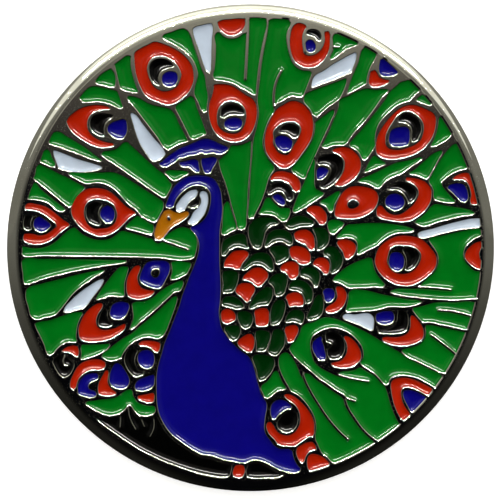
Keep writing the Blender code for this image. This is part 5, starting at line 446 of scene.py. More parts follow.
  0.78,0.08 0.76,0.22 0.83,0.5 0.97,0.77 1.19,0.93 1.47,0.98 1.75,0.96 2.02,0.82 2.16,0.59 2.2,0.36
  2.16,0.2 2.02,0.15 1.84,0.25 1.61,0.34 1.38,0.34 1.15,0.25 0.97,0.11 0.85,0.06
scale_03 dark
  1.79,1.14 1.88,1.32 2.11,1.55 2.43,1.69 2.76,1.67 3.08,1.53 3.28,1.39 3.31,1.28 3.22,1.2 3.03,1.13
  2.76,1.13 2.43,1.06 2.16,0.97 1.98,1.01
scale_04 red
  2.27,0.73 2.39,0.84 2.66,0.93 2.94,0.93 3.12,0.82 3.28,0.59 3.33,0.31 3.33,0.04 3.26,-0.1 3.15,-0.12
  3.03,-0.03 2.85,0.18 2.62,0.27 2.43,0.36 2.32,0.5
scale_05 dark
  3.22,1.03 3.4,1.05 3.67,1.07 3.9,0.98 4.06,0.77 4.09,0.54 4.04,0.27 3.86,0.04 3.63,-0.1 3.49,-0.08
  3.47,0.04 3.47,0.31 3.42,0.59 3.33,0.82
drop_c_red red
  2.92,1.92 2.96,2.04 3.12,2.15 3.4,2.19 3.63,2.13 3.81,1.97 3.95,1.74 3.97,1.51 3.9,1.3 3.77,1.21
  3.63,1.23 3.51,1.37 3.35,1.55 3.12,1.74
plume_c_f green
  3.61,2.33 3.67,2.43 3.9,2.56 4.22,2.75 4.5,2.93 4.64,2.95 4.66,2.88 4.55,2.61 4.36,2.24 4.27,1.92
  4.18,1.85 4.09,1.9 4.02,2.06 3.86,2.22 3.67,2.29
plume_c_g green
  4.02,1.14 4.04,1.32 4.22,1.45 4.5,1.44 4.73,1.37 4.87,1.28 4.8,1.14 4.64,0.98 4.45,0.8 4.29,0.73
  4.18,0.77 4.09,0.91
eye_e2_red red
  4.39,1.78 4.43,2.06 4.55,2.43 4.68,2.7 4.87,2.95 5.14,3.14 5.51,3.21 5.88,3.18 6.25,3.09 6.47,2.98
  6.61,2.8 6.65,2.61 6.58,2.29 6.42,2.01 6.19,1.81 5.92,1.67 5.65,1.57 5.19,1.53 4.73,1.55 4.5,1.6
  4.41,1.67 hole 5.06,2.15 5.07,2.38 5.19,2.49 5.33,2.54 5.51,2.49 5.67,2.33 5.65,2.22 5.51,2.1 5.35,2.04
  5.14,2.06
plume_e_a green
  4.48,0.5 4.55,0.64 4.73,0.86 4.91,1.09 5.05,1.19 5.42,1.23 5.88,1.27 6.93,1.27 7.39,1.23 7.85,1.16
  8.3,1.05 8.51,0.95 8.4,0.84 8.12,0.8 7.71,0.8 7.39,0.7 7.11,0.57 6.84,0.36 6.56,0.11 6.24,-0.05
  5.83,-0.26 5.69,-0.35 5.6,-0.35 5.58,-0.28 5.58,0.04 5.56,0.27 5.42,0.45 5.19,0.54 4.91,0.55 4.64,0.5
scale_19 red
  4.5,0.23 4.55,0.34 4.78,0.43 5.05,0.41 5.35,0.28 5.49,0.05 5.44,-0.23 5.28,-0.46 5.1,-0.57 4.96,-0.57
  4.89,-0.44 4.8,-0.18 4.64,0.02
scale_18 dark
  3.79,-0.28 3.83,-0.14 4.04,0.05 4.32,0.07 4.55,-0.07 4.68,-0.28 4.8,-0.55 4.78,-0.78 4.64,-1.06
  4.45,-1.26 4.27,-1.33 4.18,-1.29 4.2,-1.01 4.18,-0.74 4.09,-0.53 3.9,-0.39
scale_10 dark
  1.01,-0.14 1.03,0 1.24,0.09 1.47,0.14 1.75,0.12 1.95,0 1.99,-0.23 1.98,-0.51 1.84,-0.64 1.65,-0.76
  1.42,-0.86 1.34,-0.8 1.26,-0.55 1.15,-0.35
scale_11 red
  2.04,-0.14 2.09,0 2.3,0.09 2.57,0.07 2.89,-0.05 3.08,-0.28 3.12,-0.55 3.05,-0.78 2.89,-0.85 2.66,-0.86
  2.5,-0.8 2.39,-0.67 2.2,-0.57 2.09,-0.41
scale_06 dark
  -1.48,-0.37 -1.51,-0.24 -1.48,0.13 -1.42,0.36 -1.19,0.54 -0.86,0.68 -0.54,0.75 -0.31,0.68 -0.22,0.54
  -0.18,0.22 -0.13,0.04 -0.14,-0.03 -0.31,-0.01 -0.59,0.06 -0.82,0.04 -1.05,-0.08 -1.23,-0.28 -1.37,-0.42
scale_07 red
  -0.91,-0.21 -0.59,-0.14 -0.27,-0.16 -0.11,-0.25 -0.11,-0.37 -0.27,-0.6 -0.45,-0.83 -0.57,-1.06
  -0.68,-1.11 -0.86,-1.06 -1.14,-1 -1.35,-0.99 -1.37,-0.87 -1.28,-0.6 -1.09,-0.37
scale_08 dark
  -1.46,-1.38 -1.4,-1.22 -1.14,-1.17 -0.82,-1.19 -0.64,-1.31 -0.63,-1.52 -0.7,-1.84 -0.84,-2.16 -0.96,-2.3
  -1.14,-2.33 -1.39,-2.34 -1.45,-2.2 -1.42,-1.84
scale_09 dark
  -0.41,-1.15 -0.44,-1.06 -0.27,-0.78 -0.05,-0.51 0.28,-0.28 0.6,-0.23 0.92,-0.32 1.1,-0.55 1.19,-0.87
  1.17,-1.15 1.06,-1.23 0.92,-1.15 0.74,-0.99 0.46,-0.86 0.18,-0.88 -0.09,-1.01 -0.27,-1.15
scale_12 red
  -0.41,-1.65 -0.34,-1.47 -0.09,-1.24 0.18,-1.06 0.46,-1.03 0.74,-1.15 0.9,-1.33 0.9,-1.52 0.74,-1.75
  0.55,-1.95 0.39,-2.03 0.23,-1.93 0.05,-1.77 -0.18,-1.69
scale_13 red
  -0.77,-2.25 -0.73,-2.07 -0.54,-1.88 -0.27,-1.84 0.01,-1.88 0.21,-2.07 0.21,-2.25 0.05,-2.53 -0.08,-2.76
  -0.2,-2.84 -0.31,-2.73 -0.5,-2.53 -0.68,-2.41
scale_14 dark
  -1.46,-2.94 -1.46,-2.71 -1.32,-2.57 -1.05,-2.5 -0.73,-2.57 -0.5,-2.76 -0.36,-2.99 -0.36,-3.12
  -0.54,-3.16 -0.77,-3.18 -1,-3.1 -1.23,-3.05 -1.44,-3.01
scale_15 dark
  -0.05,-3.17 -0.07,-3.08 0.09,-2.71 0.32,-2.39 0.6,-2.16 0.92,-2.02 1.08,-2.07 1.15,-2.25 1.13,-2.53
  1.01,-2.8 0.87,-2.96 0.6,-2.99 0.32,-3.05 0.09,-3.18
scale_16 dark
  0.94,-1.81 0.97,-1.7 1.15,-1.47 1.42,-1.33 1.7,-1.36 1.88,-1.52 1.91,-1.75 1.84,-2.07 1.75,-2.34
  1.61,-2.48 1.42,-2.5 1.29,-2.43 1.26,-2.25 1.22,-2.07 1.1,-1.91
scale_17 red
  1.54,-1.08 1.63,-0.92 1.84,-0.78 2.07,-0.71 2.34,-0.76 2.48,-0.87 2.5,-1.15 2.48,-1.42 2.34,-1.56
  2.16,-1.63 2.04,-1.57 1.95,-1.4 1.79,-1.26 1.61,-1.19
scale_20 dark
  2.62,-1.47 2.6,-1.24 2.76,-1.06 3.08,-0.99 3.35,-1.06 3.56,-1.24 3.61,-1.47 3.56,-1.79 3.44,-2.02
  3.35,-2.05 3.28,-1.93 3.17,-1.75 2.99,-1.59 2.76,-1.51
scale_21 dark
  2.02,-2.16 2.02,-1.95 2.16,-1.75 2.43,-1.65 2.76,-1.7 3.03,-1.88 3.22,-2.2 3.24,-2.53 3.15,-2.8
  3.01,-2.89 2.89,-2.85 2.82,-2.62 2.71,-2.39 2.53,-2.25 2.25,-2.2
scale_22 red
  1.84,-2.62 1.88,-2.5 2.07,-2.37 2.34,-2.32 2.57,-2.39 2.71,-2.57 2.76,-2.85 2.71,-3.01 2.53,-3.03
  2.3,-3.01 2.07,-3.08 2,-2.99 1.93,-2.76
scale_23 dark
  2.94,-3.67 2.95,-3.54 3.08,-3.26 3.22,-2.94 3.35,-2.62 3.54,-2.43 3.7,-2.48 3.79,-2.76 3.79,-3.12
  3.7,-3.44 3.49,-3.65 3.22,-3.74 3.03,-3.74
scale_24 red
  3.26,-0.87 3.31,-0.71 3.49,-0.55 3.72,-0.51 3.95,-0.6 4.09,-0.78 4.11,-1.06 4.04,-1.33 3.9,-1.38
  3.79,-1.29 3.67,-1.15 3.49,-1.01 3.33,-0.94
scale_25 dark
  -0.68,-3.44 -0.64,-3.34 -0.45,-3.28 -0.18,-3.31 0.05,-3.44 0.12,-3.67 0.08,-3.9 -0.08,-4.13 -0.27,-4.22
  -0.43,-4.13 -0.57,-3.9 -0.66,-3.67
scale_26 red
  -1.53,-3.58 -1.51,-3.35 -1.37,-3.21 -1.14,-3.19 -0.91,-3.31 -0.78,-3.54 -0.8,-3.74 -0.96,-3.86
  -1.28,-3.94 -1.42,-3.88 -1.5,-3.74
scale_27 dark
  -1.35,-4.22 -1.3,-4.09 -1.09,-4.04 -0.82,-4.02 -0.59,-4.06 -0.52,-4.27 -0.59,-4.55 -0.75,-4.78
  -0.89,-4.84 -1.05,-4.73 -1.23,-4.48
scale_28 red
  -0.68,-4.96 -0.64,-4.87 -0.41,-4.64 -0.13,-4.5 0.05,-4.5 0.17,-4.68 0.2,-4.96 0.15,-5.23 0.03,-5.42
  -0.13,-5.42 -0.36,-5.3 -0.59,-5.12
scale_29 red
  0.21,-3.35 0.25,-3.24 0.55,-3.15 0.83,-3.17 0.93,-3.28 0.96,-3.58 0.93,-3.9 0.83,-4.06 0.55,-4.09
  0.35,-4.06 0.28,-3.95 0.25,-3.63
scale_30 dark
  1.08,-4 1.06,-3.81 1.05,-3.49 1.1,-3.12 1.24,-2.85 1.47,-2.69 1.7,-2.71 1.81,-2.89 1.79,-3.21 1.7,-3.54
  1.56,-3.81 1.38,-3.97 1.19,-4.02
scale_31 dark
  1.81,-3.83 1.84,-3.7 1.98,-3.4 2.2,-3.24 2.48,-3.21 2.71,-3.31 2.8,-3.49 2.78,-3.72 2.69,-3.93
  2.57,-3.95 2.39,-3.86 2.16,-3.83 1.93,-3.88
scale_32 dark
  0.32,-5.37 0.32,-5.19 0.3,-4.87 0.25,-4.55 0.28,-4.36 0.51,-4.27 0.83,-4.32 1.01,-4.41 1.03,-4.64
  0.94,-4.96 0.83,-5.23 0.69,-5.37 0.51,-5.39
scale_33 dark
  0.9,-5.37 0.97,-5.14 1.06,-4.82 1.13,-4.5 1.19,-4.32 1.38,-4.22 1.61,-4.27 1.77,-4.45 1.79,-4.73
  1.75,-5.05 1.56,-5.37 1.38,-5.58 1.26,-5.61 1.06,-5.53
scale_34 red
  1.79,-4.27 1.84,-4.13 2.11,-4.04 2.39,-4.06 2.48,-4.18 2.46,-4.41 2.34,-4.64 2.18,-4.87 2.04,-4.92
  1.93,-4.87 1.88,-4.64
scale_35 dark
  0.09,-5.75 0.2,-5.6 0.62,-5.56 0.97,-5.62 1.19,-5.76 1.25,-6.02 1.15,-6.33 0.97,-6.61 0.78,-6.8
  0.6,-6.91 0.47,-6.89 0.39,-6.74 0.32,-6.38 0.21,-6.06
plume_e_b green
  5.92,3.94 5.99,4.08 6.19,4.49 6.42,4.78 6.51,4.8 6.61,4.7 6.84,4.54 7.02,4.42 7,4.33 6.7,4.22 6.33,4.08
  6.06,3.96
plume_e_c green
  5.6,3.44 5.74,3.59 6.01,3.7 6.47,3.9 7.07,4.2 7.57,4.42 8.12,4.53 8.53,4.63 8.86,4.7 8.97,4.66 8.74,4.49
  8.3,4.2 7.85,3.88 7.55,3.76 7.12,3.55 6.88,3.32 6.72,3.14 6.6,3.11 6.4,3.22 6.02,3.38
plume_e_d green
  8.28,3.85 8.3,3.94 8.49,4.03 8.76,4.26 9.13,4.58 9.45,4.86 9.77,5.02 9.96,5.07 9.98,5 9.82,4.68
  9.59,4.26 9.36,3.85 9.22,3.64 9.09,3.6 8.95,3.67 8.72,3.78 8.4,3.83
plume_e_e green
  10.7,5.42 10.58,5.38 10.37,5.2 10.14,4.93 9.82,4.47 9.59,4.08 9.38,3.7 9.3,3.5 9.33,3.38 9.45,3.21
  9.53,2.98 9.54,2.65 9.62,2.49 9.82,2.45 10.14,2.38 10.6,2.35 10.66,2.44 10.42,2.7 10.17,2.97 9.97,3.25
  9.93,3.42 10.19,3.67 10.51,3.89 10.88,4.06 11.24,4.15 11.32,4.24 11.2,4.63 11.01,5 10.83,5.32
eye_e3_blue blue
  10.26,3.11 10.33,3.23 10.55,3.32 10.88,3.34 11.06,3.3 11.22,3.11 11.31,2.84 11.31,2.56 11.24,2.43
  11.11,2.38 10.97,2.43 10.74,2.66 10.51,2.89
eye_e3_red red
  10.53,3.57 10.6,3.67 10.88,3.83 11.15,3.9 11.36,3.87 11.52,3.67 11.7,3.25 11.84,2.75 11.88,2.38
  11.84,2.29 11.66,2.24 11.5,2.29 11.45,2.43 11.5,2.7 11.47,2.98 11.38,3.25 11.24,3.46 11.06,3.55
  10.78,3.56
eye_e4_red red
  8.08,3.57 8.14,3.67 8.4,3.64 8.76,3.57 9.04,3.46 9.25,3.28 9.41,3.02 9.42,2.75 9.38,2.47 9.22,2.15
  8.95,1.83 8.63,1.6 8.26,1.42 7.89,1.37 7.39,1.42 7.02,1.48 6.74,1.58 6.61,1.67 6.57,1.83 6.61,2.1
  6.7,2.2 6.84,2.17 6.97,2.01 7.16,1.83 7.52,1.71 7.89,1.78 8.17,1.97 8.44,2.2 8.67,2.52 8.76,2.79
  8.74,3.02 8.58,3.25 8.35,3.41 8.12,3.5
eye_e4_black black
  7.16,3.02 7.18,3.16 7.34,3.3 7.62,3.37 7.94,3.39 8.26,3.28 8.53,3.07 8.65,2.89 8.63,2.7 8.49,2.47
  8.35,2.36 8.24,2.38 8.17,2.52 8.05,2.75 7.85,2.93 7.52,3.05 7.29,3.02
eye_e4_blue blue
  7.02,2.42 7.12,2.66 7.32,2.79 7.52,2.82 7.78,2.75 7.96,2.58 8.02,2.36 7.92,2.13 7.72,1.99 7.5,1.96
  7.26,2.04 7.08,2.2
plume_e_f green
  8.56,1.3 8.62,1.4 8.86,1.58 9.13,1.83 9.41,2.15 9.56,2.26 9.77,2.27 10.14,2.2 10.6,2.13 11.06,2.06
  11.52,1.92 11.68,1.8 11.56,1.74 11.06,1.67 10.37,1.52 9.68,1.34 9.04,1.14 8.9,1.14 8.66,1.26
quill_e white
  8.72,0.68 8.76,0.77 8.95,0.86 9.45,0.98 10.14,1.19 10.83,1.37 11.52,1.51 11.98,1.53 12.03,1.46
  12.03,1.19 11.95,1.12 11.29,1.03 10.6,0.91 9.91,0.75 9.22,0.57 8.95,0.52 8.76,0.59
plume_e_g green
  9.29,0.42 9.36,0.48 9.91,0.61 10.6,0.77 11.29,0.91 11.89,0.98 12.07,0.91 12.12,0.75 12,0.66 11.61,0.47
  11.33,0.24 11.18,0.06 11.1,-0.2 11.08,-0.46 11.16,-0.68 11.36,-0.93 11.68,-1.2 11.98,-1.28 12.05,-1.4
  12.02,-1.84 11.9,-2.5 11.82,-2.58 11.5,-2.64 10.6,-2.69 9.68,-2.66 8.76,-2.57 7.85,-2.45 7.32,-2.33
  7.3,-2.27 7.48,-2.18 8.3,-2.14 8.82,-2.13 8.88,-1.95 9.02,-1.78 9.27,-1.56 9.59,-1.24 9.75,-0.92
  9.8,-0.6 9.73,-0.28 9.54,0.05 9.36,0.3 line 0.13 8.8,-2.06 9.4,-2.1 10.42,-2.19
eye_e5_red red
  11.17,-0.44 11.24,-0.18 11.43,0.05 11.7,0.25 11.98,0.34 12.08,0.27 12.08,0.14 11.98,-0.05 11.91,-0.28
  11.93,-0.51 12.05,-0.78 12.08,-0.97 12.03,-1.08 11.89,-1.1 11.61,-0.97 11.34,-0.74
eye_e6_red red
  6.49,-0.74 6.54,-0.37 6.67,-0.05 6.91,0.22 7.16,0.4 7.48,0.55 7.85,0.63 8.3,0.61 8.67,0.54 8.99,0.38
  9.28,0.1 9.47,-0.12 9.62,-0.35 9.69,-0.64 9.63,-0.97 9.41,-1.29 9.09,-1.56 8.76,-1.79 8.4,-1.93
  7.98,-1.97 7.57,-1.88 7.16,-1.68 6.84,-1.42 6.61,-1.1 hole 7.11,-0.74 7.16,-0.37 7.27,-0.05 7.48,0.11
  7.98,0.14 8.4,0.09 8.72,-0.09 8.88,-0.32 8.88,-0.55 8.76,-0.87 8.53,-1.15 8.26,-1.31 7.94,-1.37
  7.52,-1.29 7.25,-1.06
eye_e6_blue blue
  7.23,-0.6 7.32,-0.32 7.52,-0.23 7.8,-0.28 7.96,-0.46 8,-0.78 7.92,-1.06 7.75,-1.2 7.52,-1.19 7.32,-1.03
  7.22,-0.83
eye_e6_black black
  7.93,-0.14 8.12,-0.02 8.44,-0.05 8.7,-0.23 8.79,-0.41 8.72,-0.69 8.53,-0.97 8.3,-1.15 8.12,-1.17
  8.09,-1.08 8.14,-0.78 8.1,-0.46
plume_sw_a green
  -11.9,-0.68 -11.82,-0.6 -11,-0.58 -9,-0.6 -7.2,-0.63 -6.5,-0.66 -6.46,-0.72 -6.6,-0.77 -7.24,-0.86
  -8.62,-1.09 -10,-1.39 -10.91,-1.64 -11.58,-1.87 -11.72,-1.9 -11.78,-1.8 -11.85,-1.29 -11.91,-0.85
plume_sw_b green
  -11.65,-2.16 -11.56,-2.08 -10.91,-1.88 -10,-1.65 -9.08,-1.42 -8.16,-1.22 -7.65,-1.15 -7.61,-1.2
  -7.7,-1.26 -8.16,-1.52 -8.71,-1.91 -9.26,-2.39 -9.63,-2.85 -10,-3.31 -10.11,-3.43 -10.68,-3.6
  -11.23,-3.7 -11.37,-3.61 -11.56,-3.08 -11.7,-2.48
quill_sw white
  -9.72,-3.33 -9.7,-3.21 -9.35,-2.76 -8.85,-2.3 -8.34,-1.95 -7.88,-1.68 -7.7,-1.63 -7.64,-1.7 -7.75,-1.93
  -8.02,-2.3 -8.3,-2.66 -8.53,-2.99 -8.76,-3.15 -9.17,-3.26 -9.58,-3.35
plume_sw_c green
  -6.78,-1.01 -6.41,-0.99 -6.36,-1.06 -6.46,-1.42 -6.57,-1.84 -6.58,-2.2 -6.57,-2.46 -6.69,-2.53
  -7.01,-2.49 -7.33,-2.5 -7.65,-2.6 -7.98,-2.7 -8.04,-2.66 -7.93,-2.43 -7.7,-2.07 -7.38,-1.65 -7.06,-1.26
eye_sw1_red red
  -5.82,-0.92 -5.73,-1.01 -5.8,-1.24 -5.89,-1.47 -5.88,-1.72 -5.74,-2.02 -5.36,-2.2 -5.04,-2.23 -5.01,-2.3
  -5.09,-2.41 -5.32,-2.55 -5.73,-2.66 -6.1,-2.64 -6.33,-2.53 -6.42,-2.34 -6.45,-1.98 -6.38,-1.52
  -6.22,-1.2 -6.01,-0.97
eye_sw1_blue blue
  -5.76,-1.65 -5.72,-1.38 -5.59,-1.06 -5.41,-0.8 -5.13,-0.69 -4.72,-0.67 -4.35,-0.73 -4.22,-0.87
  -4.2,-1.06 -4.26,-1.33 -4.4,-1.61 -4.58,-1.93 -4.68,-2.06 -4.86,-2.11 -5.18,-2.05 -5.5,-1.91 -5.7,-1.76
  hole -5.18,-1.42 -5.18,-1.24 -5.04,-1.1 -4.81,-1.06 -4.74,-1.15 -4.74,-1.38 -4.86,-1.54 -5.04,-1.56
plume_s_a green
  -4.13,-0.78 -4.06,-0.74 -3.44,-0.74 -3.13,-0.78 -3.11,-0.85 -3.22,-1.15 -3.36,-1.38 -3.53,-1.47
  -3.9,-1.63 -4.13,-1.66 -4.15,-1.56 -4.08,-1.29 -4.08,-1.01
plume_s_b green
  -3.71,-1.74 -3.55,-1.7 -3.5,-1.81 -3.58,-2.07 -3.68,-2.23 -3.8,-2.27 -3.94,-2.27 -4.08,-2.39 -4.35,-2.64
  -4.72,-2.99 -5.27,-3.47 -5.73,-3.84 -6.15,-4.2 -6.28,-4.23 -6.21,-4 -6.1,-3.67 -6.12,-3.26 -6.17,-2.94
  -6.05,-2.85 -5.6,-2.8 -5.13,-2.62 -4.68,-2.25 -4.26,-1.98
plume_s_c green
  -3.9,-2.53 -3.81,-2.57 -3.85,-2.8 -4.03,-3.35 -4.22,-3.86 -4.45,-4.41 -4.54,-4.55 -4.68,-4.66
  -4.86,-4.73 -5.13,-4.66 -5.41,-4.64 -5.73,-4.71 -6.05,-4.87 -6.33,-5.07 -6.56,-5.35 -6.68,-5.55
  -6.78,-5.74 -6.96,-5.81 -7.29,-5.88 -7.52,-5.81 -7.72,-5.69 -7.7,-5.56 -7.38,-5.28 -7.06,-5.02
  -6.65,-4.73 -6.19,-4.45 -5.73,-4.06 -5.27,-3.69 -4.72,-3.2 -4.26,-2.78 -4.03,-2.58
plume_sw_d green
  -11.23,-3.97 -11.17,-3.93 -10.45,-3.77 -9.77,-3.54 -9.08,-3.36 -8.78,-3.35 -8.75,-3.44 -8.87,-3.63
  -9,-3.95 -9.07,-4.32 -9.09,-4.68 -9.05,-4.87 -9.17,-4.91 -9.44,-4.89 -9.72,-4.96 -9.95,-5.12
  -10.18,-5.35 -10.32,-5.52 -10.45,-5.58 -10.55,-5.51 -10.73,-5.05 -10.96,-4.55 -11.17,-4.13
eye_sw2_red red
  -7.79,-2.87 -7.7,-2.96 -7.73,-3.08 -7.95,-3.44 -8.05,-3.77 -8.01,-4.04 -7.79,-4.25 -7.47,-4.27 -7.1,-4.2
  -6.74,-4.04 -6.55,-3.96 -6.5,-4.03 -6.55,-4.2 -6.83,-4.45 -7.24,-4.71 -7.7,-4.84 -8.16,-4.89 -8.62,-4.86
  -8.85,-4.73 -8.93,-4.5 -8.93,-4.13 -8.84,-3.86 -8.62,-3.44 -8.3,-3.12 -7.98,-2.92
eye_sw2_black black
  -7.6,-3.14 -7.76,-3.38 -7.88,-3.7 -7.91,-3.95 -7.84,-4.05 -7.6,-4.11 -7.38,-4.1 -7.2,-4.02 -7.25,-3.93
  -7.36,-3.8 -7.47,-3.55 -7.47,-3.28
eye_sw2_blue blue
  -7.31,-3.49 -7.29,-3.26 -7.19,-2.99 -6.96,-2.85 -6.64,-2.82 -6.38,-2.89 -6.32,-3.03 -6.39,-3.31
  -6.55,-3.58 -6.69,-3.68 -6.96,-3.72 -7.19,-3.65
plume_sw_e green
  -8.82,-5.14 -8.76,-5.05 -8.39,-5.05 -7.88,-5.03 -7.38,-5 -7.33,-5.07 -7.47,-5.26 -7.88,-5.51 -8.34,-5.69
  -8.76,-5.81 -8.82,-5.76 -8.8,-5.46
eye_sw3_red red
  -9.81,-5.4 -9.72,-5.28 -9.44,-5.14 -9.14,-5.1 -8.99,-5.17 -8.95,-5.37 -8.99,-5.62 -9.08,-5.69
  -9.21,-5.56 -9.44,-5.42 -9.67,-5.41
heart_black black
  -10.3,-5.95 -10.2,-5.74 -9.95,-5.62 -9.65,-5.66 -9.4,-5.78 -9.22,-5.95 -9.2,-6.15 -9.3,-6.4 -9.49,-6.65
  -9.7,-6.75 -9.88,-6.65 -10.08,-6.38 line 0.08 -9.62,-5.6 -9.76,-5.92 -9.7,-6.1 -9.54,-6.15
hook_sw_red red
  -9.24,-7.38 -9.35,-7.3 -9.39,-7.12 -9.35,-6.9 -9.21,-6.56 -9.03,-6.24 -8.8,-6.01 -8.48,-5.87 -8.07,-5.81
  -7.72,-5.87 -7.57,-5.99 -7.56,-6.15 -7.7,-6.31 -7.88,-6.37 -8.16,-6.34 -8.43,-6.4 -8.71,-6.56
  -8.94,-6.79 -9.05,-7.07 -9.12,-7.3
comma_sw_blue blue
  -8.98,-7.48 -8.98,-7.16 -8.85,-6.88 -8.62,-6.65 -8.3,-6.54 -8.02,-6.54 -7.93,-6.65 -7.96,-6.81
  -8.07,-6.89 -8.18,-6.93 -8.37,-7.04 -8.46,-7.2 -8.41,-7.36 -8.23,-7.43 -8.08,-7.5 -8.03,-7.63 -8.1,-7.75
  -8.3,-7.79 -8.62,-7.73 -8.88,-7.66 -8.97,-7.59
hook_s_red red
  -7.47,-6.37 -7.41,-6.44 -7.42,-6.7 -7.44,-7.02 -7.34,-7.25 -7.15,-7.43 -7,-7.53 -7.01,-7.62 -7.15,-7.68
  -7.47,-7.7 -7.75,-7.67 -7.9,-7.59 -7.93,-7.39 -7.91,-7.11 -7.8,-6.84 -7.67,-6.61 -7.56,-6.42
drop_s_blue blue
  -6.94,-6.01 -6.82,-6.06 -6.64,-6.24 -6.47,-6.51 -6.35,-6.74 -6.31,-6.97 -6.38,-7.15 -6.55,-7.31
  -6.78,-7.34 -7.06,-7.28 -7.24,-7.13 -7.33,-6.97 -7.33,-6.7 -7.27,-6.42 -7.16,-6.19 -7.06,-6.05
eye_s1_black black
  -6.3,-5.28 -6.05,-5.27 -5.88,-5.38 -5.96,-5.52 -6.04,-5.75 -6.04,-5.97 -5.95,-6.22 -5.8,-6.38 -5.6,-6.48
  -5.57,-6.56 -5.71,-6.65 -5.89,-6.71 -6.12,-6.62 -6.31,-6.42 -6.47,-6.15 -6.55,-5.9 -6.53,-5.65
  -6.43,-5.42
eye_s1_blue blue
  -5.87,-5.79 -5.81,-5.51 -5.59,-5.35 -5.32,-5.33 -5.11,-5.46 -5.02,-5.69 -5.03,-5.97 -5.14,-6.2
  -5.32,-6.28 -5.55,-6.24 -5.77,-6.06
eye_s1_red red
  -5.82,-5.03 -5.73,-4.91 -5.46,-4.84 -5.09,-4.86 -4.83,-4.92 -4.71,-4.98 -4.71,-5.14 -4.79,-5.37
  -4.88,-5.45 -5.02,-5.38 -5.18,-5.22 -5.46,-5.12 -5.73,-5.1
moon_s_blue blue
  -5.06,-6.61 -5.01,-6.69 -5.01,-6.93 -5.05,-7.16 -5.23,-7.32 -5.5,-7.44 -5.78,-7.45 -5.97,-7.37
  -6.01,-7.25 -5.95,-7.02 -5.78,-6.86 -5.5,-6.74 -5.23,-6.65
tooth_s_red red
  -5.87,-7.8 -5.85,-7.71 -5.64,-7.67 -5.32,-7.61 -5.1,-7.55 -5.03,-7.61 -5.02,-7.85 -5.05,-8 -5.18,-8.06
  -5.41,-8.05 -5.66,-7.96 -5.82,-7.88
tuft_green green
  -8.59,-8.12 -8.53,-8.05 -8.16,-7.97 -7.79,-7.91 -7.33,-7.87 -6.96,-7.77 -6.69,-7.58 -6.46,-7.43
  -6.28,-7.38 -6.17,-7.45 -6.12,-7.71 -6.01,-7.88 -5.87,-8.05 -5.59,-8.17 -5.27,-8.23 -5.04,-8.25
  -4.97,-8.31 -4.95,-8.42 -5.02,-8.59 -5.23,-8.71 -5.55,-8.74 -5.82,-8.67 -6.03,-8.49 -6.17,-8.26
  -6.28,-8.16 -6.37,-8.19 -6.56,-8.42 -6.87,-8.63 -7.19,-8.71 -7.52,-8.69 -7.84,-8.57 -8.16,-8.4
  -8.48,-8.21
ground_black black
  -7.98,-8.93 -7.8,-8.88 -7.33,-8.9 -6.96,-8.85 -6.62,-8.64 -6.38,-8.4 -6.28,-8.36 -6.18,-8.48 -6.02,-8.73
  -5.78,-8.89 -5.36,-8.93 -5.04,-8.86 -4.92,-8.78 -4.82,-8.92 -4.62,-9.29 -4.3,-9.74 -3.98,-10.05
  -3.5,-10.38 -3.02,-10.69 -2.52,-10.93 -2,-11 -1.6,-11.15 -1.23,-11.24 -1.03,-11.27 -0.99,-11.36
  -1.02,-11.62 -1.1,-11.84 -1.2,-11.92 -1.37,-11.93 -2.06,-11.84 -2.98,-11.63 -3.9,-11.33 -4.81,-10.96
  -5.73,-10.5 -6.55,-9.98 -7.24,-9.5 -7.86,-9.04
  line 0.05 -6.78,-8.65 -6.77,-9 -6.79,-9.34
  line 0.05 -6.38,-8.25 -6.28,-8.86 -6.14,-9.18 -5.98,-9.45
  line 0.05 -5.72,-8.75 -5.64,-9.05 -5.53,-9.31
  line 0.05 -5.1,-8.7 -5.02,-9.1 -5.06,-9.5 -5.22,-9.82
foot_red red
  -0.91,-11.8 -0.89,-11.57 -0.8,-11.36 -0.59,-11.3 -0.38,-11.34 -0.3,-11.52 -0.34,-11.78 -0.45,-11.93
  -0.64,-11.96 -0.82,-11.91
foot_black black
  -0.09,-11.26 0.18,-11.18 0.51,-11.22 0.83,-11.37 1.29,-11.6 1.61,-11.76 1.7,-11.85 1.52,-11.91
  0.83,-11.97 0.14,-11.98 -0.12,-11.94 -0.19,-11.82 -0.17,-11.47
eye_se1_blue blue
  3.79,-2.25 3.86,-2.16 4.09,-2.11 4.3,-2.18 4.38,-2.34 4.34,-2.62 4.22,-2.78 4.04,-2.84 3.9,-2.76
  3.84,-2.53
eye_se1_red red
  4.44,-2.11 4.52,-2.02 4.73,-2.04 4.91,-2.2 5,-2.43 4.95,-2.76 4.78,-3.08 4.55,-3.28 4.22,-3.38
  3.99,-3.35 3.9,-3.24 3.97,-3.1 4.18,-2.96 4.41,-2.8 4.52,-2.57 4.5,-2.34
plume_se_a green
  4.29,-1.7 4.36,-1.56 4.64,-1.29 4.96,-1.03 5.42,-0.78 5.88,-0.6 6.22,-0.52 6.33,-0.57 6.38,-0.83
  6.48,-1.2 6.7,-1.55 6.9,-1.79 7,-1.93 6.93,-2 6.47,-2.02 5.55,-2.06 5.05,-2.04 4.87,-1.93 4.64,-1.81
  4.41,-1.75
plume_se_b green
  5.14,-2.3 5.23,-2.23 5.88,-2.2 6.3,-2.28 6.7,-2.39 7.39,-2.53 8.08,-2.66 8.76,-2.75 8.92,-2.82
  8.76,-2.91 8.4,-3.01 8.03,-3.05 7.62,-3.04 7.16,-3.05 6.79,-3.15 6.47,-3.23 6.01,-3.26 5.55,-3.29
  5.03,-3.32 4.97,-3.24 5.03,-2.99 5.1,-2.62
quill_se white
  4.8,-3.58 4.87,-3.5 5.42,-3.48 6.25,-3.47 6.34,-3.54 6.41,-4.04 6.38,-4.25 6.29,-4.29 6.06,-4.2
  5.6,-3.97 5.14,-3.79 4.87,-3.7
plume_se_c green
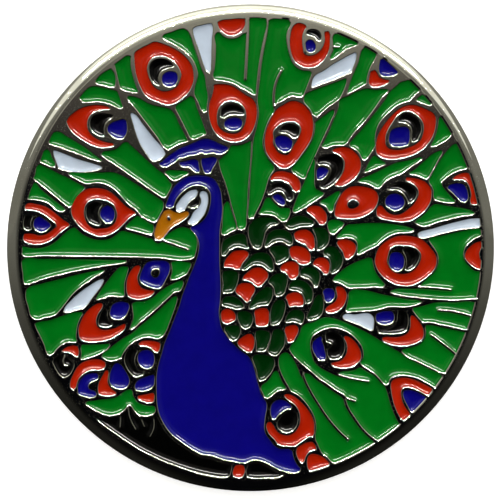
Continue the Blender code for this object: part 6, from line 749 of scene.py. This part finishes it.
  8.44,-3.21 8.49,-3.12 8.76,-3.08 9.22,-2.96 9.54,-2.87 9.91,-2.83 10.6,-2.85 11.52,-2.81 11.75,-2.87
  11.75,-3.12 11.68,-3.4 11.59,-3.58 11.48,-3.74 11.53,-3.86 11.47,-4.09 11.37,-4.24 11.24,-4.25
  10.6,-4.11 9.91,-3.97 9.31,-3.86 8.99,-3.88 8.76,-3.63 8.53,-3.35 line 0.13 9.8,-3.26 10.4,-3.31
  11,-3.43 11.5,-3.57
plume_se_d green
  9.13,-4.04 9.31,-4.02 9.91,-4.14 10.6,-4.28 11.22,-4.41 11.27,-4.53 11.06,-5 10.85,-5.48 10.72,-5.56
  10.68,-5.68 10.65,-5.83 10.51,-6.15 10.28,-6.5 10.14,-6.54 9.91,-6.47 9.45,-6.25 8.76,-5.92 8.12,-5.6
  7.89,-5.4 7.91,-5.3 8.17,-5.24 8.53,-5.14 8.86,-4.98 9.06,-4.74 9.14,-4.41 9.11,-4.15 line 0.13
  9.42,-4.56 9.95,-4.96 10.45,-5.35 10.65,-5.52
eye_se2_red red
  8.35,-3.58 8.4,-3.51 8.53,-3.58 8.76,-3.83 8.96,-4.15 9.02,-4.45 8.94,-4.73 8.76,-4.89 8.4,-5.03
  7.94,-5.1 7.48,-5.06 7.11,-4.95 6.88,-4.79 6.87,-4.69 7.02,-4.65 7.48,-4.66 7.85,-4.61 8.17,-4.45
  8.32,-4.18 8.34,-3.86
eye_se2_black black
  7.71,-3.28 8,-3.28 8.15,-3.44 8.2,-3.77 8.17,-4.09 8.05,-4.31 7.8,-4.42 7.48,-4.46 7.02,-4.45 6.74,-4.43
  6.64,-4.29 6.67,-4.2 6.88,-4.2 7.2,-4.16 7.48,-4.03 7.64,-3.81 7.66,-3.54
eye_se2_blue blue
  6.53,-3.63 6.57,-3.46 6.74,-3.36 7.11,-3.3 7.38,-3.35 7.46,-3.49 7.47,-3.72 7.38,-3.88 7.16,-3.96
  6.79,-3.96 6.59,-3.85
plume_se_e green
  2.02,-5.26 2.1,-5.1 2.39,-4.78 2.58,-4.41 2.68,-4.13 2.88,-3.97 3.26,-3.88 3.58,-3.72 3.81,-3.63
  4.18,-3.64 4.59,-3.75 5.19,-4 5.88,-4.32 6.47,-4.66 6.93,-4.95 7.39,-5.23 7.85,-5.5 8.12,-5.71
  8.76,-6.04 9.45,-6.38 9.88,-6.59 9.98,-6.72 9.98,-6.93 9.82,-7.15 9.68,-7.25 9.54,-7.22 9.31,-7.08
  8.95,-6.88 8.49,-6.7 8.03,-6.62 7.66,-6.64 7.39,-6.71 7.24,-6.87 7.16,-7.06 7.07,-7.12 6.93,-7.03
  6.7,-6.76 6.47,-6.53 6.15,-6.3 5.78,-6.07 5.72,-5.98 5.85,-5.79 5.88,-5.42 5.8,-5.12 5.6,-4.83 5.2,-4.45
  4.75,-4.22 4.3,-4.14 3.85,-4.22 3.5,-4.38 3.22,-4.6 3.12,-4.87 3.12,-5.25 3.2,-5.6 3.33,-5.95 3.54,-6.17
  3.81,-6.35 4.27,-6.58 4.56,-6.7 4.62,-6.54 4.73,-6.47 5.1,-6.42 5.46,-6.34 5.7,-6.22 6.01,-6.41
  6.38,-6.62 6.61,-6.83 6.84,-7.09 6.93,-7.15 7.07,-7.42 7.2,-7.86 7.34,-8.3 7.52,-8.76 7.66,-9.04
  7.78,-9.23 7.72,-9.36 7.39,-9.61 7.11,-9.82 6.88,-9.97 6.7,-10.02 6.52,-9.97 6.34,-9.84 5.88,-9.41
  5.42,-8.78 5.19,-8.44 5.05,-8.14 4.99,-7.95 4.97,-7.74 4.5,-7.41 4.04,-7.09 3.58,-6.77 3.12,-6.38
  2.57,-5.92 2.2,-5.55 line 0.12 4.56,-6.64 5.19,-6.8 5.88,-6.93 6.13,-6.97 line 0.12 4.85,-7.78 5.15,-7.9
  5.42,-8
eye_se3_blue blue
  3.22,-5.14 3.27,-4.91 3.44,-4.73 3.63,-4.62 3.72,-4.68 3.71,-4.87 3.79,-5.05 3.86,-5.37 3.92,-5.69
  3.89,-5.8 3.77,-5.85 3.58,-5.82 3.4,-5.6 3.28,-5.38
eye_se3_black black
  3.92,-4.5 4.04,-4.42 4.41,-4.41 4.7,-4.59 4.87,-4.91 4.9,-5.23 4.82,-5.5 4.63,-5.72 4.36,-5.8 4.13,-5.75
  4.01,-5.51 4.04,-5.28 4.18,-5.16 4.27,-5.02 4.2,-4.95 4,-4.91 3.93,-4.75
eye_se3_red red
  4.86,-4.66 4.95,-4.6 5.14,-4.65 5.42,-4.87 5.64,-5.19 5.75,-5.51 5.72,-5.81 5.56,-6 5.37,-6.15
  4.96,-6.24 4.5,-6.22 4.25,-6.11 4.2,-6.02 4.41,-5.96 4.7,-5.87 4.93,-5.65 5.04,-5.33 5.02,-5.01
plume_s_d green
  0.55,-7.29 0.6,-7.16 0.83,-6.99 1.06,-6.72 1.19,-6.49 1.32,-6.4 1.41,-6.46 1.52,-6.7 1.67,-7.02
  1.82,-7.25 1.86,-7.33 1.75,-7.38 1.47,-7.42 1.24,-7.56 1.03,-7.74 0.9,-7.83 0.79,-7.79 0.66,-7.57
eye_s2_red red
  1.75,-7.69 1.84,-7.63 2.07,-7.65 2.37,-7.81 2.69,-8.09 2.97,-8.41 3.17,-8.73 3.3,-9.1 3.31,-9.45
  3.28,-9.73 3.2,-9.82 3.03,-9.83 2.85,-9.95 2.57,-10.14 2.32,-10.31 2.02,-10.31 1.61,-10.29 1.47,-10.22
  1.24,-9.95 1.01,-9.72 0.88,-9.5 0.84,-9.22 0.9,-9.09 1.01,-9.07 1.15,-9.18 1.3,-9.45 1.47,-9.64
  1.75,-9.76 2.02,-9.76 2.25,-9.65 2.43,-9.46 2.56,-9.18 2.59,-8.86 2.54,-8.53 2.4,-8.26 2.16,-8.03
  1.88,-7.85
eye_s2_blue blue
  1.17,-8.92 1.07,-8.72 1.05,-8.49 1.11,-8.17 1.29,-7.98 1.56,-7.92 1.84,-7.99 2.05,-8.17 2.14,-8.29
  2.07,-8.36 1.84,-8.41 1.61,-8.55 1.4,-8.75 1.28,-8.93
eye_s2_black black
  1.39,-9.22 1.41,-9.09 1.53,-8.88 1.75,-8.66 2.02,-8.54 2.25,-8.52 2.4,-8.64 2.46,-8.9 2.42,-9.18
  2.28,-9.42 2.1,-9.56 1.88,-9.61 1.66,-9.55 1.48,-9.42
foot_s_red_1 red
  2.43,-10.44 2.66,-10.27 2.99,-10.13 3.2,-10.1 3.33,-10.23 3.41,-10.42 3.4,-10.52 3.26,-10.52 3.1,-10.58
  2.94,-10.74 2.83,-10.97 2.77,-11.14 2.66,-11.19 2.54,-11.06 2.43,-10.83 2.39,-10.6
foot_s_red_2 red
  2.96,-11.06 3,-10.88 3.12,-10.76 3.4,-10.75 3.7,-10.86 3.98,-11.07 4.11,-11.24 4.05,-11.34 3.72,-11.45
  3.35,-11.59 3.12,-11.63 3.02,-11.52 2.96,-11.29
plume_s_e green
  1.47,-5.92 1.52,-5.65 1.7,-5.49 1.88,-5.46 2.05,-5.58 2.28,-5.9 2.46,-6.27 2.58,-6.6 2.66,-6.75
  2.77,-6.58 2.86,-6.54 3.03,-6.56 3.31,-6.79 3.81,-7.15 4.41,-7.56 4.76,-7.81 4.85,-7.95 4.89,-8.16
  5.08,-8.52 5.36,-8.95 5.82,-9.55 6.28,-9.99 6.45,-10.14 6.43,-10.26 6.34,-10.33 5.88,-10.55 5.42,-10.78
  4.96,-10.99 4.55,-11.17 4.41,-11.21 4.23,-11.13 4,-10.88 3.77,-10.72 3.63,-10.51 3.49,-10.19 3.4,-10
  3.38,-9.82 3.42,-9.5 3.41,-9.13 3.31,-8.74 3.15,-8.42 2.94,-8.12 2.66,-7.8 2.39,-7.59 2.16,-7.48
  1.98,-7.2 1.79,-6.88 1.61,-6.51 1.49,-6.15 line 0.13 2.68,-6.45 2.78,-6.78 3.05,-7.36 3.52,-8.14
  3.98,-8.82 4.44,-9.38 4.9,-9.84 5.08,-9.98
eye_se4_red red
  7.32,-7.07 7.39,-6.92 7.62,-6.81 7.98,-6.77 8.4,-6.83 8.86,-7.02 9.22,-7.2 9.45,-7.35 9.5,-7.45
  9.43,-7.61 9.29,-7.68 9.13,-7.63 8.86,-7.48 8.53,-7.32 8.21,-7.25 7.94,-7.29 7.85,-7.43 7.85,-7.71
  7.94,-8.08 8.12,-8.4 8.28,-8.63 8.3,-8.81 8.21,-8.96 8.05,-9 7.89,-8.93 7.73,-8.7 7.54,-8.29 7.41,-7.85
  7.34,-7.43
eye_se4_blue blue
  7.95,-7.57 8,-7.44 8.21,-7.4 8.58,-7.49 8.95,-7.67 9.17,-7.86 9.19,-7.96 9.09,-8.11 8.86,-8.34
  8.63,-8.52 8.49,-8.57 8.36,-8.5 8.18,-8.21 8.02,-7.89
"""


def read_artwork(text):
    """The cells of the artwork: name, colour, loops (outline first, then holes) and raised lines."""
    cells = []
    points = None
    line_next = False
    for word in text.split():
        if "," in word:
            points.append(np.array([float(value) for value in word.split(",")]))
        elif word == "hole":
            points = []
            cells[-1]["loops"].append(points)
        elif word == "line":
            line_next = True
        elif line_next:
            points = []
            cells[-1]["lines"].append((float(word), points))
            line_next = False
        elif word in ENAMEL_COLOURS:
            points = []
            cells[-1].update(colour=word, loops=[points], lines=[])
        else:
            cells.append({"name": word})
    return cells


def direction(before, point, after):
    """The unit tangent of a curve at a point, or None at a corner."""
    back, ahead = point - before, after - point
    back_length, ahead_length = np.linalg.norm(back), np.linalg.norm(ahead)
    turn = math.acos(max(-1.0, min(1.0, back @ ahead / (back_length * ahead_length))))
    if math.degrees(turn) > CORNER_DEGREES:
        return None
    tangent = back / back_length * ahead_length + ahead / ahead_length * back_length
    return tangent / np.linalg.norm(tangent)


def curve_through(points, closed=True):
    """Points about OUTLINE_STEP apart along the smooth curve through the given ones."""
    count = len(points)
    spans = count if closed else count - 1
    tangents = [None] * count
    for i in range(count):
        if closed or 0 < i < count - 1:
            tangents[i] = direction(points[i - 1], points[i], points[(i + 1) % count])
    curve = []
    for i in range(spans):
        start, end = points[i], points[(i + 1) % count]
        leaving, arriving = tangents[i], tangents[(i + 1) % count]
        chord = end - start
        length = np.linalg.norm(chord)
        leave = chord if leaving is None else leaving * length
        arrive = chord if arriving is None else arriving * length
        steps = max(1, round(length / OUTLINE_STEP))
        for step in range(steps):
            t = step / steps
            t2, t3 = t * t, t * t * t
            curve.append(
                (2 * t3 - 3 * t2 + 1) * start
                + (t3 - 2 * t2 + t) * leave
                + (3 * t2 - 2 * t3) * end
                + (t3 - t2) * arrive
            )
    if not closed:
        curve.append(points[-1])
    return np.array(curve)


def normals_of(loop):
    """Unit normals to the left of a closed loop's direction of travel."""
    along = np.roll(loop, -1, axis=0) - np.roll(loop, 1, axis=0)
    left = np.stack((-along[:, 1], along[:, 0]), axis=1)
    return left / np.maximum(np.linalg.norm(left, axis=1, keepdims=True), 1e-9)


def signed_area(loop):
    """A closed loop's area, positive when it runs anticlockwise."""
    x, y = loop[:, 0], loop[:, 1]
    return 0.5 * float(np.sum(x * np.roll(y, -1) - y * np.roll(x, -1)))


def are_inside(points, loop):
    """Which of the points lie in a loop, by the even-odd rule."""
    x, y = loop[:, 0], loop[:, 1]
    x2, y2 = np.roll(x, -1), np.roll(y, -1)
    px, py = points[:, :1], points[:, 1:]
    crosses = (y > py) != (y2 > py)
    rise = np.where(y2 == y, 1.0, y2 - y)
    return np.sum(crosses & (px < (x2 - x) * (py - y) / rise + x), axis=1) % 2 == 1


def line_outline(width, points):
    """The closed outline of a raised line with round ends."""
    curve = curve_through(points, closed=False)
    ahead = np.gradient(curve, axis=0)
    ahead *= width / 2 / np.linalg.norm(ahead, axis=1, keepdims=True)
    left = np.stack((-ahead[:, 1], ahead[:, 0]), axis=1)
    turns = math.pi * np.arange(1, LINE_END_STEPS)[:, None] / LINE_END_STEPS
    end = curve[-1] - left[-1] * np.cos(turns) + ahead[-1] * np.sin(turns)
    start = curve[0] + left[0] * np.cos(turns) - ahead[0] * np.sin(turns)
    return np.concatenate((curve - left, end, (curve + left)[::-1], start))


def add_rings(cells):
    """Adds each cell's finely sampled loops, anticlockwise, with its raised lines as further holes."""
    for cell in cells:
        rings = [curve_through(loop) for loop in cell["loops"]]
        rings += [line_outline(width, points) for width, points in cell["lines"]]
        for ring in rings:
            reach = np.linalg.norm(ring, axis=1, keepdims=True)
            ring *= np.minimum(1, (FACE_RADIUS - RIM_MARGIN) / reach)
        cell["rings"] = [ring if signed_area(ring) > 0 else ring[::-1] for ring in rings]


def edge_samples(cells):
    """Points on the true edge between enamel and metal, leaving out stretches that a line covers.

    Each row is a point, its neighbours either way along the edge, and the unit vector to the metal.
    """
    samples = []
    for cell in cells:
        first_line = len(cell["loops"])
        for number, ring in enumerate(cell["rings"]):
            keep = np.ones(len(ring), bool)
            if number < first_line:
                for line in cell["rings"][first_line:]:
                    keep &= ~are_inside(ring, line)
            else:
                keep &= are_inside(ring, cell["rings"][0])
            to_metal = normals_of(ring) if number else -normals_of(ring)
            before, after = np.roll(ring, 1, axis=0), np.roll(ring, -1, axis=0)
            samples.append(np.stack((ring, before, after, to_metal), axis=1)[keep])
    return np.concatenate(samples)


def tree_of(points):
    """A tree that finds the nearest of the points."""
    tree = kdtree.KDTree(len(points))
    for index, (x, y) in enumerate(points):
        tree.insert((x, y, 0.0), index)
    tree.balance()
    return tree


def from_edge(tree, edge, points):
    """Each point's distance from the edge, the unit vector away from it and the one to the metal."""
    nearest = edge[[tree.find((x, y, 0.0))[1] for x, y in points]]
    offset = points - nearest[:, 0]
    for side in (1, 2):
        along = nearest[:, side] - nearest[:, 0]
        share = np.sum((points - nearest[:, 0]) * along, axis=1) / np.sum(along * along, axis=1)
        shorter = points - nearest[:, 0] - along * np.clip(share, 0, 1)[:, None]
        closer = np.linalg.norm(shorter, axis=1) < np.linalg.norm(offset, axis=1)
        offset[closer] = shorter[closer]
    distance = np.linalg.norm(offset, axis=1)
    return distance, offset / np.maximum(distance, 1e-9)[:, None], nearest[:, 3]


def leaning(gradients):
    """Unit normals of a surface that rises by these gradients."""
    normals = np.concatenate((-gradients, np.ones((len(gradients), 1))), axis=1)
    return normals / np.linalg.norm(normals, axis=1, keepdims=True)


def meniscus_gradients(tree, edge, points, depth):
    """How the enamel rises, averaged round each point so that no crease is left between slopes."""
    reach = np.minimum(SMOOTHING_REACH, SMOOTHING_SHARE * depth)[:, None]
    total = np.zeros_like(points)
    for turn in range(SMOOTHING_TURNS):
        angle = 2 * math.pi * turn / SMOOTHING_TURNS
        beside = points + reach * np.array((math.cos(angle), math.sin(angle)))
        distance, away, _ = from_edge(tree, edge, beside)
        total -= away * np.exp(-distance / MENISCUS_WIDTH)[:, None]
    return total * MENISCUS_HEIGHT / MENISCUS_WIDTH / SMOOTHING_TURNS


def relief_points(cells, tree):
    """Points in rows beside every edge that give the relief its shape."""
    found = []
    for cell in cells:
        for number, ring in enumerate(cell["rings"]):
            inward = normals_of(ring) if number == 0 else -normals_of(ring)
            for offsets, side in ((ENAMEL_OFFSETS, inward), (METAL_OFFSETS, -inward)):
                for offset in offsets:
                    every = 1 if offset < SPARSE_BEYOND else 2
                    points = (ring + side * offset)[::every]
                    distance = np.array([tree.find((x, y, 0.0))[2] for x, y in points])
                    found.append(points[distance > CLEAR_SHARE * offset])
    found = np.concatenate(found)
    return found[np.linalg.norm(found, axis=1) < FACE_RADIUS - SHOULDER_WIDTH]


def well_spaced(points):
    """The points less those that share a cell of a grid of POINT_GAP with an earlier one."""
    places = np.round(points / POINT_GAP).astype(np.int64)
    _, first = np.unique(places, axis=0, return_index=True)
    return points[np.sort(first)]


def face_circle():
    """The edge of the face, anticlockwise."""
    angles = np.arange(FACE_SEGMENTS) * 2 * math.pi / FACE_SEGMENTS
    return FACE_RADIUS * np.stack((np.cos(angles), np.sin(angles)), axis=1)


def triangulate(cells, extra):
    """Vertices, triangles and each triangle's cell number (or -1 for metal) of the whole face."""
    loops = [face_circle()] + [ring for cell in cells for ring in cell["rings"]]
    points, polygons = [], []
    for loop in loops:
        polygons.append(list(range(len(points), len(points) + len(loop))))
        points += [Vector((x, y)) for x, y in loop]
    points += [Vector((x, y)) for x, y in extra]
    found = delaunay_2d_cdt(points, [], polygons, 0, MERGED_WITHIN)
    vertices = np.array([tuple(v) for v in found[0]])
    faces = np.array(found[2])
    first, second, third = (vertices[faces[:, corner]] for corner in range(3))
    turns = np.cross(second - first, third - first)
    faces[turns < 0] = faces[turns < 0][:, ::-1]
    owner, is_outline = [None], [None]
    for number, cell in enumerate(cells):
        for ring_number in range(len(cell["rings"])):
            owner.append(number)
            is_outline.append(ring_number == 0)
    regions = np.full(len(faces), -1)
    for index, inside in enumerate(found[5]):
        held = {owner[i] for i in inside if i and is_outline[i]}
        cut = {owner[i] for i in inside if i and not is_outline[i]}
        if held - cut:
            regions[index] = min(held - cut)
    on_disc = np.array([0 in inside for inside in found[5]])
    return vertices, faces[on_disc], regions[on_disc]


def border_edges(faces):
    """The directed edges that only one of the faces has."""
    edges = np.concatenate((faces[:, [0, 1]], faces[:, [1, 2]], faces[:, [2, 0]]))
    size = int(faces.max()) + 1
    forward = edges[:, 0] * size + edges[:, 1]
    backward = edges[:, 1] * size + edges[:, 0]
    return edges[~np.isin(forward, backward)]


def new_piece(name, vertices, faces, normals, material):
    """A mesh object, in millimetres, that rides on the coin's body. The first faces have set normals."""
    mesh = bpy.data.meshes.new(name)
    mesh.from_pydata([(x * MM, y * MM, z * MM) for x, y, z in vertices], [], faces)
    mesh.shade_smooth()
    mesh.set_sharp_from_angle(angle=math.radians(SHARP_DEGREES))
    corners = np.zeros((len(mesh.loops), 3))
    corners[: len(normals)] = normals
    mesh.normals_split_custom_set(corners.tolist())
    mesh.materials.append(material)
    piece = bpy.data.objects.new(name, mesh)
    bpy.context.scene.collection.objects.link(piece)
    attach(piece, "root")
    return piece


def body_of(vertices, top, heights, flat_triangles, flat_height):
    """A relief, a flat below it and the walls where their borders meet.

    It gives the vertices, the faces and the relief's edges at the rim, which have no wall.
    """
    used = np.unique(top)
    number = {int(old): new for new, old in enumerate(used)}
    made = [(vertices[i][0], vertices[i][1], heights[i]) for i in used]
    faces = [tuple(number[int(i)] for i in face) for face in top]
    flat = {}

    def on_flat(x, y):
        place = (round(x, PLACE_DIGITS), round(y, PLACE_DIGITS))
        if place not in flat:
            flat[place] = len(made)
            made.append((x, y, flat_height))
        return flat[place]

    for triangle in flat_triangles:
        faces.append(tuple(on_flat(x, y) for x, y in triangle))
    at_rim = np.linalg.norm(vertices, axis=1) > FACE_RADIUS - ON_RIM
    rim = []
    for a, b in border_edges(top):
        start, end = number[int(a)], number[int(b)]
        if at_rim[a] and at_rim[b]:
            rim.append((start, end))
        else:
            faces.append((end, start, on_flat(*vertices[a]), on_flat(*vertices[b])))
    return made, faces, rim


def edge_profile():
    """Radii and heights from the face's edge over the rolled rim and round to the back."""
    profile = []
    for step in range(1, RIM_STEPS + 1):
        angle = math.pi / 2 * step / RIM_STEPS
        radius = FACE_RADIUS + (COIN_RADIUS - FACE_RADIUS) * math.sin(angle)
        profile.append((radius, COIN_TOP - RIM_DROP * (1 - math.cos(angle))))
    for step in range(BACK_STEPS + 1):
        angle = math.pi / 2 * step / BACK_STEPS
        radius = COIN_RADIUS - BACK_ROUNDING + BACK_ROUNDING * math.cos(angle)
        profile.append((radius, BACK_ROUNDING - BACK_ROUNDING * math.sin(angle)))
    return profile


def make_coin(relief, flat, heights, normals):
    """The struck metal: the relief between the cells, the pockets under them, rim, edge and back."""
    vertices, faces, regions = relief
    flat_vertices, flat_faces, flat_regions = flat
    metal = faces[regions < 0]
    floors = flat_vertices[flat_faces[flat_regions >= 0]]
    made, solid, rim = body_of(vertices, metal, heights, floors, POCKET_FLOOR)
    above = {start: start for start, _ in rim}
    for radius, height in edge_profile():
        below = {}
        for start in above:
            x, y, _ = made[start]
            scale = radius / np.linalg.norm((x, y))
            below[start] = len(made)
            made.append((x * scale, y * scale, height))
        solid += [(above[b], above[a], below[a], below[b]) for a, b in rim]
        above = below
    around = sorted(above, key=lambda start: math.atan2(made[start][1], made[start][0]))
    solid.append(tuple(above[start] for start in reversed(around)))
    piece = new_piece("struck_coin", made, solid, normals[metal].reshape(-1, 3), nickel())
    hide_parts("coin_body")


def make_fills(cells, relief, flat, heights, normals):
    """The enamel: a piece for each cell that the CAD has, and one for each colour of small cell."""
    vertices, faces, regions = relief
    flat_vertices, flat_faces, flat_regions = flat
    groups = {}
    for number, cell in enumerate(cells):
        has_node = "enamel_" + cell["name"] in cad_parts
        name = "fill_" + cell["name"] if has_node else "small_" + cell["colour"]
        groups.setdefault(name, []).append(number)
    materials = {colour: enamel(colour) for colour in ENAMEL_COLOURS}
    for name, members in groups.items():
        made, tops, others, set_normals = [], [], [], []
        for number in members:
            top = faces[regions == number]
            underside = flat_vertices[flat_faces[flat_regions == number][:, ::-1]]
            part, part_faces, _ = body_of(vertices, top, heights, underside, ENAMEL_UNDERSIDE)
            shifted = [tuple(i + len(made) for i in face) for face in part_faces]
            tops += shifted[: len(top)]
            others += shifted[len(top) :]
            made += part
            set_normals.append(normals[top].reshape(-1, 3))
        cell = cells[members[0]]
        material = materials[cell["colour"]]
        piece = new_piece(name, made, tops + others, np.concatenate(set_normals), material)
        if name.startswith("fill_"):
            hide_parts("enamel_" + cell["name"])


def principled(name):
    """A new material, with its nodes, links and shader."""
    material = bpy.data.materials.new(name)
    material.use_nodes = True
    nodes, links = material.node_tree.nodes, material.node_tree.links
    return material, nodes, links, nodes["Principled BSDF"]


def noise(nodes, links, size, detail):
    """The value of a noise whose lumps are size millimetres across."""
    place = nodes.new("ShaderNodeTexCoord")
    found = nodes.new("ShaderNodeTexNoise")
    found.inputs["Scale"].default_value = 1 / (size * MM)
    found.inputs["Detail"].default_value = detail
    links.new(place.outputs["Object"], found.inputs["Vector"])
    return found.outputs["Fac"]


def ramp(nodes, links, value, stops):
    """A colour ramp over a value from 0 to 1. Each stop is a position and a grey or a colour."""
    found = nodes.new("ShaderNodeValToRGB")
    elements = found.color_ramp.elements
    while len(elements) < len(stops):
        elements.new(0.5)
    for element, (position, colour) in zip(elements, stops):
        element.position = position
        element.color = (*np.broadcast_to(colour, 3).astype(float), 1)
    links.new(value, found.inputs["Fac"])
    return found.outputs["Color"]


def bump(nodes, links, height, strength, depth, shader):
    """Gives a shader relief, with its depth in millimetres."""
    found = nodes.new("ShaderNodeBump")
    found.inputs["Strength"].default_value = strength
    found.inputs["Distance"].default_value = depth * MM
    links.new(height, found.inputs["Height"])
    links.new(found.outputs["Normal"], shader.inputs["Normal"])


def nickel():
    """Polished nickel plating: slightly warm, with faint clouding and fine bright pits."""
    material, nodes, links, shader = principled("nickel_plate")
    shader.inputs["Metallic"].default_value = 1.0
    clouds = noise(nodes, links, CLOUD_SIZE, 3)
    links.new(ramp(nodes, links, clouds, NICKEL_TINTS), shader.inputs["Base Color"])
    rough = nodes.new("ShaderNodeMapRange")
    rough.inputs["To Min"].default_value, rough.inputs["To Max"].default_value = NICKEL_ROUGHNESS
    links.new(noise(nodes, links, HAZE_SIZE, 2), rough.inputs["Value"])
    links.new(rough.outputs["Result"], shader.inputs["Roughness"])
    pits = ramp(nodes, links, noise(nodes, links, PIT_SIZE, 2), PIT_STOPS)
    bump(nodes, links, pits, PIT_STRENGTH, PIT_DEPTH, shader)
    return material


def enamel(colour):
    """Glossy soft enamel: an even colour with the faintest mottling and ripple."""
    material, nodes, links, shader = principled("enamel_" + colour)
    shader.inputs["Roughness"].default_value = ENAMEL_ROUGHNESS
    shader.inputs["Specular IOR Level"].default_value = ENAMEL_SPECULAR
    base = np.array(ENAMEL_COLOURS[colour])
    shades = zip(MOTTLE_SPAN, (base * (1 - MOTTLE_SHARE), base * (1 + MOTTLE_SHARE)))
    mottle = ramp(nodes, links, noise(nodes, links, MOTTLE_SIZE, 2), tuple(shades))
    links.new(mottle, shader.inputs["Base Color"])
    ripple = noise(nodes, links, RIPPLE_SIZE, 1)
    bump(nodes, links, ripple, RIPPLE_STRENGTH, RIPPLE_DEPTH, shader)
    return material


def soft_light(name, place, size, radiance, glossy=True, diffuse=True):
    """An area light that faces the coin, with the power that gives it this radiance."""
    data = bpy.data.lights.new(name, "AREA")
    data.shape = "RECTANGLE"
    data.size, data.size_y = size
    data.energy = radiance * math.pi * size[0] * size[1]
    data.color = LIGHT_COLOUR
    light = bpy.data.objects.new(name, data)
    light.location = place
    light.rotation_mode = "QUATERNION"
    light.rotation_quaternion = (-Vector(place)).to_track_quat("-Z", "Y")
    light.visible_camera = False
    light.visible_glossy = glossy
    light.visible_diffuse = diffuse
    bpy.context.scene.collection.objects.link(light)


def from_range(nodes, links, value, limit):
    """A value from -limit to limit brought to 0 to 1."""
    found = nodes.new("ShaderNodeMapRange")
    found.inputs["From Min"].default_value = -limit
    found.inputs["From Max"].default_value = limit
    links.new(value, found.inputs["Value"])
    return found.outputs["Result"]


def worked_out(nodes, links, operation, *values):
    """The result of a math node."""
    found = nodes.new("ShaderNodeMath")
    found.operation = operation
    for value, socket in zip(values, found.inputs):
        links.new(value, socket)
    return found.outputs["Value"]


def blended(nodes, links, how, first, second):
    """Two colours blended in full."""
    found = nodes.new("ShaderNodeMix")
    found.data_type = "RGBA"
    found.blend_type = how
    found.inputs["Factor"].default_value = 1.0
    links.new(first, found.inputs["A"])
    links.new(second, found.inputs["B"])
    return found.outputs["Result"]


def make_world():
    """A dim grey room: dark overhead, a pale wash to the +Y side, grey to the sides, dark to -Y."""
    world = bpy.data.worlds.new("studio")
    bpy.context.scene.world = world
    world.use_nodes = True
    nodes, links = world.node_tree.nodes, world.node_tree.links
    place = nodes.new("ShaderNodeTexCoord")
    split = nodes.new("ShaderNodeSeparateXYZ")
    links.new(place.outputs["Generated"], split.inputs["Vector"])
    along_y = from_range(nodes, links, split.outputs["Y"], 1)
    upward = from_range(nodes, links, split.outputs["Z"], 1)
    aside = worked_out(nodes, links, "ABSOLUTE", split.outputs["X"])
    turned = worked_out(nodes, links, "ARCTAN2", split.outputs["Y"], aside)
    around = from_range(nodes, links, turned, math.pi / 2)
    spread = ramp(nodes, links, around, SPREAD_STOPS)
    overhead = ramp(nodes, links, aside, OVERHEAD_STOPS)
    reach = blended(nodes, links, "LIGHTEN", spread, overhead)
    wash = blended(nodes, links, "MULTIPLY", ramp(nodes, links, along_y, WASH_STOPS), reach)
    near = ramp(nodes, links, around, NEAR_STOPS)
    sides = blended(nodes, links, "MULTIPLY", ramp(nodes, links, aside, SIDE_STOPS), near)
    room = blended(nodes, links, "ADD", wash, sides)
    room = blended(nodes, links, "MULTIPLY", room, ramp(nodes, links, upward, LOW_STOPS))
    links.new(room, nodes["Background"].inputs["Color"])


def make_camera():
    """Straight above the face, from far enough that the coin's edge barely shows."""
    height = CAMERA_HEIGHT * MM
    data = bpy.data.cameras.new("camera")
    data.sensor_width = SENSOR_WIDTH
    data.lens = data.sensor_width * (height - COIN_TOP * MM) / (VIEW_WIDTH * MM)
    data.clip_start = NEAREST_SEEN * MM
    camera = bpy.data.objects.new("camera", data)
    camera.location = (CAMERA_OFFSET[0] * MM, CAMERA_OFFSET[1] * MM, height)
    bpy.context.scene.collection.objects.link(camera)
    bpy.context.scene.camera = camera


def make_floor():
    """A plain pale floor just under the coin."""
    mesh = bpy.data.meshes.new("floor")
    half = FLOOR_HALF * MM
    corners = [(-half, -half, 0), (half, -half, 0), (half, half, 0), (-half, half, 0)]
    mesh.from_pydata(corners, [], [(0, 1, 2, 3)])
    material, _, _, shader = principled("floor_white")
    shader.inputs["Base Color"].default_value = (FLOOR_SHADE, FLOOR_SHADE, FLOOR_SHADE, 1)
    shader.inputs["Roughness"].default_value = FLOOR_ROUGHNESS
    shader.inputs["Specular IOR Level"].default_value = 0.0
    shader.inputs["Emission Color"].default_value = (1, 1, 1, 1)
    shader.inputs["Emission Strength"].default_value = FLOOR_GLOW
    mesh.materials.append(material)
    floor = bpy.data.objects.new("floor", mesh)
    floor.location.z = -FLOOR_BELOW * MM
    floor.visible_glossy = False
    bpy.context.scene.collection.objects.link(floor)


def main():
    cells = read_artwork(ARTWORK)
    add_rings(cells)
    edge = edge_samples(cells)
    tree = tree_of(edge[:, 0])
    relief = triangulate(cells, well_spaced(relief_points(cells, tree)))
    flat = triangulate(cells, [])
    vertices, faces, regions = relief
    depth, away, to_metal = from_edge(tree, edge, vertices)
    on_edge = depth < ON_EDGE

    to_shoulder = np.clip(1 - depth / SHOULDER_WIDTH, 0, 1)
    heights = COIN_TOP - SHOULDER_DROP * to_shoulder**2
    gradients = np.where(on_edge[:, None], to_metal, away)
    gradients *= (2 * SHOULDER_DROP / SHOULDER_WIDTH * to_shoulder)[:, None]
    make_coin(relief, flat, heights, leaning(gradients))

    heights = COIN_TOP - ENAMEL_SINK + MENISCUS_HEIGHT * np.exp(-depth / MENISCUS_WIDTH)
    gradients = to_metal * MENISCUS_HEIGHT / MENISCUS_WIDTH
    inner = np.setdiff1d(faces[regions >= 0], np.flatnonzero(on_edge))
    gradients[inner] = meniscus_gradients(tree, edge, vertices[inner], depth[inner])
    make_fills(cells, relief, flat, heights, leaning(gradients))

    make_camera()
    make_world()
    soft_light("panel", *PANEL)
    soft_light("strip", *STRIP, diffuse=False)
    soft_light("fill", *FILL, glossy=False)
    make_floor()
    bpy.context.scene.view_settings.view_transform = "Standard"


main()
